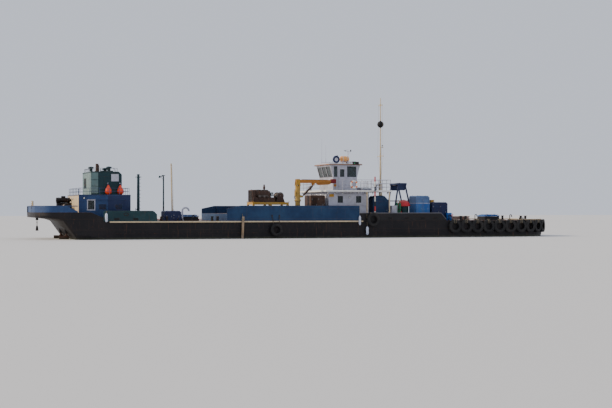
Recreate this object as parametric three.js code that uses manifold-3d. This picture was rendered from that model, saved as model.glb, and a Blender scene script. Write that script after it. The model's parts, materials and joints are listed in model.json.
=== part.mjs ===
// River work barge: a flat-bottomed, self-propelled barge with an aft house, a raised midship deck,
// a wheelhouse forward of midships, a deck crane and a tyre-fendered bow.
// All sizes are full size, in millimetres. The exported group is drawn at half scale, because the
// vessel is built as a model.
// +X points to the bow, +Y to port and +Z up. Stations are measured forward from the stern.
import * as THREE from "three";
import { mergeVertices } from "three/addons/utils/BufferGeometryUtils.js";
import Module from "manifold-3d";

const wasm = await Module();
wasm.setup();

// Driving dimensions
const MODEL_SCALE = 0.5;
const LENGTH = 48000;
const HALF_BEAM = 4500;
const MAIN_DECK = 2500;
const POOP_DECK = 3250;
const RAISED_DECK = 3150;
const BULWARK_TOP = 3800;
const HOUSE_TOP = 4740;
const BOAT_DECK = 5200;
const MAST_TOP = 13850;

// Fits: a seat is the gap between pieces that touch, a clearance the gap around pieces that move
const SEAT = 0.6;
const CLEARANCE = 14;
const PLATE = 60;

// Stations along the hull
const POOP_END = 5420;
const QUARTER_END = 9900;
const RAISED_START = 15960;
const RAISED_END = 28100;
const FORE_BULWARK_END = 36500;
const BOW_ROUND_START = 43000;
const STERN_ROUND_END = 1700;
const TYRE_WIDTH = 280;
const BOW_END = LENGTH - TYRE_WIDTH - SEAT;

// Tyres
const TYRE_RADIUS = 600;
const TYRE_BEAD_RADIUS = 330;
const TYRE_SIDES = 12;

// Sides of round pieces
const ROUND = 12;
const SMALL_ROUND = 8;

// Doors and hinges
const HINGE_RADIUS = 24;
const HINGE_LENGTH = 90;
const LEAF_THICKNESS = 45;

const PALETTE = {
  hull: { color: 0x1c1a1b, roughness: 0.75, metalness: 0.2 },
  blue: { color: 0x1f4a78, roughness: 0.6, metalness: 0.15 },
  teal: { color: 0x1d5358, roughness: 0.6, metalness: 0.15 },
  paleBlue: { color: 0x6f9cc4, roughness: 0.6, metalness: 0.1 },
  navy: { color: 0x1b2f52, roughness: 0.6, metalness: 0.15 },
  white: { color: 0xdfe0e6, roughness: 0.55, metalness: 0.05 },
  cream: { color: 0xd9c9a4, roughness: 0.6, metalness: 0.05 },
  orange: { color: 0xc77a22, roughness: 0.6, metalness: 0.1 },
  yellow: { color: 0xc79a2c, roughness: 0.6, metalness: 0.1 },
  red: { color: 0xc42a26, roughness: 0.5, metalness: 0.05 },
  brown: { color: 0x4a2c22, roughness: 0.7, metalness: 0.3 },
  rubber: { color: 0x141414, roughness: 0.9, metalness: 0.0 },
  wood: { color: 0x8a6a48, roughness: 0.8, metalness: 0.0 },
  steel: { color: 0x8d9095, roughness: 0.35, metalness: 0.9 },
  bronze: { color: 0x9a7440, roughness: 0.4, metalness: 0.9 },
};

const barge = new THREE.Group();
barge.scale.setScalar(MODEL_SCALE);

function xOf(station) {
  return station - LENGTH / 2;
}

// Solids from three.js geometry, and back

function solidOf(geometry) {
  geometry.deleteAttribute("normal");
  geometry.deleteAttribute("uv");
  const merged = mergeVertices(geometry, 1e-3);
  const index = merged.index.array;
  const triangles = [];
  for (let i = 0; i < index.length; i += 3) {
    const [a, b, c] = [index[i], index[i + 1], index[i + 2]];
    if (a !== b && b !== c && c !== a) triangles.push(a, b, c);
  }
  const mesh = new wasm.Mesh({
    numProp: 3,
    vertProperties: Float32Array.from(merged.attributes.position.array),
    triVerts: Uint32Array.from(triangles),
  });
  return new wasm.Manifold(mesh);
}

function geometryOf(solid) {
  const mesh = solid.getMesh();
  const geometry = new THREE.BufferGeometry();
  geometry.setAttribute("position", new THREE.BufferAttribute(Float32Array.from(mesh.vertProperties), 3));
  geometry.setIndex(Array.from(mesh.triVerts));
  geometry.computeVertexNormals();
  return geometry;
}

function join(solids) {
  return solids.reduce((whole, solid) => whole.add(solid));
}

function cut(solid, tools) {
  return tools.reduce((rest, tool) => rest.subtract(tool), solid);
}

function addPiece(name, solid, finish) {
  const mesh = new THREE.Mesh(geometryOf(solid), new THREE.MeshStandardMaterial(PALETTE[finish]));
  mesh.name = name;
  barge.add(mesh);
}

// Simple solids

function block([x0, x1], [y0, y1], [z0, z1]) {
  const geometry = new THREE.BoxGeometry(x1 - x0, y1 - y0, z1 - z0);
  geometry.translate((x0 + x1) / 2, (y0 + y1) / 2, (z0 + z1) / 2);
  return solidOf(geometry);
}

function planPrism(points, [z0, z1]) {
  const shape = new THREE.Shape(points.map(([x, y]) => new THREE.Vector2(x, y)));
  const geometry = new THREE.ExtrudeGeometry(shape, { depth: z1 - z0, bevelEnabled: false, steps: 1 });
  geometry.translate(0, 0, z0);
  return solidOf(geometry);
}

function sidePrism(points, [y0, y1]) {
  const shape = new THREE.Shape(points.map(([x, z]) => new THREE.Vector2(x, z)));
  const geometry = new THREE.ExtrudeGeometry(shape, { depth: y1 - y0, bevelEnabled: false, steps: 1 });
  geometry.rotateX(Math.PI / 2);
  geometry.translate(0, y1, 0);
  return solidOf(geometry);
}

function rod(from, to, radius, sides = ROUND, endRadius = radius, turn = 0) {
  const start = new THREE.Vector3(...from);
  const end = new THREE.Vector3(...to);
  const along = end.clone().sub(start);
  const geometry = new THREE.CylinderGeometry(endRadius, radius, along.length(), sides, 1, false, turn);
  geometry.applyQuaternion(
    new THREE.Quaternion().setFromUnitVectors(new THREE.Vector3(0, 1, 0), along.clone().normalize()));
  geometry.translate(...start.add(end).multiplyScalar(0.5).toArray());
  return solidOf(geometry);
}

function bar(from, to, width, height) {
  const start = new THREE.Vector3(...from);
  const end = new THREE.Vector3(...to);
  const along = end.clone().sub(start);
  const across = Math.abs(along.z) > Math.abs(along.x) + Math.abs(along.y)
    ? new THREE.Vector3(0, 1, 0) : new THREE.Vector3(0, 0, 1).cross(along).normalize();
  const up = along.clone().cross(across).normalize();
  const geometry = new THREE.BoxGeometry(along.length(), width, height);
  const turn = new THREE.Matrix4().makeBasis(along.clone().normalize(), across, up);
  if (turn.determinant() < 0) turn.makeBasis(along.clone().normalize(), across, up.negate());
  geometry.applyMatrix4(turn);
  geometry.translate(...start.add(end).multiplyScalar(0.5).toArray());
  return solidOf(geometry);
}

function bentTube(points, radius, sides, steps) {
  const path = new THREE.CatmullRomCurve3(points.map((p) => new THREE.Vector3(...p)));
  const section = new THREE.Shape();
  section.absarc(0, 0, radius, 0, 2 * Math.PI, false);
  const geometry = new THREE.ExtrudeGeometry(section, {
    extrudePath: path, steps, curveSegments: sides, bevelEnabled: false });
  return solidOf(geometry);
}

function turned(profile, sides) {
  return solidOf(new THREE.LatheGeometry(profile.map(([r, z]) => new THREE.Vector2(r, z)), sides)
    .rotateX(Math.PI / 2));
}

// The hole for a round pin: its flats face the pin's corners, so that the pin turns in it at the seat's gap
function bore(from, to, pinRadius) {
  const halfStep = Math.PI / ROUND;
  const radius = (pinRadius + SEAT) / Math.cos(halfStep);
  return rod(from, to, radius, ROUND, radius, halfStep);
}

// Hull form

function halfBreadth(station) {
  const sternHalf = 2900;
  const bowHalf = 1300;
  if (station < STERN_ROUND_END) {
    const u = (STERN_ROUND_END - station) / STERN_ROUND_END;
    return HALF_BEAM - (HALF_BEAM - sternHalf) * u ** 2.4;
  }
  if (station > BOW_ROUND_START) {
    const u = Math.min(1, (station - BOW_ROUND_START) / (BOW_END - BOW_ROUND_START));
    return bowHalf + (HALF_BEAM - bowHalf) * Math.sqrt(1 - u * u);
  }
  return HALF_BEAM;
}

function hullSection(station, keel, deck) {
  const half = halfBreadth(station);
  const bilge = Math.min(350, (deck - keel) * 0.45);
  const x = xOf(station);
  const side = [
    [half - bilge, keel], [half - bilge * 0.29, keel + bilge * 0.29], [half, keel + bilge], [half, deck],
  ];
  const port = side.map(([y, z]) => [x, y, z]);
  const starboard = side.map(([y, z]) => [x, -y, z]).reverse();
  return [...port, ...starboard];
}

function loft(rings) {
  const count = rings[0].length;
  const positions = rings.flat(2);
  const index = [];
  for (let r = 0; r + 1 < rings.length; r += 1) {
    for (let k = 0; k < count; k += 1) {
      const a = r * count + k;
      const b = r * count + ((k + 1) % count);
      index.push(a, b, a + count, b, b + count, a + count);
    }
  }
  const last = (rings.length - 1) * count;
  for (let k = 1; k + 1 < count; k += 1) {
    index.push(0, k + 1, k);
    index.push(last, last + k, last + k + 1);
  }
  const geometry = new THREE.BufferGeometry();
  geometry.setAttribute("position", new THREE.Float32BufferAttribute(positions, 3));
  geometry.setIndex(index);
  return solidOf(geometry);
}

// Each stern station: [station, underside]
const STERN_LINES = [
  [0, 2860], [150, 2830], [500, 2790], [1100, 2750], [1700, 2660], [2150, 2500], [2700, 1720], [3200, 1030],
  [4400, 930], [POOP_END + 700, 560],
];
// Each midship station: [station, underside]
const MIDSHIP_LINES = [[POOP_END - 500, 820], [POOP_END + 700, 560], [7500, 0], [BOW_ROUND_START, 0]];
const BOW_STEPS = 8;
const BOW_RAKE_START = 44000;
const BOW_FOREFOOT = 1350;

function bowLines() {
  const lines = [];
  for (let i = 1; i <= BOW_STEPS; i += 1) {
    const angle = (Math.PI / 2) * (i / BOW_STEPS);
    const station = BOW_ROUND_START + (BOW_END - BOW_ROUND_START) * Math.sin(angle);
    const u = Math.max(0, (station - BOW_RAKE_START) / (BOW_END - BOW_RAKE_START));
    lines.push([station, BOW_FOREFOOT * u ** 2.2]);
  }
  return lines;
}

const RUDDER_STATION = 2750;
const RUDDER_OFFSET = 1700;
const STOCK_RADIUS = 75;
const PROPELLER_STATION = 3750;
const PROPELLER_HEIGHT = 500;
const SHAFT_RADIUS = 50;
const STERN_TUBE = [4700, 5600];
const TUBE_RADIUS = 110;
const TRUNK_FOOT = 1500;
const HAWSE = { station: 520, radius: 120, foot: 2600 };

// Each bollard pair: [station, offset from the centreline, deck]
const BOLLARDS = [
  [1500, 3300, POOP_DECK], [10600, 4050, MAIN_DECK], [15000, 4050, MAIN_DECK], [38500, 3850, MAIN_DECK],
  [45500, 2300, MAIN_DECK],
];
const BOLLARD = { radius: 110, height: 420, spacing: 480, cap: 140, capHeight: 50 };

function bollardPair(station, offset, deck) {
  const x = xOf(station);
  const posts = [-1, 1].flatMap((end) => {
    const px = x + (end * BOLLARD.spacing) / 2;
    return [
      rod([px, offset, deck - 20], [px, offset, deck + BOLLARD.height], BOLLARD.radius, SMALL_ROUND),
      rod([px, offset, deck + BOLLARD.height - BOLLARD.capHeight], [px, offset, deck + BOLLARD.height],
        BOLLARD.cap, SMALL_ROUND),
    ];
  });
  const base = block([x - 420, x + 420], [offset - 170, offset + 170], [deck - 20, deck + 40]);
  return join([base, ...posts]);
}

function hullBody() {
  const deckAt = (s) => (s <= POOP_END ? POOP_DECK : MAIN_DECK);
  const stern = loft(STERN_LINES.map(([s, keel]) => hullSection(s, keel, deckAt(s))));
  const poopCut = block([xOf(POOP_END), xOf(POOP_END + 1500)], [-5000, 5000], [MAIN_DECK, POOP_DECK + 500]);
  const main = loft([...MIDSHIP_LINES, ...bowLines()].map(([s, keel]) => hullSection(s, keel, MAIN_DECK)));
  const fittings = [];
  const bores = [];
  for (const side of [-1, 1]) {
    const y = side * RUDDER_OFFSET;
    const x = xOf(RUDDER_STATION);
    fittings.push(rod([x, y, TRUNK_FOOT], [x, y, 2600], 170));
    bores.push(bore([x, y, TRUNK_FOOT - 50], [x, y, TRUNK_FOOT + 500], STOCK_RADIUS));
    const shaft = (s) => [xOf(s), y, PROPELLER_HEIGHT];
    fittings.push(rod(shaft(STERN_TUBE[0]), shaft(STERN_TUBE[1] + 900), TUBE_RADIUS));
    bores.push(bore(shaft(STERN_TUBE[0] - 50), shaft(STERN_TUBE[0] + 500), SHAFT_RADIUS));
    fittings.push(block([xOf(5000), xOf(5300)], [y - 30, y + 30], [PROPELLER_HEIGHT, 1000]));
    fittings.push(...BOLLARDS.map(([s, offset, deck]) => bollardPair(s, side * offset, deck)));
  }
  const hawse = rod([xOf(HAWSE.station), 0, HAWSE.foot], [xOf(HAWSE.station), 0, 2900], HAWSE.radius);
  const wells = HATCHES.map(hatchCoaming);
  return cut(join([cut(stern, [poopCut]), main, hawse, ...fittings, ...wells]), bores);
}

// Bulwarks and strakes

// The point on the deck edge, or a plate's thickness inside it
function edgePoint(station, side, inset) {
  const step = 50;
  const slope = (halfBreadth(station + step) - halfBreadth(station)) / step;
  const normal = 1 / Math.hypot(1, slope);
  return [xOf(station) + inset * slope * normal, side * (halfBreadth(station) - inset * normal)];
}

const STERN_LIGHT = { top: 4250, radius: 60, lamp: 95, fromStern: 100 };

function sternBulwark() {
  const span = [POOP_DECK + SEAT, 3770];
  const end = 3300;
  const stations = [end, STERN_ROUND_END, 1250, 800, 400, 150];
  const wallLine = (inset) => {
    const corner = (side) => [xOf(inset), side * (halfBreadth(0) - inset)];
    const starboard = stations.map((s) => edgePoint(s, -1, inset));
    const port = stations.map((s) => edgePoint(s, 1, inset)).reverse();
    return [...starboard, corner(-1), corner(1), ...port];
  };
  const wall = planPrism([...wallLine(0), ...wallLine(PLATE).reverse()], span);
  const slope = sidePrism([
    [xOf(end - 900), span[1] + 10], [xOf(end + 10), span[1] + 10], [xOf(end + 10), span[1] - 420],
  ], [-5000, 5000]);
  const { top, radius, lamp, fromStern } = STERN_LIGHT;
  const lightPost = join([
    rod([xOf(fromStern), 0, span[0]], [xOf(fromStern), 0, top], radius),
    rod([xOf(fromStern), 0, top - 160], [xOf(fromStern), 0, top], lamp),
  ]);
  return join([cut(wall, [slope]), lightPost]);
}

function quarterBulwark(side) {
  const floor = MAIN_DECK + SEAT;
  const top = 3360;
  const outer = side * HALF_BEAM;
  const inner = side * (HALF_BEAM - PLATE);
  const profile = [
    [xOf(POOP_END + SEAT), floor], [xOf(QUARTER_END), floor], [xOf(QUARTER_END), top - 260],
    [xOf(QUARTER_END - 260), top], [xOf(POOP_END + SEAT), top],
  ];
  return sidePrism(profile, [Math.min(outer, inner), Math.max(outer, inner)]);
}

function rubbingStrake(side) {
  const inner = side * (HALF_BEAM + SEAT);
  const outer = side * (HALF_BEAM + 90);
  return block([xOf(5900), xOf(28400)], [Math.min(inner, outer), Math.max(inner, outer)], [2400, 2520]);
}

const DECKHOUSE = { start: 25600, end: 29400, half: 3300 };

function raisedMidship() {
  const floor = MAIN_DECK + SEAT;
  const platform = block([xOf(RAISED_START), xOf(RAISED_END)], [-HALF_BEAM, HALF_BEAM], [floor, RAISED_DECK]);
  const tongue = block([xOf(RAISED_END - 10), xOf(DECKHOUSE.end)], [-DECKHOUSE.half, DECKHOUSE.half],
    [floor, RAISED_DECK]);
  const profile = [
    [xOf(RAISED_START), floor], [xOf(RAISED_END), floor], [xOf(RAISED_END), BULWARK_TOP],
    [xOf(RAISED_START + 1200), BULWARK_TOP], [xOf(RAISED_START), BULWARK_TOP - 250],
  ];
  const wallFaces = [[-HALF_BEAM, -HALF_BEAM + PLATE], [HALF_BEAM - PLATE, HALF_BEAM]];
  const walls = wallFaces.map((y) => sidePrism(profile, y));
  return join([platform, tongue, ...walls]);
}

// Each side tyre: [station, height, radius]
const SIDE_TYRES = { aft: [20300, 1750, 550], fore: [29300, 2600, 600] };

function foreBulwark(side) {
  const floor = MAIN_DECK + SEAT;
  const top = 3180;
  const outer = side * HALF_BEAM;
  const inner = side * (HALF_BEAM - PLATE);
  const profile = [
    [xOf(RAISED_END + SEAT), floor], [xOf(FORE_BULWARK_END), floor], [xOf(FORE_BULWARK_END), floor + 120],
    [xOf(FORE_BULWARK_END - 500), top], [xOf(RAISED_END + SEAT), top],
  ];
  const wall = sidePrism(profile, [Math.min(outer, inner), Math.max(outer, inner)]);
  return join([wall, sideTyre(SIDE_TYRES.fore, side, top - 20, HALF_BEAM - 10)]);
}

// Fenders

function tyre(radius = TYRE_RADIUS) {
  const half = TYRE_WIDTH / 2;
  const bead = TYRE_BEAD_RADIUS * (radius / TYRE_RADIUS);
  const profile = [
    [bead, half * 0.75], [bead, -half * 0.75], [(bead + radius) / 2, -half], [radius, -half * 0.7],
    [radius, half * 0.7], [(bead + radius) / 2, half], [bead, half * 0.75],
  ];
  return turned(profile, TYRE_SIDES);
}

function hungTyre(x, y, z, heading, radius) {
  return tyre(radius).rotate([90, 0, 0]).rotate([0, 0, heading]).translate([x, y, z]);
}

const BELT_CENTRE = 1980;
const BELT_START = 37300;

function edgePoints() {
  const points = [];
  const straightStep = 500;
  for (let s = BELT_START; s < BOW_ROUND_START; s += straightStep) points.push([xOf(s), HALF_BEAM]);
  const arcSteps = 90;
  for (let i = 0; i <= arcSteps; i += 1) {
    const angle = (Math.PI / 2) * (i / arcSteps);
    const station = BOW_ROUND_START + (BOW_END - BOW_ROUND_START) * Math.sin(angle);
    points.push([xOf(station), halfBreadth(station)]);
  }
  points.push([xOf(BOW_END), 0]);
  return points;
}

function beltPlaces() {
  const gap = TYRE_WIDTH / 2 + SEAT;
  const port = edgePoints();
  const offset = port.map(([x, y], i) => {
    const before = port[Math.max(0, i - 1)];
    const after = port[Math.min(port.length - 1, i + 1)];
    const along = new THREE.Vector2(after[0] - before[0], after[1] - before[1]).normalize();
    return new THREE.Vector2(x - along.y * gap, y + along.x * gap);
  });
  return offset;
}

function bowFenderBelt() {
  const path = beltPlaces();
  const lengths = [0];
  for (let i = 1; i < path.length; i += 1) lengths.push(lengths[i - 1] + path[i].distanceTo(path[i - 1]));
  const total = lengths[lengths.length - 1];
  const count = Math.ceil(total / (2 * TYRE_RADIUS - 60));
  const step = total / count;
  const placeAt = (distance) => {
    let i = 1;
    while (i < lengths.length - 1 && lengths[i] < distance) i += 1;
    const u = (distance - lengths[i - 1]) / (lengths[i] - lengths[i - 1]);
    const point = path[i - 1].clone().lerp(path[i], u);
    const along = path[i].clone().sub(path[i - 1]);
    return [point, THREE.MathUtils.radToDeg(Math.atan2(along.y, along.x))];
  };
  const tyres = [];
  for (let n = 0; n < count; n += 1) {
    const [point, heading] = placeAt(n * step);
    tyres.push(hungTyre(point.x, point.y, BELT_CENTRE, heading, TYRE_RADIUS));
    tyres.push(hungTyre(point.x, -point.y, BELT_CENTRE, -heading, TYRE_RADIUS));
  }
  const nose = path[path.length - 1];
  tyres.push(hungTyre(nose.x, 0, BELT_CENTRE, 90, TYRE_RADIUS));
  return join(tyres);
}

// A tyre hung clear of the strake by two straps, which reach in to strapFoot from the centreline
function sideTyre([station, height, radius], side, strapTop, strapFoot) {
  const offset = side * (HALF_BEAM + 95 + TYRE_WIDTH / 2);
  const ring = hungTyre(xOf(station), offset, height, 0, radius);
  const faces = [side * strapFoot, side * (HALF_BEAM + 150)].sort((a, b) => a - b);
  const straps = [-250, 250].map((dx) =>
    block([xOf(station) + dx - 30, xOf(station) + dx + 30], faces, [strapTop - 120, strapTop]));
  return join([ring, ...straps]);
}

const LOG_FENDER = { station: 17300, top: 2900, foot: 950, radius: 110 };

function logFender() {
  const y = -(HALF_BEAM + 90 + LOG_FENDER.radius + SEAT);
  const x = xOf(LOG_FENDER.station);
  return rod([x - 40, y, LOG_FENDER.foot], [x + 40, y, LOG_FENDER.top], LOG_FENDER.radius);
}

// Doors: a leaf outside the wall, on knuckles between lugs that the wall carries

function localBlock({ x, y, along, out }, [u0, u1], [v0, v1], [z0, z1]) {
  const corners = [[u0, v0], [u1, v1]].map(([u, v]) => [
    x + along[0] * u + out[0] * v, y + along[1] * u + out[1] * v]);
  const [x0, x1] = corners.map((c) => c[0]).sort((a, b) => a - b);
  const [y0, y1] = corners.map((c) => c[1]).sort((a, b) => a - b);
  return block([x0, x1], [y0, y1], [z0, z1]);
}

// The hinge line stands this far outside the wall
const HINGE_OUT = CLEARANCE + LEAF_THICKNESS / 2;

function knuckleHeights([z0, z1]) {
  return [z0 + (z1 - z0) * 0.2, z0 + (z1 - z0) * 0.8];
}

function doorLeaf(hinge, width, [z0, z1], window) {
  const half = LEAF_THICKNESS / 2;
  let leaf = localBlock(hinge, [HINGE_RADIUS + 6, width], [-half, half], [z0, z1]);
  if (window) leaf = cut(leaf, [localBlock(hinge, window.across, [-half * 3, half * 3], window.up)]);
  const knuckles = knuckleHeights([z0, z1]).flatMap((z) => [
    rod([hinge.x, hinge.y, z], [hinge.x, hinge.y, z + HINGE_LENGTH], HINGE_RADIUS, SMALL_ROUND),
    localBlock(hinge, [0, HINGE_RADIUS + 40], [-half * 0.6, half * 0.6], [z, z + HINGE_LENGTH]),
  ]);
  return join([leaf, ...knuckles]);
}

function hingeLugs(hinge, [z0, z1]) {
  const reach = 60;
  return knuckleHeights([z0, z1]).flatMap((z) => [[z - SEAT - reach, z - SEAT],
    [z + HINGE_LENGTH + SEAT, z + HINGE_LENGTH + SEAT + reach]].flatMap((span) => [
    rod([hinge.x, hinge.y, span[0]], [hinge.x, hinge.y, span[1]], HINGE_RADIUS, SMALL_ROUND),
    localBlock(hinge, [-16, 16], [-HINGE_OUT - 10, 0], span),
  ]));
}

// Aft house, casing and exhaust

const AFT_HOUSE = { start: 3550, end: 7900, half: 3200, wall: 70, roof: 90 };
const AFT_DOOR = {
  hinge: { x: xOf(7900) + HINGE_OUT, y: 1500, along: [0, -1], out: [1, 0] },
  width: 800, leaf: [2720, 4480], opening: [2800, 4420],
};

function aftHouse() {
  const { start, end, half, wall, roof } = AFT_HOUSE;
  const outer = join([
    block([xOf(start), xOf(POOP_END + 20)], [-half, half], [POOP_DECK + SEAT, HOUSE_TOP]),
    block([xOf(POOP_END) + SEAT, xOf(end)], [-half, half], [MAIN_DECK + SEAT, HOUSE_TOP]),
  ]);
  const hollow = block([xOf(start) + wall, xOf(end) - wall], [-half + wall, half - wall],
    [0, HOUSE_TOP - roof]);
  const windows = [-1, 1].flatMap((side) => [
    block([xOf(4330), xOf(4850)], [side * half - 200, side * half + 200], [3500, 4250]),
  ]);
  const doorway = block([xOf(end) - 200, xOf(end) + 200], [AFT_DOOR.hinge.y - 730, AFT_DOOR.hinge.y - 70],
    AFT_DOOR.opening);
  return join([cut(outer, [hollow, ...windows, doorway]), ...hingeLugs(AFT_DOOR.hinge, AFT_DOOR.leaf)]);
}

const CASING = { start: 4720, end: 7330, half: 2300, top: 6710 };
const EXHAUST = { station: 5600, radius: 130, top: 7450 };

function casing() {
  const { start, end, half, top } = CASING;
  const profile = [
    [xOf(start), HOUSE_TOP + SEAT], [xOf(end), HOUSE_TOP + SEAT], [xOf(end), top - 250],
    [xOf(end - 250), top], [xOf(start), top],
  ];
  return sidePrism(profile, [-half, half]);
}

function exhaustPipe() {
  const { station, radius, top } = EXHAUST;
  const x = xOf(station);
  const foot = CASING.top + SEAT;
  return join([
    rod([x, 0, foot], [x, 0, foot + 120], radius * 1.5),
    rod([x, 0, foot], [x, 0, top - 150], radius),
    rod([x, 0, top - 170], [x - 60, 0, top], radius * 1.1),
  ]);
}

// Teardrop fenders hang against the casing by their eyes: [station]
const TEARDROP_STATIONS = [6130, 7150];
const TEARDROP = { radius: 280, foot: HOUSE_TOP + SEAT, height: 960 };

function teardrop(station) {
  const { radius, foot, height } = TEARDROP;
  const profile = [[0, 0]];
  const steps = 7;
  for (let i = 1; i <= steps; i += 1) {
    const angle = (Math.PI * 0.62 * i) / steps;
    profile.push([radius * Math.sin(angle), radius - radius * Math.cos(angle)]);
  }
  profile.push([60, height - 130], [60, height], [0, height]);
  const y = -(CASING.half + radius + SEAT);
  return turned(profile, ROUND).translate([xOf(station), y, foot]);
}

// Stern winch, anchor and light

const STERN_WINCH = { start: 2480, end: 3360, half: 700, axis: 3780, drum: 230 };

const AXLE_RADIUS = 60;

function winchFrame({ start, end, half, axis }, deck, plate = 60) {
  const x = [xOf(start), xOf(end)];
  const mid = (x[0] + x[1]) / 2;
  const axle = bore([mid, -half - 100, axis], [mid, half + 100, axis], AXLE_RADIUS);
  const cheeks = [-1, 1].map((side) => {
    const faces = [side * half, side * (half - plate)].sort((a, b) => a - b);
    return sidePrism([
      [x[0], deck + SEAT], [x[1], deck + SEAT], [mid + 150, axis + 170], [mid - 150, axis + 170],
    ], faces);
  });
  const sole = block(x, [-half, half], [deck + SEAT, deck + 70]);
  return cut(join([sole, ...cheeks]), [axle]);
}

function winchDrum({ start, end, half, axis, drum }, plate = 60) {
  const mid = (xOf(start) + xOf(end)) / 2;
  const inside = half - plate - CLEARANCE;
  const flange = 50;
  return join([
    rod([mid, -half, axis], [mid, half, axis], AXLE_RADIUS),
    rod([mid, -inside, axis], [mid, inside, axis], drum * 0.62),
    ...[-1, 1].map((side) => rod([mid, side * inside, axis], [mid, side * (inside - flange), axis], drum)),
  ]);
}

const ANCHOR = { crown: 1740, shank: 2250, reach: 330 };

function sternAnchor() {
  const x = xOf(HAWSE.station);
  const chainTop = HAWSE.foot - SEAT;
  const links = [];
  const linkCount = 3;
  const step = (chainTop - ANCHOR.shank) / linkCount;
  for (let i = 0; i < linkCount; i += 1) {
    const z = ANCHOR.shank + step * i;
    const wide = i % 2 ? [70, 35] : [35, 70];
    const overlap = i + 1 < linkCount ? 20 : 0;
    links.push(block([x - wide[0], x + wide[0]], [-wide[1], wide[1]], [z - 20, z + step + overlap]));
  }
  const shank = block([x - 45, x + 45], [-45, 45], [ANCHOR.crown, ANCHOR.shank]);
  const crown = block([x - 110, x + 110], [-200, 200], [ANCHOR.crown - 40, ANCHOR.crown + 80]);
  const flukes = [-1, 1].map((side) =>
    bar([x, side * 150, ANCHOR.crown], [x, side * (150 + 110), ANCHOR.crown + ANCHOR.reach + 60], 140, 60));
  return join([crown, shank, ...flukes, ...links]);
}

// Posts: name, station, offset, foot, top, radius, lean at the top
const POSTS = [
  ["king_post", 8700, -2500, MAIN_DECK, 6500, 130, 0, "teal"],
  ["lamp_post", 11080, -1500, MAIN_DECK, 6430, 60, 0, "teal"],
  ["aft_pole", 11880, -1500, MAIN_DECK, 7480, 75, -120, "cream"],
  ["gauge_post", 29700, -4120, MAIN_DECK, 6420, 75, 0, "white"],
];

function post(station, offset, foot, top, radius, lean) {
  const x = xOf(station);
  return join([
    rod([x, offset, foot + 30], [x + lean, offset, top], radius, 12, radius * 0.8),
    rod([x, offset, foot + SEAT], [x, offset, foot + 60], radius * 1.9),
  ]);
}

function lampPost(station, offset, foot, top, radius, lean) {
  const x = xOf(station);
  return join([
    post(station, offset, foot, top, radius, lean),
    rod([x, offset, top - 30], [x, offset, top + 40], 150),
    bar([x, offset, top - 60], [x - 330, offset, top - 60], 60, 60),
    rod([x - 330, offset, top - 200], [x - 330, offset, top - 20], 100, 12, 60),
  ]);
}

// Deck boxes: name, stations, offsets, deck, top, slope of the lid, finish
const LOCKERS = [
  ["aft_locker", [10750, 12150], [-3700, -2100], MAIN_DECK, 3380, 120, "navy"],
  ["companion_casing", [29900, 31400], [-3250, -1900], MAIN_DECK, 4720, 420, "blue"],
  ["pale_locker", [34050, 35400], [-3300, -1700], MAIN_DECK, 4750, 160, "paleBlue"],
  ["fore_locker", [35620, 37200], [-3300, -900], MAIN_DECK, 4170, 140, "navy"],
  ["power_pack", [23900, 25250], [-3350, -1650], RAISED_DECK, 4760, 100, "teal"],
];

function locker([start, end], offsets, deck, top, slope) {
  const profile = [
    [xOf(start), deck + SEAT], [xOf(end), deck + SEAT], [xOf(end), top - slope], [xOf(end) - slope, top],
    [xOf(start) + slope / 2, top], [xOf(start), top - slope / 2],
  ];
  return sidePrism(profile, offsets);
}

function gooseneck(station, offset, deck) {
  const x = xOf(station);
  const radius = 75;
  const path = [
    [x, offset, deck + SEAT], [x, offset, deck + 700], [x + 60, offset, deck + 1050],
    [x + 300, offset, deck + 1200], [x + 520, offset, deck + 1050], [x + 560, offset, deck + 880],
  ];
  return join([
    bentTube(path, radius, 5, 12),
    rod([x, offset, deck + SEAT], [x, offset, deck + 60], radius * 2),
  ]);
}

const VENT = {
  station: 33100, offset: -2650, radius: 450, shoulder: 3800, capRadius: 600, capTop: 4380, sides: 16,
};

function ventTrunk() {
  const { station, offset, radius, shoulder } = VENT;
  const x = xOf(station);
  return join([
    rod([x, offset, MAIN_DECK + SEAT], [x, offset, shoulder], radius),
    rod([x, offset, MAIN_DECK + SEAT], [x, offset, MAIN_DECK + 80], radius + 90),
  ]);
}

function ventCap() {
  const { station, offset, shoulder, capRadius, capTop } = VENT;
  const base = shoulder - 10;
  const profile = [[0, 0], [capRadius - 60, 0], [capRadius, 60]];
  const steps = 6;
  for (let i = 1; i < steps; i += 1) {
    const angle = (Math.PI / 2) * (i / steps);
    profile.push([capRadius * Math.cos(angle), 60 + (capTop - base - 60) * Math.sin(angle)]);
  }
  profile.push([0, capTop - base]);
  return turned(profile, VENT.sides).translate([xOf(station), offset, base]);
}

// Pump set on its frame

const PUMP_FRAME = { start: 18650, end: 21950, near: -3150, far: -1250, beam: 3920, top: 4140 };
const PUMP_DRUM = { start: 20900, end: 21700, half: 560, axis: 4700, drum: 330 };
const PUMP_CENTRE = -2200;

function pumpFrame() {
  const { start, end, near, far, beam, top } = PUMP_FRAME;
  const rails = [near, far - 160].map((y) => block([xOf(start), xOf(end)], [y, y + 160], [beam, top]));
  const crossings = [start, (start + end) / 2 - 80, end - 160].map((s) =>
    block([xOf(s), xOf(s + 160)], [near, far], [beam, top]));
  const legs = [start, (start + end) / 2 - 80, end - 160].flatMap((s) => [near, far - 160].map((y) =>
    block([xOf(s), xOf(s + 160)], [y, y + 160], [RAISED_DECK + SEAT, beam + 10])));
  return join([...rails, ...crossings, ...legs]);
}

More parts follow.
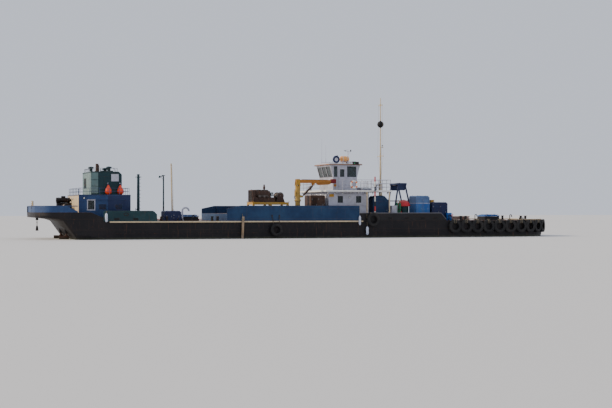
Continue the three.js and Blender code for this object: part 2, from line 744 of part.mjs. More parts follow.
function pumpEngine() {
  const { start, near, far, top } = PUMP_FRAME;
  const floor = top + SEAT;
  const y = [near + 120, far - 120];
  const sump = block([xOf(start + 80), xOf(start + 2050)], y, [floor, floor + 420]);
  const head = block([xOf(start + 420), xOf(start + 1700)], [near + 420, far - 420],
    [floor + 400, floor + 980]);
  const radiator = block([xOf(start + 60), xOf(start + 320)], [near + 250, far - 250], [floor, floor + 1080]);
  const airCleaner = rod([xOf(start + 700), PUMP_CENTRE - 180, floor + 960],
    [xOf(start + 700), PUMP_CENTRE - 180, floor + 1100], 150, 14);
  const stack = rod([xOf(start + 1350), PUMP_CENTRE + 150, floor + 960],
    [xOf(start + 1350), PUMP_CENTRE + 150, floor + 1560], 70, 12);
  const drumStand = winchFrame(PUMP_DRUM, PUMP_FRAME.top).translate([0, PUMP_CENTRE, 0]);
  const coupling = block([xOf(start + 2000), xOf(PUMP_DRUM.start + 20)],
    [PUMP_CENTRE - 200, PUMP_CENTRE + 200], [floor, floor + 60]);
  return join([sump, head, radiator, airCleaner, stack, drumStand, coupling]);
}

// Crane: a fixed pedestal, a slewing head, a jib and its luffing cylinder, stowed pointing forward

const CRANE = { station: 23000, offset: -2400, pedestalTop: 4300, headTop: 6200, pivot: 6000, radius: 225 };
const JIB = { reach: 3600, depth: 300, width: 260, tipDepth: 180, pin: 50 };
const LUFF = {
  footOut: 420, foot: 4650, eyeOut: 1450, eyeDrop: 330, neck: 190, barrel: 1340, radius: 85, rod: 45, pin: 35,
};

function pedestal() {
  const x = xOf(CRANE.station);
  const y = CRANE.offset;
  const floor = RAISED_DECK + SEAT;
  const gussets = [[1, 0], [-1, 0], [0, 1], [0, -1]].map(([dx, dy]) =>
    bar([x + dx * 150, y + dy * 150, floor + 260], [x + dx * 330, y + dy * 330, floor + 60], 60, 120));
  return join([
    rod([x, y, floor], [x, y, CRANE.pedestalTop], CRANE.radius),
    rod([x, y, floor], [x, y, floor + 90], CRANE.radius + 160),
    rod([x, y, CRANE.pedestalTop - 80], [x, y, CRANE.pedestalTop], CRANE.radius + 70),
    ...gussets,
  ]);
}

function slewingHead() {
  const x = xOf(CRANE.station);
  const y = CRANE.offset;
  const floor = CRANE.pedestalTop + SEAT;
  const cheekGap = JIB.width / 2 + CLEARANCE;
  const body = join([
    rod([x, y, floor], [x, y, floor + 90], CRANE.radius + 70),
    rod([x, y, floor], [x, y, CRANE.pivot - 330], CRANE.radius),
  ]);
  const cheeks = [-1, 1].map((side) => {
    const faces = [y + side * cheekGap, y + side * (cheekGap + 60)].sort((a, b) => a - b);
    return sidePrism([[x - 220, CRANE.pivot - 420], [x + 220, CRANE.pivot - 420], [x + 160, CRANE.headTop],
      [x - 160, CRANE.headTop]], faces);
  });
  const yoke = block([x - 220, x + 220], [y - cheekGap - 60, y + cheekGap + 60],
    [CRANE.pivot - 420, CRANE.pivot - 330]);
  const pivotPin = rod([x, y - cheekGap - 80, CRANE.pivot], [x, y + cheekGap + 80, CRANE.pivot], JIB.pin);
  const lugGap = 60 + CLEARANCE;
  const lugs = [-1, 1].map((side) => {
    const faces = [y + side * lugGap, y + side * (lugGap + 40)].sort((a, b) => a - b);
    return sidePrism([[x + 100, LUFF.foot - 120], [x + LUFF.footOut + 60, LUFF.foot - 70],
      [x + LUFF.footOut + 60, LUFF.foot + 70], [x + 100, LUFF.foot + 160]], faces);
  });
  const footPin = rod([x + LUFF.footOut, y - lugGap - 50, LUFF.foot],
    [x + LUFF.footOut, y + lugGap + 50, LUFF.foot], LUFF.pin);
  return join([body, ...cheeks, yoke, pivotPin, ...lugs, footPin]);
}

function jib() {
  const x = xOf(CRANE.station);
  const y = CRANE.offset;
  const z = CRANE.pivot;
  const half = JIB.width / 2;
  const profile = [
    [x - 120, z - JIB.depth / 2], [x + 900, z - JIB.depth / 2], [x + JIB.reach, z - JIB.tipDepth / 2 + 40],
    [x + JIB.reach, z + JIB.tipDepth / 2 + 40], [x + 900, z + JIB.depth / 2], [x - 120, z + JIB.depth / 2],
  ];
  const pinHole = bore([x, y - 400, z], [x, y + 400, z], JIB.pin);
  const eyeX = x + LUFF.eyeOut;
  const eyeZ = z - LUFF.eyeDrop;
  const lugGap = 60 + CLEARANCE;
  const lugs = [-1, 1].map((side) => {
    const faces = [y + side * lugGap, y + side * (lugGap + 36)].sort((a, b) => a - b);
    return sidePrism([
      [eyeX - 170, z - 100], [eyeX - 70, eyeZ - 60], [eyeX + 70, eyeZ - 60], [eyeX + 170, z - 100],
    ], faces);
  });
  const hook = join([
    rod([x + JIB.reach - 60, y, z], [x + JIB.reach - 60, y, z - 330], 35),
    rod([x + JIB.reach - 60, y - 45, z - 330], [x + JIB.reach - 60, y + 45, z - 330], 120),
    rod([x + JIB.reach - 60, y, z - 400], [x + JIB.reach - 60, y, z - 560], 40, 12, 25),
  ]);
  return join([cut(sidePrism(profile, [y - half, y + half]), [pinHole]), ...lugs, hook]);
}

function luffLine() {
  const x = xOf(CRANE.station);
  const foot = new THREE.Vector3(x + LUFF.footOut, CRANE.offset, LUFF.foot);
  const eye = new THREE.Vector3(x + LUFF.eyeOut, CRANE.offset, CRANE.pivot - LUFF.eyeDrop);
  const along = eye.clone().sub(foot).normalize();
  return { foot, eye, along, place: (distance) => foot.clone().addScaledVector(along, distance).toArray() };
}

function luffBarrel() {
  const { foot, place } = luffLine();
  const y = CRANE.offset;
  const eye = rod([foot.x, y - 60, foot.z], [foot.x, y + 60, foot.z], 75);
  const pinHole = bore([foot.x, y - 100, foot.z], [foot.x, y + 100, foot.z], LUFF.pin);
  const neck = rod(place(0), place(LUFF.neck + 20), 45);
  const barrel = rod(place(LUFF.neck), place(LUFF.barrel), LUFF.radius);
  const rodHole = bore(place(LUFF.neck + 30), place(LUFF.barrel + 50), LUFF.rod);
  return cut(join([eye, neck, barrel]), [rodHole, pinHole]);
}

function luffRod() {
  const { foot, eye, place } = luffLine();
  const length = foot.distanceTo(eye);
  const y = CRANE.offset;
  return join([
    rod(place(LUFF.neck + 60), place(length - 40), LUFF.rod),
    rod([eye.x, y - 45, eye.z], [eye.x, y + 45, eye.z], 65),
  ]);
}

// Deckhouse, boat deck and wheelhouse

const DECKHOUSE_DOOR = {
  hinge: { x: xOf(DECKHOUSE.start) - HINGE_OUT, y: 2100, along: [0, -1], out: [-1, 0] },
  width: 800, leaf: [3220, 4940], opening: [3300, 4880],
};
// Deckhouse windows on both sides: [start station, end station]
const DECKHOUSE_WINDOWS = [[26350, 27050], [28100, 28800]];

function deckhouse() {
  const { start, end, half } = DECKHOUSE;
  const outer = block([xOf(start), xOf(end)], [-half, half], [RAISED_DECK + SEAT, BOAT_DECK - 100 - SEAT]);
  const hollow = block([xOf(start) + 70, xOf(end) - 70], [-half + 70, half - 70], [0, 9000]);
  const windows = DECKHOUSE_WINDOWS.flatMap(([from, to]) => [-1, 1].map((side) =>
    block([xOf(from), xOf(to)], [side * half - 200, side * half + 200], [4100, 4700])));
  const foreWindows = [-1700, 1700].map((y) =>
    block([xOf(end) - 200, xOf(end) + 200], [y - 350, y + 350], [4100, 4700]));
  const doorway = block([xOf(start) - 200, xOf(start) + 200],
    [DECKHOUSE_DOOR.hinge.y - 730, DECKHOUSE_DOOR.hinge.y - 70], DECKHOUSE_DOOR.opening);
  return join([cut(outer, [hollow, ...windows, ...foreWindows, doorway]),
    ...hingeLugs(DECKHOUSE_DOOR.hinge, DECKHOUSE_DOOR.leaf)]);
}

const BOAT_DECK_PLATE = { start: 25200, end: 31450, half: 3800, legs: [[29100, 3720], [31250, 3720]] };

function boatDeck() {
  const { start, end, half, legs } = BOAT_DECK_PLATE;
  const plate = block([xOf(start), xOf(end)], [-half, half], [BOAT_DECK - 100, BOAT_DECK]);
  const posts = legs.flatMap(([s, y]) => [-1, 1].map((side) =>
    rod([xOf(s), side * y, MAIN_DECK + SEAT], [xOf(s), side * y, BOAT_DECK - 50], 60)));
  return join([plate, ...posts]);
}

const WHEELHOUSE = {
  aft: 26550, fore: 28850, half: 1850, rake: 300, sill: 6400, head: 7450, top: 7500, wall: 70,
};
const WHEELHOUSE_DOOR = { width: 700, leaf: [5290, 7270], opening: [5370, 7210], hingeStation: 27750 };

function wheelhouseProfile(inset) {
  const { aft, fore, rake, sill, top } = WHEELHOUSE;
  const floor = BOAT_DECK + SEAT - (inset ? 500 : 0);
  const ceiling = top + (inset ? 500 : 0);
  const over = (z) => (rake * (z - sill)) / (top - sill);
  return [
    [xOf(aft) + inset, floor], [xOf(fore) - inset, floor], [xOf(fore) - inset, sill],
    [xOf(fore) - inset + over(ceiling), ceiling], [xOf(aft) + inset - over(ceiling), ceiling],
    [xOf(aft) + inset, sill],
  ];
}

function wheelhouseDoorHinge(side) {
  return {
    x: xOf(WHEELHOUSE_DOOR.hingeStation), y: side * (WHEELHOUSE.half + HINGE_OUT),
    along: [-1, 0], out: [0, side],
  };
}

function wheelhouse() {
  const { aft, fore, half, sill, head, wall, rake } = WHEELHOUSE;
  const shell = cut(sidePrism(wheelhouseProfile(0), [-half, half]),
    [sidePrism(wheelhouseProfile(wall), [-half + wall, half - wall])]);
  const paneEdges = [[-1720, -620], [-550, 550], [620, 1720]];
  const endWindows = paneEdges.flatMap((y) => [
    block([xOf(fore) - 250, xOf(fore) + rake + 200], y, [sill + 40, head - 60]),
    block([xOf(aft) - rake - 200, xOf(aft) + 250], y, [sill + 40, head - 60]),
  ]);
  const sideWindows = [[26620, 26960], [27900, 28780]].flatMap(([from, to]) => [-1, 1].map((side) =>
    block([xOf(from), xOf(to)], [side * half - 250, side * half + 250], [sill + 40, head - 60])));
  const doorways = [-1, 1].map((side) =>
    block([xOf(WHEELHOUSE_DOOR.hingeStation) - 640, xOf(WHEELHOUSE_DOOR.hingeStation) - 60],
      [side * half - 250, side * half + 250], WHEELHOUSE_DOOR.opening));
  const lugs = [-1, 1].flatMap((side) => hingeLugs(wheelhouseDoorHinge(side), WHEELHOUSE_DOOR.leaf));
  return join([cut(shell, [...endWindows, ...sideWindows, ...doorways]), ...lugs]);
}

function wheelhouseDoor(side) {
  const window = { across: [140, 560], up: [6440, 7130] };
  return doorLeaf(wheelhouseDoorHinge(side), WHEELHOUSE_DOOR.width, WHEELHOUSE_DOOR.leaf, window);
}

const ROOF = { start: 26130, end: 29270, half: 2050, thickness: 130, crown: 90 };

const SEARCHLIGHT = { station: 27050, offset: -1200, radius: 230, height: 560 };

function searchlight() {
  const { station, offset, radius, height } = SEARCHLIGHT;
  const x = xOf(station);
  const axis = WHEELHOUSE.top + ROOF.thickness + height;
  return join([
    rod([x, offset, WHEELHOUSE.top + ROOF.thickness], [x, offset, axis], 55),
    rod([x - 130, offset, axis], [x + 150, offset, axis], radius * 0.75, ROUND, radius),
  ]);
}

function wheelhouseRoof() {
  const { start, end, half, thickness, crown } = ROOF;
  const floor = WHEELHOUSE.top + SEAT;
  const mid = half * 0.45;
  const ring = (station) => [
    [xOf(station), half, floor], [xOf(station), half, floor + thickness],
    [xOf(station), mid, floor + thickness + crown], [xOf(station), -mid, floor + thickness + crown],
    [xOf(station), -half, floor + thickness], [xOf(station), -half, floor],
  ];
  return join([loft([ring(start), ring(end)]), searchlight()]);
}

// Mast: it lowers forward about a pin between the tabernacle's cheeks

const MAST = {
  station: 31900, pin: 5750, heel: 5500, radius: 95, step: 8600, upper: 60, taper: 0.6, cheek: 110,
  pinRadius: 35,
};
const DAY_BALL = { height: 11400, radius: 300 };

// The upper pole tapers from its step to the top
function poleRadius(z) {
  const { step, upper, taper } = MAST;
  return upper * (1 - ((1 - taper) * (z - step)) / (MAST_TOP - step));
}

function tabernacle() {
  const { station, pin, cheek, radius } = MAST;
  const x = xOf(station);
  const inner = radius + CLEARANCE;
  const cheeks = [-1, 1].map((side) => {
    const faces = [side * inner, side * (inner + 50)].sort((a, b) => a - b);
    return block([x - cheek, x + cheek], faces, [5100, pin + 140]);
  });
  return join([
    block([x - cheek, x + cheek], [-inner - 50, inner + 50], [MAIN_DECK + SEAT, 5150]),
    block([x - 260, x + 260], [-300, 300], [MAIN_DECK + SEAT, MAIN_DECK + 80]),
    ...cheeks,
    rod([x, -inner - 70, pin], [x, inner + 70, pin], MAST.pinRadius),
  ]);
}

function mast() {
  const { station, pin, heel, radius, step, upper } = MAST;
  const x = xOf(station);
  const pole = join([
    rod([x, 0, heel], [x, 0, step], radius, ROUND, radius * 0.8),
    rod([x, 0, step], [x, 0, MAST_TOP], upper, ROUND, poleRadius(MAST_TOP)),
    rod([x, -450, 13150], [x, 450, 13150], 28, 10),
    rod([x, 0, 13130], [x, 0, 13260], 90),
    rod([x, -700, 8450], [x, 700, 8450], 32, 10),
  ]);
  return cut(pole, [bore([x, -300, pin], [x, 300, pin], MAST.pinRadius)]);
}

function dayBall() {
  const x = xOf(MAST.station);
  const ball = solidOf(new THREE.SphereGeometry(DAY_BALL.radius, 16, 10).rotateX(Math.PI / 2))
    .translate([x, 0, DAY_BALL.height]);
  const foot = DAY_BALL.height - DAY_BALL.radius;
  return cut(ball, [bore([x, 0, foot - 50], [x, 0, foot + 3 * DAY_BALL.radius], poleRadius(foot))]);
}

// Bow gantry with its drum

const GANTRY = { start: 32750, end: 34850, half: 850, apex: 5950, leg: 110 };
const GANTRY_DRUM = { start: 33350, end: 34250, half: 620, axis: 3500, drum: 480 };

function gantry() {
  const { start, end, half, apex, leg } = GANTRY;
  const foot = MAIN_DECK + 60;
  const top = [xOf(33350), xOf(34000)];
  const sides = [-1, 1].flatMap((side) => {
    const y = side * half;
    return [
      bar([xOf(start) + leg / 2, y, foot], [top[0], y, apex - leg], leg, leg),
      bar([xOf(end) - leg / 2, y, foot], [top[1], y, apex - leg], leg, leg),
      bar([xOf(start + 330), y, 4300], [xOf(end - 400), y, 4300], leg * 0.8, leg * 0.8),
      block([xOf(start) - 60, xOf(end) + 60], [y - 90, y + 90], [MAIN_DECK + SEAT, foot + 40]),
    ];
  });
  const crown = [-1, 1].map((side) => block([top[0] - 160, top[1] + 160],
    [side * half - leg / 2, side * half + leg / 2].sort((a, b) => a - b), [apex - leg * 1.6, apex]));
  const ties = [top[0] - 100, top[1] + 100 - leg].map((x) =>
    block([x, x + leg], [-half, half], [apex - leg * 1.4, apex - 10]));
  const sole = block([xOf(GANTRY_DRUM.start), xOf(GANTRY_DRUM.end)], [-half, half], [MAIN_DECK + SEAT, foot]);
  return join([...sides, ...crown, ...ties, sole, winchFrame(GANTRY_DRUM, MAIN_DECK)]);
}

// Hatches: their coamings are welded to the deck
const HATCHES = [
  { name: "engine_hatch", start: 12600, end: 14500, centre: 700, half: 1000, coaming: 2850 },
  { name: "fore_hatch", start: 41300, end: 42750, centre: -1900, half: 800, coaming: 2850 },
];
const HATCH_WALL = 70;
const LID_THICKNESS = 90;

function hatchHinge({ start, end, centre, half, coaming }) {
  const z = coaming + CLEARANCE + LID_THICKNESS / 2;
  const y = centre + half + 60;
  const mid = (start + end) / 2;
  return { y, z, places: [mid - 500, mid + 410] };
}

function hatchCoaming(hatch) {
  const { start, end, centre, half, coaming } = hatch;
  const outer = block([xOf(start), xOf(end)], [centre - half, centre + half], [MAIN_DECK - 50, coaming]);
  const inner = block([xOf(start) + HATCH_WALL, xOf(end) - HATCH_WALL],
    [centre - half + HATCH_WALL, centre + half - HATCH_WALL], [MAIN_DECK + 60, coaming + 100]);
  const { y, z, places } = hatchHinge(hatch);
  const lugSpans = places.flatMap((s) => [[s - 60 - SEAT, s - SEAT], [s + 90 + SEAT, s + 150 + SEAT]]);
  const lugs = lugSpans.flatMap(([a, b]) => [
    rod([xOf(a), y, z], [xOf(b), y, z], 30, SMALL_ROUND),
    block([xOf(a), xOf(b)], [centre + half - 20, y + 30], [coaming - 150, coaming - 20]),
    block([xOf(a), xOf(b)], [y - 20, y + 30], [coaming - 60, z]),
  ]);
  return join([cut(outer, [inner]), ...lugs]);
}

function hatchLid(hatch) {
  const { start, end, centre, half, coaming } = hatch;
  const floor = coaming + CLEARANCE;
  const { y, z, places } = hatchHinge(hatch);
  const leaf = block([xOf(start) - 40, xOf(end) + 40], [centre - half - 40, y - 45],
    [floor, floor + LID_THICKNESS]);
  const crown = block([xOf(start) + 120, xOf(end) - 120], [centre - half + 120, centre + half - 120],
    [floor + LID_THICKNESS - 10, floor + LID_THICKNESS + 60]);
  const knuckles = places.flatMap((s) => [
    rod([xOf(s), y, z], [xOf(s + 90), y, z], 30, SMALL_ROUND),
    block([xOf(s), xOf(s + 90)], [y - 90, y], [z - 20, z + 20]),
  ]);
  return join([leaf, crown, ...knuckles]);
}

// Rudders and propellers

function rudder(side) {
  const x = xOf(RUDDER_STATION);
  const y = side * RUDDER_OFFSET;
  const profile = [[x - 620, y], [x - 200, y + 35], [x + 60, y + 55], [x + 190, y + 30], [x + 230, y],
    [x + 190, y - 30], [x + 60, y - 55], [x - 200, y - 35]];
  return join([
    planPrism(profile, [90, 1280]),
    rod([x, y, 1200], [x, y, TRUNK_FOOT + 450], STOCK_RADIUS),
  ]);
}

function propeller(side) {
  const x = xOf(PROPELLER_STATION);
  const y = side * RUDDER_OFFSET;
  const z = PROPELLER_HEIGHT;
  const bladeCount = 4;
  const tip = 420;
  const outline = new THREE.Shape();
  outline.moveTo(60, -60);
  outline.quadraticCurveTo(230, -230, tip, -60);
  outline.quadraticCurveTo(tip + 25, 60, tip - 40, 120);
  outline.quadraticCurveTo(220, 170, 60, 60);
  const blades = [];
  for (let i = 0; i < bladeCount; i += 1) {
    const blade = new THREE.ExtrudeGeometry(outline, { depth: 26, bevelEnabled: false, curveSegments: 5 });
    blade.translate(0, 0, -13);
    blade.rotateX(THREE.MathUtils.degToRad(side * 35));
    blade.rotateY(-Math.PI / 2);
    blade.rotateX((2 * Math.PI * i) / bladeCount);
    blade.translate(x, y, z);
    blades.push(solidOf(blade));
  }
  return join([
    rod([x - 150, y, z], [x + 150, y, z], 95),
    rod([x - 260, y, z], [x - 140, y, z], 30, ROUND, 90),
    rod([x + 100, y, z], [xOf(STERN_TUBE[0] + 450), y, z], SHAFT_RADIUS),
    ...blades,
  ]);
}

// Assembly

addPiece("hull", hullBody(), "hull");
addPiece("stern_bulwark", sternBulwark(), "blue");
addPiece("raised_midship", raisedMidship(), "blue");
for (const [sideName, side] of [["starboard", -1], ["port", 1]]) {
  addPiece(`rubbing_strake_${sideName}`, rubbingStrake(side), "cream");
  addPiece(`quarter_bulwark_${sideName}`, quarterBulwark(side), "teal");
  addPiece(`fore_bulwark_${sideName}`, foreBulwark(side), "hull");
  const hungTop = SIDE_TYRES.aft[1] + 400;
  addPiece(`side_tyre_${sideName}`, sideTyre(SIDE_TYRES.aft, side, hungTop, HALF_BEAM + SEAT), "rubber");
  addPiece(`rudder_${sideName}`, rudder(side), "brown");
  addPiece(`propeller_${sideName}`, propeller(side), "bronze");
  addPiece(`wheelhouse_door_${sideName}`, wheelhouseDoor(side), "white");
}
addPiece("bow_fender_belt", bowFenderBelt(), "rubber");
addPiece("log_fender", logFender(), "wood");
addPiece("aft_house", aftHouse(), "blue");
addPiece("aft_house_door", doorLeaf(AFT_DOOR.hinge, AFT_DOOR.width, AFT_DOOR.leaf), "blue");
addPiece("casing", casing(), "teal");
addPiece("exhaust_pipe", exhaustPipe(), "brown");
TEARDROP_STATIONS.forEach((station, i) => addPiece(`teardrop_fender_${i + 1}`, teardrop(station), "red"));
addPiece("stern_winch_frame", winchFrame(STERN_WINCH, POOP_DECK), "hull");
addPiece("stern_winch_drum", winchDrum(STERN_WINCH), "brown");
addPiece("stern_anchor", sternAnchor(), "hull");
for (const [name, station, offset, foot, top, radius, lean, finish] of POSTS) {
  const make = name === "lamp_post" ? lampPost : post;
  addPiece(name, make(station, offset, foot, top, radius, lean), finish);
}
for (const [name, stations, offsets, deck, top, slope, finish] of LOCKERS) {
  addPiece(name, locker(stations, offsets, deck, top, slope), finish);
}
addPiece("gooseneck_vent", gooseneck(12550, -2400, MAIN_DECK), "white");
addPiece("mushroom_vent", join([ventTrunk(), ventCap()]), "red");
addPiece("pump_frame", pumpFrame(), "yellow");
addPiece("pump_engine", pumpEngine(), "brown");
addPiece("pump_drum", winchDrum(PUMP_DRUM).translate([0, PUMP_CENTRE, 0]), "brown");
addPiece("crane_pedestal", pedestal(), "yellow");
addPiece("crane_head", slewingHead(), "yellow");
addPiece("crane_jib", jib(), "orange");
addPiece("luff_barrel", luffBarrel(), "brown");
addPiece("luff_rod", luffRod(), "steel");
addPiece("deckhouse", deckhouse(), "white");
addPiece("deckhouse_door", doorLeaf(DECKHOUSE_DOOR.hinge, DECKHOUSE_DOOR.width, DECKHOUSE_DOOR.leaf), "white");
addPiece("boat_deck", boatDeck(), "white");
addPiece("wheelhouse", wheelhouse(), "white");
addPiece("wheelhouse_roof", wheelhouseRoof(), "white");
addPiece("tabernacle", tabernacle(), "cream");
addPiece("mast", mast(), "cream");
addPiece("day_ball", dayBall(), "rubber");
addPiece("bow_gantry", gantry(), "navy");
addPiece("gantry_drum", winchDrum(GANTRY_DRUM), "brown");
for (const hatch of HATCHES) addPiece(`${hatch.name}_lid`, hatchLid(hatch), "paleBlue");

export default barge;
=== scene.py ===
"""River work barge at 1:2 scale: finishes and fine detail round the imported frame.

Sizes are in full-size metres: a station forward of the stern, an offset to port and a height above the flat
bottom. They are halved and centred on the frame as each mesh is made.
"""

import json
import logging
import math
from dataclasses import dataclass
from enum import Enum
from typing import Callable, Iterable, Optional, Sequence

import bmesh
import bpy
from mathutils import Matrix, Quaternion, Vector

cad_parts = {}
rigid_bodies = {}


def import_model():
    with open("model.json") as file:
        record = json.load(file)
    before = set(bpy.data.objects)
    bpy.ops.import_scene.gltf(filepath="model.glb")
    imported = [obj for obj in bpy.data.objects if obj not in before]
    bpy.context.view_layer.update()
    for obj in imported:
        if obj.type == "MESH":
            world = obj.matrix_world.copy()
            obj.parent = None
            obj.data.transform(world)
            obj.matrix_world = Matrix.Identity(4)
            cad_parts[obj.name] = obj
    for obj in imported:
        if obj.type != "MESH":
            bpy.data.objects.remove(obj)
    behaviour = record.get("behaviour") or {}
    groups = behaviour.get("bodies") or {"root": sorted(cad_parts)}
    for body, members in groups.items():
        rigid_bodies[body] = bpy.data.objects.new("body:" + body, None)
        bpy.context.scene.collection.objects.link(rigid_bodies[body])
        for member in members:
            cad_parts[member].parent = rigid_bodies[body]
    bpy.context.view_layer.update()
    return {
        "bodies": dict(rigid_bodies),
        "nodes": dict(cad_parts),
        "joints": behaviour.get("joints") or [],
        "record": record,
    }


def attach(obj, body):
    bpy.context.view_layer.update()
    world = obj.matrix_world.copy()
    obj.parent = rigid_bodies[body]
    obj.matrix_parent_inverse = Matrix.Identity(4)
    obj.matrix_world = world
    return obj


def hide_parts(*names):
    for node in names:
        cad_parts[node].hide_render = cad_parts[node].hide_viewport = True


LOG = logging.getLogger("barge")

SCALE = 0.5
LENGTH = 48.0
HALF_BEAM = 4.5
MAIN_DECK = 2.5
POOP_DECK = 3.25
RAISED_DECK = 3.15
BOAT_DECK = 5.2
WATER = 1.0
VESSEL = "vessel"
SIDES = ((-1, "starboard"), (1, "port"))

Point = Sequence[float]
Colour = tuple[float, float, float]


def to_frame(point: Point) -> Vector:
    """Turns a place on the ship into the frame.

    Args:
        point: station, offset to port and height, in full-size metres.

    Returns:
        The same place in the frame's metres.
    """
    return Vector(((point[0] - LENGTH / 2) * SCALE, point[1] * SCALE, point[2] * SCALE))


def to_ship(point: Point) -> Vector:
    """Turns a place in the frame back into full-size metres on the ship."""
    return Vector((point[0] / SCALE + LENGTH / 2, point[1] / SCALE, point[2] / SCALE))


def half_breadth(station: float) -> float:
    """Gives the hull's half breadth at deck level.

    Args:
        station: distance forward of the stern.

    Returns:
        The distance from the centreline to the deck's edge.
    """
    bow_start, bow_end, bow_half = 43.0, 47.7194, 1.3
    stern_round, stern_half = 1.7, 2.9
    if station < stern_round:
        u = (stern_round - station) / stern_round
        return HALF_BEAM - (HALF_BEAM - stern_half) * u**2.4
    if station > bow_start:
        u = min(1.0, (station - bow_start) / (bow_end - bow_start))
        return bow_half + (HALF_BEAM - bow_half) * math.sqrt(1 - u * u)
    return HALF_BEAM


# Node trees


def add_node(tree: bpy.types.NodeTree, kind: str, **sockets: object) -> bpy.types.Node:
    """Adds a node to a tree and sets what is given.

    Args:
        tree: the node tree.
        kind: the node's type name.
        **sockets: properties of the node, or inputs by name or number (i0), each a value, a socket or a wire.

    Returns:
        The node.
    """
    node = tree.nodes.new(kind)
    given = {key: value.socket if isinstance(value, Wire) else value for key, value in sockets.items()}
    waiting: dict[str, object] = {}
    for key, value in given.items():
        if key in node.bl_rna.properties and not isinstance(value, bpy.types.NodeSocket):
            setattr(node, key, value)
        else:
            waiting[key] = value
    for key, value in waiting.items():
        numbered = key[0] == "i" and key[1:].isdigit()
        socket = node.inputs[int(key[1:])] if numbered else node.inputs[key.replace("_", " ")]
        if isinstance(value, bpy.types.NodeSocket):
            tree.links.new(value, socket)
        elif isinstance(value, tuple) and socket.type == "RGBA":
            socket.default_value = (*value, 1.0)
        else:
            socket.default_value = value
    return node


class Wire:
    """A node's output, on which the usual signs add Math nodes."""

    def __init__(self, graph: "Graph", socket: bpy.types.NodeSocket) -> None:
        """Takes the graph and the socket."""
        self.graph = graph
        self.socket = socket

    def __add__(self, other: object) -> "Wire":
        """Adds another value."""
        return self.graph.math("ADD", self, other)

    def __radd__(self, other: object) -> "Wire":
        """Adds itself to another value."""
        return self.graph.math("ADD", other, self)

    def __sub__(self, other: object) -> "Wire":
        """Takes another value away."""
        return self.graph.math("SUBTRACT", self, other)

    def __rsub__(self, other: object) -> "Wire":
        """Takes itself from another value."""
        return self.graph.math("SUBTRACT", other, self)

    def __mul__(self, other: object) -> "Wire":
        """Multiplies by another value."""
        return self.graph.math("MULTIPLY", self, other)

    def __truediv__(self, other: object) -> "Wire":
        """Divides by another value."""
        return self.graph.math("DIVIDE", self, other)

    def __abs__(self) -> "Wire":
        """Drops the sign."""
        return self.graph.math("ABSOLUTE", self)


class Graph:
    """A node tree with short ways to add nodes."""

    prefix = "ShaderNode"

    def __init__(self, tree: bpy.types.NodeTree) -> None:
        """Takes the tree."""
        self.tree = tree

    def node(self, kind: str, **sockets: object) -> bpy.types.Node:
        """Adds a node and sets what is given."""
        full = kind if kind.startswith(("Function", "Shader")) else self.prefix + kind
        return add_node(self.tree, full, **sockets)

    def out(self, kind: str, output: str | int = 0, **sockets: object) -> Wire:
        """Adds a node and gives one of its outputs.

        Args:
            kind: the node's type name, without its prefix.
            output: the output's name or number.
            **sockets: what add_node takes.

        Returns:
            The output.
        """
        return Wire(self, self.node(kind, **sockets).outputs[output])

    def math(self, operation: str, a: object, b: object = 0.0) -> Wire:
        """Adds a Math node."""
        return self.out("ShaderNodeMath", operation=operation, i0=a, i1=b)

    def split(self, vector: Wire) -> list[Wire]:
        """Gives a vector's X, Y and Z."""
        return [Wire(self, output) for output in self.node("ShaderNodeSeparateXYZ", Vector=vector).outputs]

    def ramp(self, value: Wire, low: object, high: object) -> Wire:
        """Adds a smooth step from 0 at low to 1 at high."""
        return self.out("MapRange", "Result", interpolation_type="SMOOTHSTEP", Value=value, From_Min=low,
                        From_Max=high)

    def mix(self, amount: Wire, a: object, b: object, mode: str = "MIX") -> Wire:
        """Mixes two colours by an amount of the second."""
        return self.out("Mix", 2, data_type="RGBA", blend_type=mode, i0=amount, i6=a, i7=b)

    def noise(self, vector: Wire, scale: float, detail: float, rough: float = 0.55) -> Wire:
        """Adds a Noise Texture and gives its value."""
        return self.out("TexNoise", Vector=vector, Scale=scale, Detail=detail, Roughness=rough)

    def stretch(self, vector: Wire, factors: tuple[float, float, float]) -> Wire:
        """Scales a vector along its axes."""
        return self.out("VectorMath", operation="MULTIPLY", i0=vector, i1=factors)

    def link(self, value: Wire, socket: bpy.types.NodeSocket) -> None:
        """Links a wire to an input."""
        self.tree.links.new(value.socket, socket)


class NodeGroup(Graph):
    """A node group with named inputs and outputs."""

    def declare(self, label: str, kind: str, value: object = None, way: str = "INPUT") -> None:
        """Declares a socket.

        Args:
            label: its name.
            kind: its type, such as Float.
            value: its default value.
            way: INPUT or OUTPUT.
        """
        socket = self.tree.interface.new_socket(label, in_out=way, socket_type="NodeSocket" + kind)
        if value is not None:
            socket.default_value = (*value, 1.0) if isinstance(value, tuple) else value

    def __getitem__(self, label: str) -> Wire:
        """Gives an input of the group."""
        return Wire(self, self.source[label])

    def open(self) -> None:
        """Adds the node that holds the group's inputs."""
        self.source = self.tree.nodes.new("NodeGroupInput").outputs


class ShaderGroup(NodeGroup):
    """A shader node group."""

    kinds = {type(None): "Vector", tuple: "Color", float: "Float"}

    def __init__(self, name: str, outputs: Sequence[str], **inputs: object) -> None:
        """Makes the group and its sockets.

        Args:
            name: the group's name.
            outputs: its outputs, of which Color is a colour and the rest are values.
            **inputs: default value for each input, a number, a colour or None for a vector.
        """
        super().__init__(bpy.data.node_groups.new(name, "ShaderNodeTree"))
        for label, value in inputs.items():
            self.declare(label, self.kinds[type(value)], value)
        for label in outputs:
            self.declare(label, "Color" if label == "Color" else "Float", way="OUTPUT")
        self.open()

    def give(self, **outputs: Wire) -> bpy.types.NodeTree:
        """Links the outputs and hands over the tree.

        Args:
            **outputs: a wire for each output.

        Returns:
            The group's node tree.
        """
        sink = self.tree.nodes.new("NodeGroupOutput").inputs
        for label, value in outputs.items():
            self.link(value, sink[label])
        return self.tree


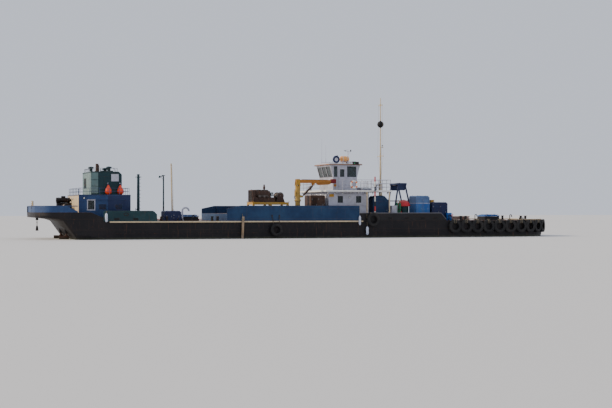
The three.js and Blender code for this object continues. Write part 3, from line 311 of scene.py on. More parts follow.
class Effects:
    """The shader groups that several finishes share, each built once."""

    def __init__(self) -> None:
        """Builds the groups."""
        self.edges = self.edge_wear()
        self.weather = self.weathering()
        self.plating = self.plate_work()
        self.tide = self.tide_mark()

    def edge_wear(self) -> bpy.types.NodeTree:
        """Marks sharp edges, broken up by noise.

        Returns:
            A group with a Vector and an Amount in, and a Mask out.
        """
        group = ShaderGroup("Edge Wear", ("Mask",), Vector=None, Amount=0.5)
        rounded = group.out("Bevel", samples=4, Radius=0.012)
        flat = group.out("NewGeometry", "Normal")
        match = group.out("VectorMath", "Value", operation="DOT_PRODUCT", i0=rounded, i1=flat)
        edge = group.ramp(1.0 - match, 0.01, 0.12)
        broken = group.ramp(group.noise(group["Vector"], 9.0, 6.0, 0.7), 0.42, 0.62)
        return group.give(Mask=edge * broken * group["Amount"])

    def weathering(self) -> bpy.types.NodeTree:
        """Fades paint in patches, streaks it with rust, chips its edges and dusts its tops.

        Returns:
            A group that puts out Color, Roughness and Height.
        """
        group = ShaderGroup("Weathered Paint", ("Color", "Roughness", "Height"), Vector=None, Paint=(
            0.5, 0.5, 0.5), Faded=(0.6, 0.6, 0.6), Rust=0.3, Streaks=0.3, Dust=0.2, Wear=0.5, Gloss=0.5)
        vector = group["Vector"]
        slope = group.split(group.out("NewGeometry", "Normal"))[2]
        upward = group.ramp(slope, 0.55, 0.95)
        upright = 1.0 - group.ramp(abs(slope), 0.2, 0.7)
        patches = group.ramp(group.noise(vector, 0.9, 5.0, 0.6), 0.4, 0.68)
        colour = group.mix(patches, group["Paint"], group["Faded"])
        mottle = group.ramp(group.noise(vector, 7.0, 6.0, 0.65), 0.3, 0.75) * 0.28
        colour = group.mix(mottle, colour, (0.25, 0.22, 0.2), "MULTIPLY")
        runs = group.noise(group.stretch(vector, (9.0, 9.0, 0.7)), 1.6, 5.0, 0.6)
        start = 0.78 - group["Streaks"] * 0.3
        streak = group.ramp(runs, start, start + 0.16) * upright * 0.6
        colour = group.mix(streak, colour, (0.16, 0.065, 0.03))
        floor = 0.8 - group["Rust"] * 0.33
        spot = group.ramp(group.noise(vector, 13.0, 8.0, 0.7), floor, floor + 0.06)
        edge = group.out("Group", node_tree=self.edges, Vector=vector, Amount=group["Wear"])
        rusty = group.math("MAXIMUM", spot, edge)
        tone = group.mix(group.noise(vector, 40.0, 3.0), (0.09, 0.032, 0.014), (0.27, 0.10, 0.035))
        colour = group.mix(rusty, colour, tone)
        dusty = upward * group["Dust"] * group.ramp(group.noise(vector, 2.3, 5.0), 0.3, 0.7)
        colour = group.mix(dusty, colour, (0.36, 0.32, 0.27))
        grain = group.noise(vector, 60.0, 3.0, 0.6)
        rough = group["Gloss"] + grain * 0.12 + (rusty + dusty) * 0.3
        height = grain * 0.12 + rusty * -0.5 + streak * 0.1
        return group.give(Color=colour, Roughness=group.math("MINIMUM", rough, 0.95), Height=height)

    def plate_work(self) -> bpy.types.NodeTree:
        """Welded plates: seams on a staggered grid, and dents between frames.

        Returns:
            A group that puts out Height and a Seam mask.
        """
        group = ShaderGroup("Welded Plates", ("Height", "Seam"), Vector=None, Width=1.5, Row=0.45, Dents=0.5)
        x, y, z = group.split(group["Vector"])
        across = x + y * 0.6
        plan = group.out("CombineXYZ", X=across, Y=z)
        seam = group.out("TexBrick", "Fac", Vector=plan, Scale=1.0, Mortar_Size=0.006, Mortar_Smooth=0.6,
                         Brick_Width=group["Width"], Row_Height=group["Row"])
        wave = group.math("SINE", across * (2 * math.pi / 0.3))
        uneven = group.noise(group.stretch(group["Vector"], (1.0, 1.0, 2.2)), 1.7, 3.0)
        dent = (wave * 0.25 + uneven * 2.2) * group["Dents"]
        return group.give(Height=seam * 0.5 + dent, Seam=seam)

    def tide_mark(self) -> bpy.types.NodeTree:
        """Scum at the water's surface and bottom paint under it.

        Returns:
            A group that takes Vector, Color, Bottom and Level, and puts out Color and Wet.
        """
        group = ShaderGroup("Tide Mark", ("Color", "Wet"), Vector=None, Color=(0.1, 0.1, 0.1),
                            Bottom=(0.12, 0.05, 0.04), Level=WATER * SCALE)
        vector = group["Vector"]
        ragged = group.noise(group.stretch(vector, (1.0, 1.0, 0.3)), 5.0, 6.0) * 0.1
        level = group.split(vector)[2] - group["Level"] - ragged
        band = group.ramp(level, 0.06, -0.03)
        colour = group.mix(band * 0.75, group["Color"], (0.055, 0.06, 0.035))
        colour = group.mix(group.ramp(level, -0.04, -0.07), colour, group["Bottom"])
        return group.give(Color=colour, Wet=band)


class MaterialGraph(Graph):
    """A material's tree, with its Principled shader and object coordinates."""

    def __init__(self, name: str) -> None:
        """Makes the material.

        Args:
            name: the material's name.
        """
        self.material = bpy.data.materials.new(name)
        self.material.use_nodes = True
        super().__init__(self.material.node_tree)
        self.vector = self.out("TexCoord", "Object")

    def finish(self, colour: Wire, rough: Optional[Wire] = None, height: Optional[Wire] = None,
               bump: tuple[float, float] = (0.0, 0.0), **values: float) -> bpy.types.Material:
        """Feeds the shader.

        Args:
            colour: its colour.
            rough: its roughness.
            height: what its bump follows.
            bump: the bump's strength and distance.
            **values: other inputs of the shader, with _ for a space.

        Returns:
            The material.
        """
        inputs = self.tree.nodes["Principled BSDF"].inputs
        inputs["Specular IOR Level"].default_value = 0.3
        self.link(colour, inputs["Base Color"])
        if rough is not None:
            self.link(rough, inputs["Roughness"])
        if height is not None:
            self.link(self.out("Bump", Height=height, Strength=bump[0], Distance=bump[1]), inputs["Normal"])
        for label, value in values.items():
            inputs[label.replace("_", " ")].default_value = value
        return self.material


# Finishes


class Extra(Enum):
    """What a paint carries besides its weathering."""

    PLAIN = "plain"
    PLATES = "welded plates"
    HULL = "welded plates and the tide mark"
    TIDE = "tide mark"
    BANDS = "painted bands"


@dataclass(frozen=True)
class Paint:
    """Paint on steel, with its age."""

    name: str
    slot: str
    base: Colour
    faded: Colour
    gloss: float = 0.42
    rust: float = 0.3
    streaks: float = 0.3
    dust: float = 0.25
    wear: float = 0.6
    bump: float = 0.25
    extra: Extra = Extra.PLAIN
    bands: tuple[Colour, ...] = ()
    band_span: tuple[float, float] = (0.0, 1.0)

    def build(self, effects: Effects) -> bpy.types.Material:
        """Builds the material.

        Args:
            effects: the shared shader groups.

        Returns:
            The material.
        """
        graph = MaterialGraph(self.name)
        banded = self.banding(graph) if self.extra is Extra.BANDS else None
        aged = graph.node("Group", node_tree=effects.weather, Vector=graph.vector, Paint=banded or self.base,
                          Faded=banded or self.faded, Rust=self.rust, Streaks=self.streaks, Dust=self.dust,
                          Wear=self.wear, Gloss=self.gloss)
        colour, rough, height = (Wire(graph, aged.outputs[label])
                                 for label in ("Color", "Roughness", "Height"))
        if self.extra in (Extra.PLATES, Extra.HULL):
            dents = 0.55 if self.extra is Extra.HULL else 0.3
            plates = graph.node("Group", node_tree=effects.plating, Vector=graph.vector, Dents=dents)
            height = height + plates.outputs["Height"]
            colour = graph.mix(Wire(graph, plates.outputs["Seam"]) * 0.35, colour, (0.10, 0.05, 0.03))
        if self.extra in (Extra.HULL, Extra.TIDE):
            colour = graph.out("Group", "Color", node_tree=effects.tide, Vector=graph.vector, Color=colour)
        return graph.finish(colour, rough, height, (self.bump, 0.02))

    def banding(self, graph: MaterialGraph) -> Wire:
        """Paints level bands between the two heights.

        Args:
            graph: the material's graph.

        Returns:
            The bands' colour.
        """
        low, high = (value * SCALE for value in self.band_span)
        share = graph.out("MapRange", "Result", Value=graph.split(graph.vector)[2], From_Min=low,
                          From_Max=high)
        node = graph.node("ValToRGB", Fac=share)
        node.color_ramp.interpolation = "CONSTANT"
        elements = node.color_ramp.elements
        for i, colour in enumerate(self.bands):
            start = i / len(self.bands)
            stop = elements[i] if i < len(elements) else elements.new(start)
            stop.position = start
            stop.color = (*colour, 1.0)
        return Wire(graph, node.outputs[0])


@dataclass(frozen=True)
class Rubber:
    """Old rubber: grey bloom, fine cracks and mud near the water."""

    name: str = "tyre_rubber"
    slot: str = "rubber"
    base: Colour = (0.009, 0.009, 0.010)
    bloom: Colour = (0.036, 0.032, 0.03)
    mud: Colour = (0.03, 0.03, 0.022)

    def build(self, effects: Effects) -> bpy.types.Material:
        """Builds the material from the shared groups.

        Args:
            effects: the shared shader groups.

        Returns:
            The material.
        """
        graph = MaterialGraph(self.name)
        patch = graph.ramp(graph.noise(graph.vector, 3.5, 6.0, 0.65), 0.35, 0.75)
        colour = graph.out("Group", "Color", node_tree=effects.tide, Vector=graph.vector,
                           Color=graph.mix(patch, self.base, self.bloom), Bottom=self.mud)
        cracks = graph.out("TexVoronoi", "Distance", Vector=graph.vector, Scale=28.0,
                           feature="DISTANCE_TO_EDGE")
        height = graph.ramp(cracks, 0.0, 0.08) + graph.noise(graph.vector, 70.0, 3.0)
        return graph.finish(colour, 0.62 + patch * 0.25, height, (0.35, 0.006))


@dataclass(frozen=True)
class Metal:
    """Bare or oily metal."""

    name: str
    slot: str
    base: Colour
    dark: Colour
    rough: float = 0.35
    grain: tuple[float, float, float] = (40.0, 40.0, 40.0)

    def build(self, effects: Effects) -> bpy.types.Material:
        """Builds the material, which needs none of the effects.

        Args:
            effects: the shared shader groups, which it doesn't use.

        Returns:
            The material.
        """
        graph = MaterialGraph(self.name)
        lines = graph.noise(graph.stretch(graph.vector, self.grain), 1.0, 5.0)
        stain = graph.ramp(graph.noise(graph.vector, 6.0, 6.0, 0.6), 0.42, 0.72)
        colour = graph.mix(lines * 0.25, graph.mix(stain, self.base, self.dark), self.dark)
        return graph.finish(colour, self.rough + stain * 0.3, lines, (0.15, 0.004), Metallic=0.9)


@dataclass(frozen=True)
class Timber:
    """Weathered wood with its grain along one axis, in planks where their width is given."""

    name: str
    slot: str
    base: Colour
    dark: Colour
    along: tuple[float, float, float] = (1.0, 12.0, 12.0)
    plank: float = 0.0

    def build(self, effects: Effects) -> bpy.types.Material:
        """Builds the material, which needs none of the effects.

        Args:
            effects: the shared shader groups, which it doesn't use.

        Returns:
            The material.
        """
        graph = MaterialGraph(self.name)
        grain = height = graph.noise(graph.stretch(graph.vector, self.along), 3.0, 8.0, 0.65)
        grey = graph.ramp(graph.noise(graph.vector, 2.0, 4.0), 0.35, 0.7)
        colour = graph.mix(graph.ramp(grain, 0.35, 0.7), self.base, self.dark)
        colour = graph.mix(grey * 0.4, colour, (0.30, 0.28, 0.26))
        if self.plank:
            share = graph.math("FRACT", graph.split(graph.vector)[1] / (self.plank * SCALE))
            gap = graph.ramp(abs(share - 0.5), 0.46, 0.49)
            colour = graph.mix(gap, colour, (0.03, 0.025, 0.02))
            height = height - gap * 1.5
        return graph.finish(colour, 0.6 + grain * 0.3, height, (0.4, 0.006))


@dataclass(frozen=True)
class Glazing:
    """Window glass with rain marks."""

    name: str = "window_glass"
    slot: str = "white"

    def build(self, effects: Effects) -> bpy.types.Material:
        """Builds the material, which needs none of the effects.

        Args:
            effects: the shared shader groups, which it doesn't use.

        Returns:
            The material.
        """
        graph = MaterialGraph(self.name)
        runs = graph.ramp(graph.noise(graph.stretch(graph.vector, (14.0, 14.0, 1.6)), 1.5, 5.0), 0.5, 0.8)
        colour = graph.mix(runs, (0.16, 0.20, 0.21), (0.2, 0.2, 0.18))
        return graph.finish(colour, 0.04 + runs * 0.22, Transmission_Weight=0.82, IOR=1.3)


@dataclass(frozen=True)
class Skin:
    """A moulded or spun surface: vinyl, plastic, rubber or rope."""

    name: str
    slot: str
    base: Colour
    dark: Colour
    rough: float = 0.5
    weave: float = 0.0
    coat: float = 0.0

    def build(self, effects: Effects) -> bpy.types.Material:
        """Builds the material, which needs none of the effects.

        Args:
            effects: the shared shader groups, which it doesn't use.

        Returns:
            The material.
        """
        graph = MaterialGraph(self.name)
        dirt = graph.ramp(graph.noise(graph.vector, 4.0, 6.0, 0.6), 0.45, 0.8)
        colour = graph.mix(dirt * 0.55, self.base, self.dark)
        if self.weave:
            height = graph.out("TexWave", 1, Vector=graph.vector, Scale=self.weave,
                               bands_direction="DIAGONAL", Distortion=0.4)
            colour = graph.mix(height * 0.3, self.dark, colour)
        else:
            height = graph.noise(graph.vector, 50.0, 3.0)
        return graph.finish(colour, self.rough + dirt * 0.25, height, (0.3, 0.003), Coat_Weight=self.coat)


Finish = Paint | Rubber | Metal | Timber | Glazing | Skin

BLACK = Paint("hull_paint", "hull_black", (0.006, 0.005, 0.007), (0.015, 0.011, 0.012), 0.5, 0.45, 0.6, 0.12,
              0.6, 0.35, Extra.HULL)
DARK = Paint("black_paint", "hull_black", (0.009, 0.008, 0.010), (0.02, 0.018, 0.02), 0.45, 0.4, 0.4)
DECK = Paint("deck_paint", "hull_black", (0.085, 0.04, 0.032), (0.108, 0.06, 0.046), 0.6, 0.5, 0.2, 0.22, 0.7,
             0.25)
BLUE = Paint("blue_paint", "blue", (0.004, 0.028, 0.09), (0.012, 0.05, 0.125), 0.42, 0.32, 0.5, 0.2, 0.7, 0.3,
             Extra.PLATES)
HOUSE_BLUE = Paint("house_blue_paint", "blue", (0.015, 0.045, 0.14), (0.034, 0.08, 0.19), 0.42, 0.3, 0.45,
                   0.25)
TEAL = Paint("teal_paint", "teal", (0.004, 0.032, 0.042), (0.012, 0.055, 0.064), 0.42, 0.34, 0.5, 0.2, 0.7,
             0.3, Extra.PLATES)
PALE_BLUE = Paint("pale_blue_paint", "pale_blue", (0.075, 0.15, 0.33), (0.125, 0.21, 0.38), 0.4, 0.25, 0.4)
# Light teal: painted sunlight on the casing's aft wall, and the colour of the aft panels on the casing's
# sides.
LIGHT_TEAL = Paint("light_teal_paint", "teal", (0.12, 0.20, 0.20), (0.19, 0.27, 0.26), 0.42, 0.34, 0.5)
GREEN = Paint("gas_bottle_green", "teal", (0.015, 0.13, 0.055), (0.04, 0.18, 0.09), 0.4, 0.25, 0.3)
RAIL_GREY = Paint("rail_paint", "hull_black", (0.14, 0.14, 0.165), (0.2, 0.195, 0.205), 0.45, 0.4, 0.3)
BRIGHT_BLUE = Paint("hatch_blue_paint", "pale_blue", (0.015, 0.10, 0.36), (0.04, 0.16, 0.42), 0.4, 0.3, 0.3)
NAVY = Paint("navy_paint", "navy", (0.007, 0.017, 0.075), (0.017, 0.034, 0.1), 0.42, 0.3, 0.4)
WHITE = Paint("white_paint", "white", (0.52, 0.53, 0.62), (0.42, 0.42, 0.46), 0.38, 0.22, 0.42, 0.15, 0.5,
              0.15)
CREAM = Paint("cream_paint", "cream", (0.68, 0.54, 0.34), (0.56, 0.46, 0.31), 0.4, 0.3, 0.4, 0.15, 0.6, 0.2)
ORANGE = Paint("orange_paint", "orange", (0.46, 0.17, 0.02), (0.42, 0.21, 0.06), 0.4, 0.35, 0.4, 0.2)
YELLOW = Paint("yellow_paint", "yellow", (0.50, 0.27, 0.03), (0.45, 0.3, 0.08), 0.4, 0.38, 0.45, 0.2)
RED = Paint("red_paint", "vent_red", (0.58, 0.012, 0.03), (0.5, 0.04, 0.045), 0.3, 0.15, 0.2)
TIP_RED = Paint("jib_tip_paint", "orange", (0.2, 0.008, 0.012), (0.2, 0.03, 0.03), 0.35, 0.25, 0.2)
BROWN = Paint("machine_paint", "brown", (0.05, 0.025, 0.018), (0.09, 0.05, 0.034), 0.5, 0.6, 0.4, 0.3, 0.9,
              0.4)
WET_BROWN = Paint("rudder_paint", "brown", (0.085, 0.045, 0.034), (0.13, 0.07, 0.05), 0.5, 0.6, 0.4, 0.3, 0.9,
                  0.4, Extra.TIDE)
BANDED = Paint("gauge_bands", "white", WHITE.base, WHITE.faded, 0.42, 0.25, 0.3, 0.1, 0.5, 0.2, Extra.BANDS,
               ((0.68, 0.66, 0.6), (0.5, 0.04, 0.03), (0.02, 0.02, 0.022), (0.68, 0.66, 0.6),
                (0.5, 0.04, 0.03), (0.02, 0.02, 0.022), (0.68, 0.66, 0.6), (0.5, 0.04, 0.03)), (2.9, 6.42))
RUBBER = Rubber()
STEEL = Metal("polished_steel", "steel", (0.62, 0.63, 0.65), (0.25, 0.24, 0.23), 0.18, (6.0, 90.0, 90.0))
IRON = Metal("oily_iron", "brown", (0.14, 0.12, 0.11), (0.05, 0.035, 0.028), 0.45)
WIRE = Metal("wire_rope", "brown", (0.22, 0.19, 0.17), (0.07, 0.045, 0.03), 0.5, (160.0, 160.0, 160.0))
BRONZE = Metal("propeller_bronze", "bronze", (0.50, 0.34, 0.15), (0.16, 0.15, 0.08), 0.3)
BRASS = Metal("brass_fittings", "bronze", (0.66, 0.47, 0.18), (0.3, 0.2, 0.08), 0.25)
LOG_WOOD = Timber("log_wood", "wood", (0.40, 0.27, 0.15), (0.2, 0.13, 0.08), (9.0, 9.0, 0.8))
PLANK = Timber("deck_planks", "wood", (0.33, 0.24, 0.15), (0.2, 0.14, 0.09), (0.8, 10.0, 10.0), 0.14)
DUNNAGE = Timber("dunnage_timber", "wood", (0.36, 0.20, 0.15), (0.2, 0.11, 0.08), (0.9, 10.0, 10.0))
VARNISH = Timber("varnished_wood", "wood", (0.3, 0.13, 0.05), (0.18, 0.075, 0.03), (1.0, 9.0, 9.0))
GLASS = Glazing()
BUOY = Skin("fender_vinyl", "fender_red", (0.8, 0.07, 0.02), (0.45, 0.04, 0.02), 0.38, 0.0, 0.25)
ROPE = Skin("rope_fibre", "wood", (0.55, 0.47, 0.33), (0.22, 0.18, 0.12), 0.8, 46.0)
# Black skin of the day ball; it also fills freeing ports, grilles and louvres as black panels of painted
# shade.
DAY_SHAPE_AND_SHADE_BLACK = Skin("day_shape_black", "day_shape", (0.006, 0.006, 0.007), (0.02, 0.019, 0.018), 0.65)
BUOY_ORANGE = Skin("lifebuoy_orange", "orange", (0.85, 0.20, 0.03), (0.4, 0.12, 0.04), 0.45)
BUOY_WHITE = Skin("lifebuoy_white", "white", (0.8, 0.8, 0.78), (0.4, 0.38, 0.34), 0.45)
PALE_VINYL = Skin("pale_vinyl", "white", (0.62, 0.66, 0.78), (0.4, 0.42, 0.5), 0.42)
CANISTER = Skin("raft_canister", "orange", (0.85, 0.40, 0.12), (0.5, 0.24, 0.08), 0.4)
LENS_CLEAR = Skin("lamp_lens", "white", (0.82, 0.83, 0.8), (0.5, 0.5, 0.45), 0.12, 0.0, 0.6)
LENS_RED = Skin("port_lens", "vent_red", (0.6, 0.02, 0.02), (0.3, 0.02, 0.02), 0.12, 0.0, 0.6)
LENS_GREEN = Skin("starboard_lens", "teal", (0.02, 0.35, 0.12), (0.02, 0.2, 0.08), 0.12, 0.0, 0.6)
SEAL = Skin("seal_rubber", "rubber", (0.02, 0.02, 0.02), (0.06, 0.055, 0.05), 0.55)


class Palette:
    """Builds each finish's material when it is first asked for."""

    def __init__(self) -> None:
        """Starts with no material."""
        self.effects = Effects()
        self.made: dict[str, bpy.types.Material] = {}

    def material(self, finish: Finish) -> bpy.types.Material:
        """Gives the finish's material.

        Args:
            finish: the finish, whose material is built when it is first asked for.

        Returns:
            The material.
        """
        if finish.name not in self.made:
            self.made[finish.name] = finish.build(self.effects)
        return self.made[finish.name]

    def dress(self, mesh: bpy.types.Mesh, finishes: Sequence[Finish], angle: float) -> bpy.types.Object:
        """Gives a mesh its materials and makes it an object of its name.

        Args:
            mesh: the mesh.
            finishes: its finishes, in the order of its material numbers.
            angle: edges sharper than this stay sharp, in degrees.

        Returns:
            The object, in the scene.
        """
        for finish in finishes:
            mesh.materials.append(self.material(finish))
        smooth(mesh, angle)
        return linked(mesh)


def linked(data: bpy.types.ID) -> bpy.types.Object:
    """Puts a mesh, a lamp or a lens into the scene as an object of its name.

    Args:
        data: what the object holds.

    Returns:
        The object.
    """
    made = bpy.data.objects.new(data.name, data)
    bpy.context.scene.collection.objects.link(made)
    return made


# Meshes


def turns(count: int, phase: float = 0.0) -> list[float]:
    """Gives as many angles evenly round a circle, from a phase on, in radians."""
    return [2 * math.pi * k / count + phase for k in range(count)]


def turn_to(axis: Point) -> Quaternion:
    """Gives the turn that points +Z along an axis."""
    return Vector(axis).normalized().to_track_quat("Z", "Y")


class Shape:
    """Collects closed solids in full-size metres, and becomes one object."""

    def __init__(self, name: str, finish: Finish) -> None:
        """Starts empty.

        Args:
            name: the object's name.
            finish: the finish of the first solids.
        """
        self.name = name
        self.points: list[Vector] = []
        self.faces: list[tuple[int, ...]] = []
        self.tags: list[int] = []
        self.finishes: list[Finish] = [finish]
        self.tag = 0

    def use(self, finish: Finish) -> "Shape":
        """Gives the next solids another finish.

        Args:
            finish: the finish of what is added from here on.

        Returns:
            The shape.
        """
        if finish not in self.finishes:
            self.finishes.append(finish)
        self.tag = self.finishes.index(finish)
        return self

    def add(self, points: Iterable[Point], faces: Iterable[Sequence[int]]) -> "Shape":
        """Adds a solid.

        Args:
            points: its corners.
            faces: its faces, by corner number.

        Returns:
            The shape.
        """
        start = len(self.points)
        self.points.extend(Vector(p) for p in points)
        for face in faces:
            self.faces.append(tuple(start + i for i in face))
            self.tags.append(self.tag)
        return self

    def loft(self, rings: Sequence[Sequence[Point]], around: bool = False) -> "Shape":
        """Joins rings of as many points each.

        Args:
            rings: the sections, in order.
            around: whether the last ring joins the first, instead of a cap at each end.

        Returns:
            The shape.
        """
        count = len(rings[0])
        faces: list[Sequence[int]] = []
        pairs = len(rings) if around else len(rings) - 1
        for r in range(pairs):
            low, high = r * count, ((r + 1) % len(rings)) * count
            faces += [(low + k, low + (k + 1) % count, high + (k + 1) % count, high + k)
                      for k in range(count)]
        if not around:
            last = (len(rings) - 1) * count
            faces += [tuple(reversed(range(count))), tuple(range(last, last + count))]
        return self.add([p for ring in rings for p in ring], faces)

    def block(self, xs: Point, ys: Point, zs: Point) -> "Shape":
        """Adds a box between pairs of stations, offsets and heights, each in any order."""
        (y0, y1), (z0, z1) = sorted(ys), sorted(zs)
        return self.bar([(x, (y0, y1), (z0, z1)) for x in sorted(xs)])

    def bar(self, sections: Iterable[tuple[float, Point, Point]]) -> "Shape":
        """Adds a square bar along the ship, by each section's station, offsets and heights."""
        return self.loft([[(x, y0, z0), (x, y1, z0), (x, y1, z1), (x, y0, z1)]
                          for x, (y0, y1), (z0, z1) in sections])

    def plate(self, axis: int, ends: Point, outline: Sequence[Point]) -> "Shape":
        """Adds a flat plate with any outline.

        Args:
            axis: the axis across it, 0 along the ship, 1 to port or 2 up.
            ends: where its two faces lie on that axis.
            outline: its corners, by the two other axes.

        Returns:
            The shape.
        """
        return self.loft([[(*corner[:axis], end, *corner[axis:]) for corner in outline] for end in ends])

    def panel(self, centre: Point, across: Point, up: Point, size: Point) -> "Shape":
        """Adds a box turned to a face.

        Args:
            centre: its middle.
            across: its width's direction.
            up: its height's direction.
            size: width, height and depth.

        Returns:
            The shape.
        """
        u, v = Vector(across).normalized(), Vector(up).normalized()
        n = u.cross(v).normalized()
        c = Vector(centre)
        corners = ((-1, -1), (1, -1), (1, 1), (-1, 1))
        rings = [[c + u * (a * size[0] / 2) + v * (b * size[1] / 2) + n * (d * size[2] / 2) for a,
                  b in corners] for d in (-1, 1)]
        return self.loft(rings)

    def border(self, centre: Point, across: Point, up: Point, size: Point, width: float,
               depth: float) -> "Shape":
        """Adds four bars round an opening.

        Args:
            centre: the opening's middle.
            across: its width's direction.
            up: its height's direction.
            size: the opening's width and height.
            width: the bars' width.
            depth: the bars' depth.

        Returns:
            The shape.
        """
        u, v, c = Vector(across).normalized(), Vector(up).normalized(), Vector(centre)
        for sign in (-1, 1):
            self.panel(c + u * (sign * (size[0] + width) / 2), u, v, (width, size[1] + 2 * width, depth))
            self.panel(c + v * (sign * (size[1] + width) / 2), u, v, (size[0] - 0.002, width, depth * 0.98))
        return self

    def tube(self, path: Sequence[Point], radius: float, sides: int = 10, end: Optional[float] = None,
             closed: bool = False) -> "Shape":
        """Sweeps a circle along a path.

        Args:
            path: the path's points.
            radius: the radius at its start.
            sides: sides of the circle.
            end: the radius at its end, if another.
            closed: whether the path closes on itself.

        Returns:
            The shape.
        """
        points = [Vector(p) for p in path]
        last = len(points) - 1
        rings = []
        frame: Optional[Quaternion] = None
        for i, point in enumerate(points):
            before = points[i - 1] if i or closed else point
            after = points[(i + 1) % len(points)] if i < last or closed else point
            along = (after - before).normalized()
            if frame is None:
                frame = turn_to(along)
            else:
                frame = (frame @ Vector((0, 0, 1))).rotation_difference(along) @ frame
            share = i / last if last else 0.0
            r = radius + ((radius if end is None else end) - radius) * share
            rings.append([point + frame @ Vector((r * math.cos(t), r * math.sin(t), 0))
                          for t in turns(sides)])
        return self.loft(rings, around=closed)

    def turned(self, profile: Sequence[Point], origin: Point, axis: Point = (0, 0, 1),
               sides: int = 24) -> "Shape":
        """Turns a profile about an axis.

        Args:
            profile: radius and height of each point, open or closed on itself.
            origin: where the axis starts.
            axis: the axis.
            sides: sides of the turned solid.

        Returns:
            The shape.
        """
        turn, foot = turn_to(axis), Vector(origin)
        hollow = tuple(profile[0]) == tuple(profile[-1])
        line = profile[:-1] if hollow else profile
        rings = []
        for r, h in line:
            rings.append([foot + turn @ Vector((r * math.cos(t), r * math.sin(t), h)) for t in turns(sides)])
        return self.loft(rings, around=hollow)

    def ball(self, centre: Point, radius: float, sides: int) -> "Shape":
        """Adds a ball.

        Args:
            centre: its middle.
            radius: its radius.
            sides: sides round its middle.

        Returns:
            The shape.
        """
        angles = [math.pi * i / (sides // 2) for i in range(sides // 2 + 1)]
        profile = [(max(0.001, radius * math.sin(t)), -radius * math.cos(t)) for t in angles]
        return self.turned(profile, centre, sides=sides)

    def hoop(self, centre: Point, axis: Point, radius: float, thick: float, sides: int,
             section: int) -> "Shape":
        """Adds a ring of round section.

        Args:
            centre: the ring's middle.
            axis: the ring's axis.
            radius: the radius of the section's middle.
            thick: the section's radius.
            sides: sides of the ring.
            section: sides of its section.

        Returns:
            The shape.
        """
        turn, middle = turn_to(axis), Vector(centre)
        path = [middle + turn @ Vector((radius * math.cos(t), radius * math.sin(t), 0)) for t in turns(sides)]
        return self.tube(path, thick, section, closed=True)

    def object(self, palette: Palette, turn: Callable[[Point], Vector] = to_frame,
               angle: float = 35.0) -> bpy.types.Object:
        """Makes the object.

        Args:
            palette: the materials.
            turn: how a point becomes one in the frame.
            angle: edges sharper than this stay sharp, in degrees.

        Returns:
            The object, in the scene.
        """
        mesh = bpy.data.meshes.new(self.name)
        mesh.from_pydata([turn(p) for p in self.points], [], self.faces)
        mesh.polygons.foreach_set("material_index", self.tags)
        work = bmesh.new()
        work.from_mesh(mesh)
        bmesh.ops.recalc_face_normals(work, faces=work.faces)
        work.to_mesh(mesh)
        work.free()
        return palette.dress(mesh, self.finishes, angle)


def smooth(mesh: bpy.types.Mesh, angle: float) -> None:
    """Shades a mesh smooth, apart from edges sharper than the angle in degrees.

    Args:
        mesh: the mesh to shade.
        angle: the least angle of a sharp edge.
    """
    mesh.polygons.foreach_set("use_smooth", [True] * len(mesh.polygons))
    mesh.set_sharp_from_angle(angle=math.radians(angle))
    mesh.update()


def arc(centre: Point, radius: float, start: float, end: float,
        steps: int) -> list[tuple[float, float, float]]:
    """Gives points on a level arc.

    Args:
        centre: its centre.
        radius: its radius.
        start: its first angle, in degrees from the X axis.
        end: its last angle.
        steps: how many steps it has.

    Returns:
        The points.
    """
    x, y, z = centre
    angles = [math.radians(start + (end - start) * i / steps) for i in range(steps + 1)]
    return [(x + radius * math.cos(t), y + radius * math.sin(t), z) for t in angles]


def ring(centre: Point, radius: float, count: int, phase: float = 0.0) -> list[tuple[float, float, float]]:
    """Gives points evenly on a level circle, from a phase on."""
    x, y, z = centre
    return [(x + radius * math.cos(t), y + radius * math.sin(t), z) for t in turns(count, phase)]


# Geometry Nodes


class Pattern(Enum):
    """How a tree of Geometry Nodes lays out what it makes."""

    RAILING = "a post at each point of the base line, and level rails along it"
    ROW = "copies of a shape evenly along the base line, each turned on by a twist"
    COIL = "a rope wound along each base point's stored axis"
    PLACED = "a copy of a shape at each base point, aimed along its stored axis and spun about it at random"
    UPRIGHT = "a copy of a shape at each base point, its +X along the stored vector and its +Z up"


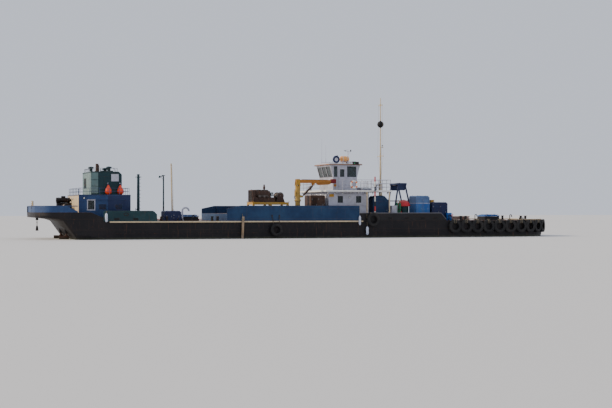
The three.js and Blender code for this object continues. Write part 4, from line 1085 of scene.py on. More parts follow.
class Recipe(NodeGroup):
    """A Geometry Nodes tree with named inputs, which ends in Realize Instances and Set Material."""

    prefix = "GeometryNode"
    kinds = {type(None): "Object", bool: "Bool", int: "Int", float: "Float"}

    def __init__(self, name: str, **inputs: object) -> None:
        """Makes the tree and its sockets.

        Args:
            name: the tree's name.
            **inputs: default value for each input, with _ for a space, None for the shape to copy.
        """
        super().__init__(bpy.data.node_groups.new(name, "GeometryNodeTree"))
        self.declare("Geometry", "Geometry")
        for label, value in inputs.items():
            self.declare(label.replace("_", " "), self.kinds[type(value)], value)
        self.declare("Finish", "Material")
        self.declare("Geometry", "Geometry", way="OUTPUT")
        self.open()

    def close(self, geometry: Wire) -> "Recipe":
        """Ends the tree with the geometry it is given.

        Args:
            geometry: what the tree gives.

        Returns:
            The recipe.
        """
        soft = self.out("SetShadeSmooth", Geometry=self.out("RealizeInstances", Geometry=geometry))
        done = self.out("SetMaterial", Geometry=soft, Material=self["Finish"])
        self.link(done, self.tree.nodes.new("NodeGroupOutput").inputs[0])
        return self

    def up(self, height: Wire) -> Wire:
        """Gives the vector that rises by a height."""
        return self.out("ShaderNodeCombineXYZ", Z=height)

    def swept(self, line: Wire, sides: int, radius: Wire) -> Wire:
        """Sweeps a circle along a curve."""
        section = self.out("CurvePrimitiveCircle", Resolution=sides, Radius=radius)
        return self.out("CurveToMesh", Curve=line, Profile_Curve=section, Fill_Caps=True)

    def aimed(self, **axes: str) -> Wire:
        """Gives the turn that points an axis along the stored vector."""
        stored = self.out("InputNamedAttribute", data_type="FLOAT_VECTOR", Name="aim")
        return self.out("FunctionNodeAlignRotationToVector", Vector=stored, **axes)

    def spun(self, turn: Wire, axis: Point, angle: Wire) -> Wire:
        """Turns on about one of the turned axes."""
        spin = self.out("FunctionNodeAxisAngleToRotation", Axis=axis, Angle=angle)
        return self.out("FunctionNodeRotateRotation", rotation_space="LOCAL", Rotation=turn, Rotate_By=spin)

    def copies(self, points: Wire, turn: Wire) -> Wire:
        """Puts a copy of the shape on each point."""
        shape = self.out("ObjectInfo", "Geometry", Object=self["Shape"])
        return self.out("InstanceOnPoints", Points=points, Instance=shape, Rotation=turn)


class Recipes:
    """The trees that the sub-assemblies share."""

    def __init__(self) -> None:
        """Builds the trees."""
        self.trees = {Pattern.RAILING: self.railing(), Pattern.ROW: self.row(), Pattern.COIL: self.coil(),
                      Pattern.PLACED: self.placed(), Pattern.UPRIGHT: self.upright()}

    def railing(self) -> Recipe:
        """Builds the tree of Pattern.RAILING.

        Returns:
            The tree, ready for a modifier.
        """
        tree = Recipe("Railing", Height=0.5, Rails=3, Rail_Radius=0.01, Post_Radius=0.012)
        base, height = tree["Geometry"], tree["Height"]
        post = tree.out("MeshCylinder", "Mesh", Vertices=8, Radius=tree["Post Radius"], Depth=height)
        raised = tree.out("Transform", Geometry=post, Translation=tree.up(height * 0.5))
        posts = tree.out("InstanceOnPoints", Points=base, Instance=raised)
        line = tree.out("MeshToCurve", Mesh=base)
        copies = tree.node("DuplicateElements", domain="SPLINE", Geometry=line, Amount=tree["Rails"]).outputs
        level = (Wire(tree, copies[1]) + 1.0) * (height / tree["Rails"])
        moved = tree.out("SetPosition", Geometry=copies[0], Offset=tree.up(level))
        both = tree.node("JoinGeometry")
        for piece in (tree.swept(moved, 8, tree["Rail Radius"]), posts):
            tree.link(piece, both.inputs[0])
        return tree.close(Wire(tree, both.outputs[0]))

    def row(self) -> Recipe:
        """Builds the tree of Pattern.ROW.

        Returns:
            The tree, ready for a modifier.
        """
        tree = Recipe("Row", Shape=None, Count=10, Twist=0.0, Follow=True)
        line = tree.out("MeshToCurve", Mesh=tree["Geometry"])
        even = tree.out("ResampleCurve", Curve=line, Count=tree["Count"])
        along = tree.out("FunctionNodeAlignRotationToVector", axis="X", Vector=tree.out("InputTangent"))
        turned = tree.spun(along, (1, 0, 0), tree.out("InputIndex") * tree["Twist"])
        chosen = tree.out("Switch", input_type="ROTATION", Switch=tree["Follow"], i2=turned)
        return tree.close(tree.copies(even, chosen))

    def coil(self) -> Recipe:
        """Builds the tree of Pattern.COIL.

        Returns:
            The tree, ready for a modifier.
        """
        tree = Recipe("Coil", Core=0.1, Width=0.3, Turns=12.0, Rope_Radius=0.008)
        wound = tree.out("CurveSpiral", Resolution=20, Rotations=tree["Turns"], Start_Radius=tree["Core"],
                         End_Radius=tree["Core"], Height=tree["Width"])
        centred = tree.out("SetPosition", Geometry=wound, Offset=tree.up(tree["Width"] * -0.5))
        rope = tree.swept(centred, 6, tree["Rope Radius"])
        aim = tree.aimed(axis="Z")
        return tree.close(tree.out("InstanceOnPoints", Points=tree["Geometry"], Instance=rope, Rotation=aim))

    def placed(self) -> Recipe:
        """Builds the tree of Pattern.PLACED.

        Returns:
            The tree, ready for a modifier.
        """
        tree = Recipe("Placed", Shape=None, Spin=0.0, Seed=7)
        chance = tree.out("FunctionNodeRandomValue", 1, data_type="FLOAT", Seed=tree["Seed"])
        turned = tree.spun(tree.aimed(axis="Z"), (0, 0, 1), chance * tree["Spin"])
        return tree.close(tree.copies(tree["Geometry"], turned))

    def upright(self) -> Recipe:
        """Builds the tree of Pattern.UPRIGHT."""
        tree = Recipe("Upright", Shape=None)
        return tree.close(tree.copies(tree["Geometry"], tree.aimed(axis="X", pivot_axis="Z")))


# Common shapes


def spaced(points: Sequence[Point], step: float) -> list[Vector]:
    """Spaces points evenly along a line.

    Args:
        points: the line's corners.
        step: about how far apart the points are.

    Returns:
        The points, the corners among them.
    """
    result = [Vector(points[0])]
    for a, b in zip(points, points[1:]):
        start, end = Vector(a), Vector(b)
        count = max(1, round((end - start).length / step))
        result += [start.lerp(end, i / count) for i in range(1, count + 1)]
    return result


def bolt_head(finish: Finish, axis: Point, radius: float = 0.022, height: float = 0.016) -> Shape:
    """Makes a bolt head about the origin, for a tree to copy.

    Args:
        finish: its finish.
        axis: the way that it points.
        radius: its radius.
        height: how far it stands out.

    Returns:
        The shape.
    """
    washer = height * 0.3
    shape = Shape("bolt_head", finish)
    shape.turned([(radius * 1.5, -0.004), (radius * 1.5, washer)], (0, 0, 0), axis, 12)
    return shape.turned([(radius, washer), (radius, height * 0.85), (radius * 0.8, height)], (0, 0, 0), axis,
                        6)


def chain_link(finish: Finish, length: float, thick: float) -> Shape:
    """Makes a link along X about the origin, for a tree to copy.

    Args:
        finish: its finish.
        length: its whole length.
        thick: the bar's radius.

    Returns:
        The shape.
    """
    half, bend = length / 2 - thick, length * 0.3
    path = arc((half - bend, 0, 0), bend, -90, 90, 5) + arc((bend - half, 0, 0), bend, 90, 270, 5)
    return Shape("link", finish).tube(path, thick, 7, closed=True)


def tyre_shape(radius: float, width: float, lugs: int = 30) -> Shape:
    """Makes a worn lorry tyre about the origin, its axle along Z.

    Args:
        radius: its outer radius.
        width: its width.
        lugs: tread blocks on each shoulder.

    Returns:
        The shape.
    """
    bead, half, wall = radius * 0.55, width / 2, 0.03
    middle = (bead + radius) / 2
    outer = [(bead, half * 0.72), (bead + 0.02, half * 0.9), (middle - 0.05, half * 0.985), (middle, half),
             (middle + 0.05, half * 0.95), (radius - 0.04, half * 0.8), (radius - 0.012, half * 0.66),
             (radius - 0.006, half * 0.4), (radius - 0.02, half * 0.35), (radius - 0.02, half * 0.25),
             (radius - 0.004, half * 0.2)]
    inner = [(bead + 0.02, half * 0.6), (middle, half - wall), (radius - 0.06, half * 0.6),
             (radius - wall - 0.015, half * 0.3)]
    line = outer + [(r, -h) for r, h in reversed(outer)]
    line += [(r, -h) for r, h in inner] + [(r, h) for r, h in reversed(inner)]
    shape = Shape("tyre", RUBBER).turned([*line, line[0]], (0, 0, 0), sides=40)
    for i in range(lugs):
        for side in (-1, 1):
            turn = 2 * math.pi * (i + (0.5 if side > 0 else 0)) / lugs
            out = Vector((math.cos(turn), math.sin(turn), 0))
            around = Vector((-out.y, out.x, 0))
            centre = out * (radius - 0.022) + Vector((0, 0, side * half * 0.62))
            shape.panel(centre, around, (0, 0, 1), (radius * 0.12, width * 0.16, 0.04))
    return shape


@dataclass
class Opening:
    """A window or hatchway in a wall: its middle, its directions and its size."""

    centre: tuple[float, float, float]
    across: tuple[float, float, float]
    up: tuple[float, float, float]
    size: tuple[float, float]

    def outward(self) -> Vector:
        """Gives the wall's outward direction."""
        return Vector(self.across).cross(Vector(self.up)).normalized()

    def at(self, right: float, high: float, out: float) -> Vector:
        """Gives a point off the middle, in metres."""
        return (Vector(self.centre) + Vector(self.across).normalized() * right
                + Vector(self.up).normalized() * high + self.outward() * out)


@dataclass
class Glazier:
    """Fits frames, seals and glass into openings."""

    frame_width: float = 0.06
    frame_depth: float = 0.03
    glass_depth: float = 0.012

    def fit(self, openings: Sequence[Opening], frames: Shape, seals: Shape, glass: Shape,
            proud: float = 0.012, inset: float = 0.035) -> None:
        """Adds each opening's frame, seal and pane to the shapes.

        Args:
            openings: the openings, each with its middle on the wall's outer face.
            frames: takes the frames.
            seals: takes the rubber seals.
            glass: takes the panes.
            proud: how far the frame stands out of the wall.
            inset: how far the pane lies in the wall.
        """
        for spot in openings:
            width, height = spot.size
            frames.border(spot.at(0, 0, proud - self.frame_depth / 2), spot.across, spot.up, spot.size,
                          self.frame_width, self.frame_depth)
            inner = (width - 0.05, height - 0.05)
            seals.border(spot.at(0, 0, -inset), spot.across, spot.up, inner, 0.024, 0.03)
            glass.panel(spot.at(0, 0, -inset), spot.across, spot.up, (inner[0] + 0.004, inner[1] + 0.004,
                                                                      self.glass_depth))


# The yard, and the sub-assemblies' common part


Rule = Callable[[Vector, Vector], Optional[Finish]]


class Yard:
    """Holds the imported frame, the materials and the trees, and counts the pieces."""

    def __init__(self, frame: dict) -> None:
        """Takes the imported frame.
        """
        self.frame = frame
        self.palette = Palette()
        self.recipes = Recipes()
        groups = frame["record"]["behaviour"]["bodies"]
        self.body_of = {node: body for body, nodes in groups.items() for node in nodes}
        self.slot_of = {item["node"]: item["material_slot"] for item in frame["record"]["subparts"]}
        self.count = 0
        self.dressed: set[str] = set()

    def settle(self, piece: bpy.types.Object, body: str, slot: str,
               replaced: Sequence[str]) -> bpy.types.Object:
        """Rides a piece on its body.

        Args:
            piece: the object.
            body: the body's name.
            slot: the record's material slot, which is not used.
            replaced: the nodes that it stands for.

        Returns:
            The piece.
        """
        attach(piece, body)
        if replaced:
            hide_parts(*replaced)
            self.dressed.update(replaced)
        self.count += 1
        LOG.info("%s on %s, %d faces", piece.name, body, len(piece.data.polygons))
        return piece


@dataclass
class Fitting:
    """A sub-assembly, which makes its pieces in the yard."""

    yard: Yard

    def put(self, shape: Shape, body: str = VESSEL, replaced: Sequence[str] = (), bevel: float = 0.0,
            angle: float = 35.0) -> bpy.types.Object:
        """Makes a shape's object and rides it on its body.

        Args:
            shape: the shape.
            body: the body's name.
            replaced: the nodes that it stands for.
            bevel: width of the bevel on its edges, at full size.
            angle: edges sharper than this stay sharp, in degrees.

        Returns:
            The piece.
        """
        piece = shape.object(self.yard.palette, angle=angle)
        self.bevel(piece, bevel)
        return self.yard.settle(piece, body, shape.finishes[0].slot, replaced)

    def bevel(self, piece: bpy.types.Object, width: float) -> None:
        """Rounds a piece's sharp edges a little, by a full-size width, 0 for none.

        Args:
            piece: the piece to round.
            width: the rounding's width in full-size metres.
        """
        if not width:
            return
        modifier = piece.modifiers.new("Edges", "BEVEL")
        modifier.width = width * SCALE
        modifier.segments = 2
        modifier.limit_method = "ANGLE"
        modifier.angle_limit = math.radians(38)
        modifier.harden_normals = True

    def skin(self, node: str, rule: Finish | Rule, bevel: float = 0.012,
             angle: float = 35.0) -> bpy.types.Object:
        """Stands a finished copy of a node's own mesh for it.

        Args:
            node: the node.
            rule: its finish, or a function of a face's middle and normal that gives one, None for no face.
            bevel: width of the bevel on its edges, at full size.
            angle: edges sharper than this stay sharp, in degrees.

        Returns:
            The piece.
        """
        source = self.yard.frame["nodes"][node]
        work = bmesh.new()
        work.from_mesh(source.data)
        work.transform(source.matrix_world)
        bmesh.ops.remove_doubles(work, verts=work.verts, dist=2e-5)
        bmesh.ops.dissolve_limit(work, angle_limit=math.radians(0.8), verts=work.verts, edges=work.edges)
        finishes: list[Finish] = []
        dropped = []
        for face in work.faces:
            chosen = rule(to_ship(face.calc_center_median()), face.normal) if callable(rule) else rule
            if chosen is None:
                dropped.append(face)
                continue
            if chosen not in finishes:
                finishes.append(chosen)
            face.material_index = finishes.index(chosen)
        bmesh.ops.delete(work, geom=dropped, context="FACES")
        mesh = bpy.data.meshes.new(node + "_skin")
        work.to_mesh(mesh)
        work.free()
        piece = self.yard.palette.dress(mesh, finishes, angle)
        self.bevel(piece, bevel)
        return self.yard.settle(piece, self.yard.body_of[node], self.yard.slot_of[node], [node])

    def base(self, name: str, lines: Sequence[Sequence[Point]], aims: Sequence[Point]) -> bpy.types.Object:
        """Makes the lines that a tree works on.

        Args:
            name: the object's name.
            lines: the lines, by their points.
            aims: an axis for each point, or none.

        Returns:
            The object, in the scene.
        """
        mesh = bpy.data.meshes.new(name)
        points: list[Vector] = []
        edges: list[tuple[int, int]] = []
        for line in lines:
            start = len(points)
            points += [to_frame(p) for p in line]
            edges += [(start + i, start + i + 1) for i in range(len(line) - 1)]
        mesh.from_pydata(points, edges, [])
        if aims:
            stored = mesh.attributes.new("aim", "FLOAT_VECTOR", "POINT")
            stored.data.foreach_set("vector", [value for aim in aims for value in aim])
        return linked(mesh)

    def grow(self, name: str, pattern: Pattern, finish: Finish, lines: Sequence[Sequence[Point]],
             aims: Sequence[Point] = (), body: str = VESSEL, stencil: Optional[Shape] = None,
             replaced: Sequence[str] = (), **values: object) -> bpy.types.Object:
        """Runs a tree on base lines or points, and makes its result a plain mesh.

        Args:
            name: the piece's name.
            pattern: which tree.
            finish: the piece's finish.
            lines: the base, as lines of points.
            aims: an axis for each point, for the trees that read one.
            body: the body's name.
            stencil: the shape to copy, about the origin.
            replaced: the nodes that the piece stands for.
            **values: the tree's inputs, with _ for a space, sizes in the frame's metres.

        Returns:
            The piece.
        """
        piece = self.base(name, lines, aims)
        modifier = piece.modifiers.new("Recipe", "NODES")
        modifier.node_group = self.yard.recipes.trees[pattern].tree
        given = {key.replace("_", " "): value for key, value in values.items()}
        given["Finish"] = self.yard.palette.material(finish)
        copied = stencil.object(self.yard.palette, turn=lambda p: Vector(p) * SCALE) if stencil else None
        if copied:
            given["Shape"] = copied
        for item in modifier.node_group.interface.items_tree:
            if item.in_out == "INPUT" and item.name in given:
                modifier[item.identifier] = given[item.name]
        evaluated = piece.evaluated_get(bpy.context.evaluated_depsgraph_get())
        mesh = bpy.data.meshes.new_from_object(evaluated)
        piece.modifiers.remove(modifier)
        mesh.name = name
        piece.data = mesh
        if copied:
            bpy.data.objects.remove(copied)
        if not mesh.materials:
            mesh.materials.append(given["Finish"])
        smooth(mesh, 35.0)
        return self.yard.settle(piece, body, finish.slot, replaced)

    def row(self, name: str, finish: Finish, lines: Sequence[Sequence[Point]], stencil: Shape, count: int,
            body: str = VESSEL) -> None:
        """Sets as many copies of a shape evenly along each line, without turning them."""
        self.grow(name, Pattern.ROW, finish, lines, body=body, stencil=stencil, Count=count, Follow=False)

    def chain(self, name: str, line: Sequence[Point], count: int, length: float, thick: float) -> None:
        """Hangs a chain of so many links along a line, each turned by a quarter from the last."""
        self.grow(name, Pattern.ROW, IRON, [line], stencil=chain_link(IRON, length, thick), Count=count,
                  Twist=math.pi / 2)

    def bolts(self, name: str, finish: Finish, points: Sequence[Point], radius: float = 0.022,
              body: str = VESSEL) -> None:
        """Stands a bolt's head on each point."""
        self.grow(name, Pattern.PLACED, finish, [[p] for p in points], [(0, 0, 1)] * len(points), body,
                  bolt_head(finish, (0, 0, 1), radius))

    def glaze(self, name: str, spots: Sequence[Opening], finish: Finish, body: str = VESSEL,
              width: float = 0.05, inset: float = 0.035) -> None:
        """Fits frames, seals and panes and hands them to a body.

        Args:
            name: the row's name.
            spots: the openings.
            finish: the frames' finish.
            body: what the windows ride on.
            width: the frames' width.
            inset: how far the panes lie in the wall.
        """
        frames, seals, glass = (Shape(f"{name}_frames", finish), Shape(f"{name}_seals", SEAL),
                                Shape(f"{name}_glass", GLASS))
        Glazier(width).fit(spots, frames, seals, glass, inset=inset)
        self.put(frames, body, bevel=0.005)
        self.put(seals, body)
        self.put(glass, body)


# Hull, stern gear and bulwarks


@dataclass
class Hull(Fitting):
    """The hull's shell, its deck fittings and the bars, anodes and sea chests on its shell."""

    bollards: tuple[tuple[float, float, float], ...] = ((1.5, 3.3, POOP_DECK), (
        10.6, 4.05, MAIN_DECK), (15.0, 4.05, MAIN_DECK), (38.5, 3.85, MAIN_DECK), (45.5, 2.3, MAIN_DECK))
    bollard_spacing: float = 0.48
    bollard_radius: float = 0.11
    bollard_height: float = 0.42
    bar_reach: float = 0.16
    bar_height: float = 0.2
    bar_radius: float = 0.02
    vents: tuple[tuple[float, float], ...] = ((13.0, 4.1), (37.0, 4.0), (43.4, 3.6))
    fairleads: tuple[float, ...] = (11.9, 44.3)
    caps: tuple[tuple[float, float], ...] = (
        (13.9, 2.6), (14.6, -3.2), (40.4, 2.2), (43.9, -1.6), (11.4, 3.2), (42.2, 2.9), (9.2, 1.7))
    main_offset: float = 2.9
    main_runs: tuple[tuple[float, ...], ...] = ((8.2, 10.0, 15.6), (35.2, 40.9, 41.4))
    hydrants: tuple[float, ...] = (9.9, 40.6)
    saddles: tuple[float, ...] = (8.5, 9.5, 10.7, 11.9, 13.1, 14.3, 15.3, 35.5, 36.9, 38.3, 39.7, 41.0)
    bar_span: tuple[float, float] = (6.4, 35.9)
    anodes: tuple[float, ...] = (8.2, 14.0, 22.0, 30.0, 38.0)
    sea_chests: tuple[float, ...] = (12.0, 33.0)
    anode_height: float = 0.55

    def build(self) -> None:
        """Dresses the hull."""
        self.skin("hull", self.finish_at, 0.014)
        self.posts()
        self.tank_vents()
        self.leads_and_caps()
        self.fire_main()
        self.welds()

    def post_places(self) -> list[tuple[float, float, float]]:
        """Lists every bollard post's station, offset and deck."""
        return [(s + end * self.bollard_spacing / 2, side * y, deck)
                for s, y, deck in self.bollards for side in (-1, 1) for end in (-1, 1)]

    def finish_at(self, place: Vector, normal: Vector) -> Optional[Finish]:
        """Chooses a face's paint by its place and slope.

        Args:
            place: the face's middle on the ship.
            normal: its normal.

        Returns:
            The finish, or None on a bollard's post.
        """
        for s, y, deck in self.post_places():
            if place.z > deck + 0.045 and math.hypot(place.x - s, place.y - y) < 0.16:
                return None
        deck = POOP_DECK if place.x < 5.42 else MAIN_DECK
        if normal.z > 0.7 and place.z > 2.3:
            return DECK if place.z < deck + 0.02 else DARK
        fitting = place.z > MAIN_DECK + 0.01 and place.x > 5.6
        return DARK if fitting else BLACK

    def posts(self) -> None:
        """Turns the bollards with their cross bars."""
        shape = Shape("bollard_posts", DARK)
        r, top = self.bollard_radius, self.bollard_height
        profile = [(r, 0.03), (r * 0.96, top - 0.07), (r * 1.1, top - 0.05), (r * 1.27, top - 0.035),
                   (r * 1.27, top - 0.012), (r * 1.1, top)]
        for place in self.post_places():
            shape.turned(profile, place, sides=20)
        reach = Vector((0, self.bar_reach, 0))
        for place in self.post_places():
            middle = Vector(place) + Vector((0, 0, self.bar_height))
            shape.tube([middle - reach, middle + reach], self.bar_radius, 8)
        self.put(shape, bevel=0.004)

    def tank_vents(self) -> None:
        """Bends the tank vents."""
        pipes = Shape("tank_vents", DARK)
        for s, y in self.vents:
            for side in (-1, 1):
                base = Vector((s, side * y, MAIN_DECK))
                pipes.turned([(0.1, 0.0), (0.1, 0.02)], base, sides=16)
                path = [base, base + Vector((0, 0, 0.42))]
                path += [base + Vector((0.1 - 0.1 * math.cos(t), 0, 0.42 + 0.1 * math.sin(t)))
                         for t in (math.pi * k / 6 for k in range(1, 7))]
                path.append(base + Vector((0.2, 0, 0.36)))
                pipes.tube(path, 0.038, 12)
                pipes.turned([(0.055, -0.03), (0.055, 0.03)], base + Vector((0.2, 0, 0.35)), sides=14)
        self.put(pipes, bevel=0.003)

    def leads_and_caps(self) -> None:
        """Stands the roller fairleads and turns the sounding caps."""
        leads = Shape("roller_fairleads", DARK)
        for s in self.fairleads:
            for side in (-1, 1):
                y = side * (half_breadth(s) - 0.22)
                leads.block((s - 0.34, s + 0.34), (y - 0.11, y + 0.11), (MAIN_DECK, MAIN_DECK + 0.05))
                for dx in (-0.18, 0.18):
                    leads.turned([(0.07, 0.05), (0.055, 0.09), (0.055, 0.2), (0.075, 0.24), (0.03, 0.26)],
                                 (s + dx, y, MAIN_DECK), sides=16)
        self.put(leads, bevel=0.006)
        caps = Shape("sounding_caps", BRASS)
        for s, y in self.caps:
            caps.turned([(0.08, 0.0), (0.08, 0.012), (0.055, 0.014), (0.055, 0.03), (0.02, 0.034)],
                        (s, y, MAIN_DECK), sides=16)
        self.put(caps, bevel=0.002)

    def fire_main(self) -> None:
        """Lays the fire main on its saddles, with its hydrants."""
        line = Shape("fire_main", RED)
        y, low, high, wheel = self.main_offset, 2.62, 2.98, 3.12
        for run in self.main_runs:
            line.tube([(s, y, low) for s in run], 0.04, 10)
        for s in self.hydrants:
            line.tube([(s, y, low), (s, y, high)], 0.035, 10)
            line.tube([(s, y, high), (s, y - 0.2, high)], 0.045, 10)
            line.hoop((s, y, wheel), (0, 0, 1), 0.08, 0.01, 16, 6)
            line.tube([(s, y, high), (s, y, wheel)], 0.01, 6)
            line.tube([(s - 0.08, y, wheel), (s + 0.08, y, wheel)], 0.006, 6)
        self.put(line)
        feet = [(s, y, MAIN_DECK + 0.04) for s in self.saddles]
        saddle = Shape("saddle", DARK).block((-0.03, 0.03), (-0.07, 0.07), (-0.05, 0.05))
        self.grow("pipe_saddles", Pattern.UPRIGHT, DARK, [[p] for p in feet], [(1, 0, 0)] * len(feet),
                  stencil=saddle)

    def welds(self) -> None:
        """Adds doubler bars, anodes and sea chests on the shell."""
        bars = Shape("shell_bars", BLACK)
        for side in (-1, 1):
            bars.block(self.bar_span, (side * (HALF_BEAM + 0.012), side * HALF_BEAM - side * 0.01),
                       (1.46, 1.52))
        self.put(bars, bevel=0.01)
        anodes = Shape("anodes", STEEL)
        z = self.anode_height
        for s in self.anodes:
            for side in (-1, 1):
                y = side * HALF_BEAM
                anodes.block((s, s + 0.5), (y, y + side * 0.06), (z, z + 0.14))
                anodes.block((s - 0.12, s + 0.62), (y, y + side * 0.02), (z + 0.045, z + 0.095))
        self.put(anodes, bevel=0.015)
        for s in self.sea_chests:
            for side, name in SIDES:
                y, z = side * (HALF_BEAM + 0.004), 0.62
                slat = Shape("slat", DARK).block((-0.012, 0.012), (-0.012, 0.012), (-0.16, 0.16))
                self.row(f"sea_chest_{int(s)}_{name}", DARK, [[(s, y, z), (s + 0.6, y, z)]], slat, 13)


@dataclass
class SternGear(Fitting):
    """Rudders and propellers, each on its own body."""

    rudder_station: float = 2.75
    offset: float = 1.7
    blade: tuple[float, float] = (-0.62, 0.23)
    heights: tuple[float, float] = (0.09, 1.28)
    propeller_station: float = 3.75
    axis: float = 0.5
    tip: float = 0.42
    hub: float = 0.095
    stiffeners: tuple[float, ...] = (0.42, 0.72, 1.02)
    blade_section: tuple[tuple[float, float], ...] = (
        (-1, 0), (-0.5, 0.8), (0, 1), (0.5, 0.8), (1, 0), (0.5, -0.5), (0, -0.6), (-0.5, -0.5))

    def build(self) -> None:
        """Builds both sides."""
        for side, name in SIDES:
            self.rudder(side, name)
            self.propeller(side, name)

    def rudder(self, side: int, name: str) -> None:
        """Lofts a foil-shaped rudder with its end plates and stock.

        Args:
            side: -1 to starboard, 1 to port.
            name: the side's name.
        """
        y = side * self.offset
        aft, fore = self.blade
        chord = fore - aft
        shape = Shape(f"rudder_{name}_foil", WET_BROWN)
        rings = []
        for z, trim in ((self.heights[0], 0.03), (self.heights[0] + 0.05, 0.0), (self.heights[1] - 0.04, 0.0),
                        (self.heights[1], 0.02)):
            section = []
            for turn in turns(20):
                share = 0.5 + 0.5 * math.cos(turn)
                thick = 0.058 * (1 - 0.55 * share) * abs(math.sin(turn)) ** 0.7
                x = fore - trim - share * (chord - 2 * trim)
                section.append((self.rudder_station + x, y + math.copysign(thick, math.sin(turn)), z))
            rings.append(section)
        shape.loft(rings)
        for z in (self.heights[0], self.heights[1] - 0.02):
            outline = [(aft, -0.03), (0.1, -0.085), (fore, -0.05), (fore, 0.05), (0.1, 0.085), (aft, 0.03)]
            shape.plate(2, (z, z + 0.02), [(self.rudder_station + x, y + dy) for x, dy in outline])
        shape.tube([(self.rudder_station, y, 1.2), (self.rudder_station, y, 1.88)], 0.074, 20)
        shape.turned([(0.13, 0.0), (0.13, 0.06), (0.08, 0.09)], (self.rudder_station, y, self.heights[1]),
                     sides=20)
        for z in self.stiffeners:
            shape.block((self.rudder_station + aft + 0.03, self.rudder_station + fore - 0.08),
                        (y - 0.062, y + 0.062), (z, z + 0.015))
        self.put(shape, f"rudder_{name}", [f"rudder_{name}"], 0.006)

    def propeller(self, side: int, name: str) -> None:
        """Lofts four twisted blades on a coned hub and its shaft.

        Args:
            side: -1 to starboard, 1 to port.
            name: the side's name.
        """
        s, y, z = self.propeller_station, side * self.offset, self.axis
        shape = Shape(f"propeller_{name}_cast", BRONZE)
        shape.turned([(0.012, -0.2), (0.05, -0.17), (self.hub * 0.85, -0.1), (self.hub, 0.0),
                      (self.hub, 0.13), (0.06, 0.15)], (s, y, z), (1, 0, 0), 24)
        for blade in range(4):
            start = math.pi / 2 * blade + math.pi / 4
            rings = []
            for step in range(7):
                share = step / 6
                r = self.hub * 0.7 + (self.tip - self.hub * 0.7) * share
                pitch = math.atan2(0.42, 2 * math.pi * max(r, 0.1)) + 0.1
                half = 0.035 + 0.115 * math.sin(math.pi * min(1.0, share * 0.82 + 0.12)) ** 0.8
                thick = 0.022 * (1 - share) + 0.006
                section = []
                for u, v in self.blade_section:
                    along = u * half
                    x = along * math.sin(pitch) + v * thick * math.cos(pitch)
                    around = side * (along * math.cos(pitch) - v * thick * math.sin(pitch))
                    turn = start + around / r
                    section.append((s + 0.03 + x, y + r * math.cos(turn), z + r * math.sin(turn)))
                rings.append(section)
            shape.loft(rings)
        shape.use(STEEL).tube([(s + 0.1, y, z), (s + 1.0, y, z)], 0.0495, 18)
        self.put(shape, f"propeller_{name}", [f"propeller_{name}"], angle=50)


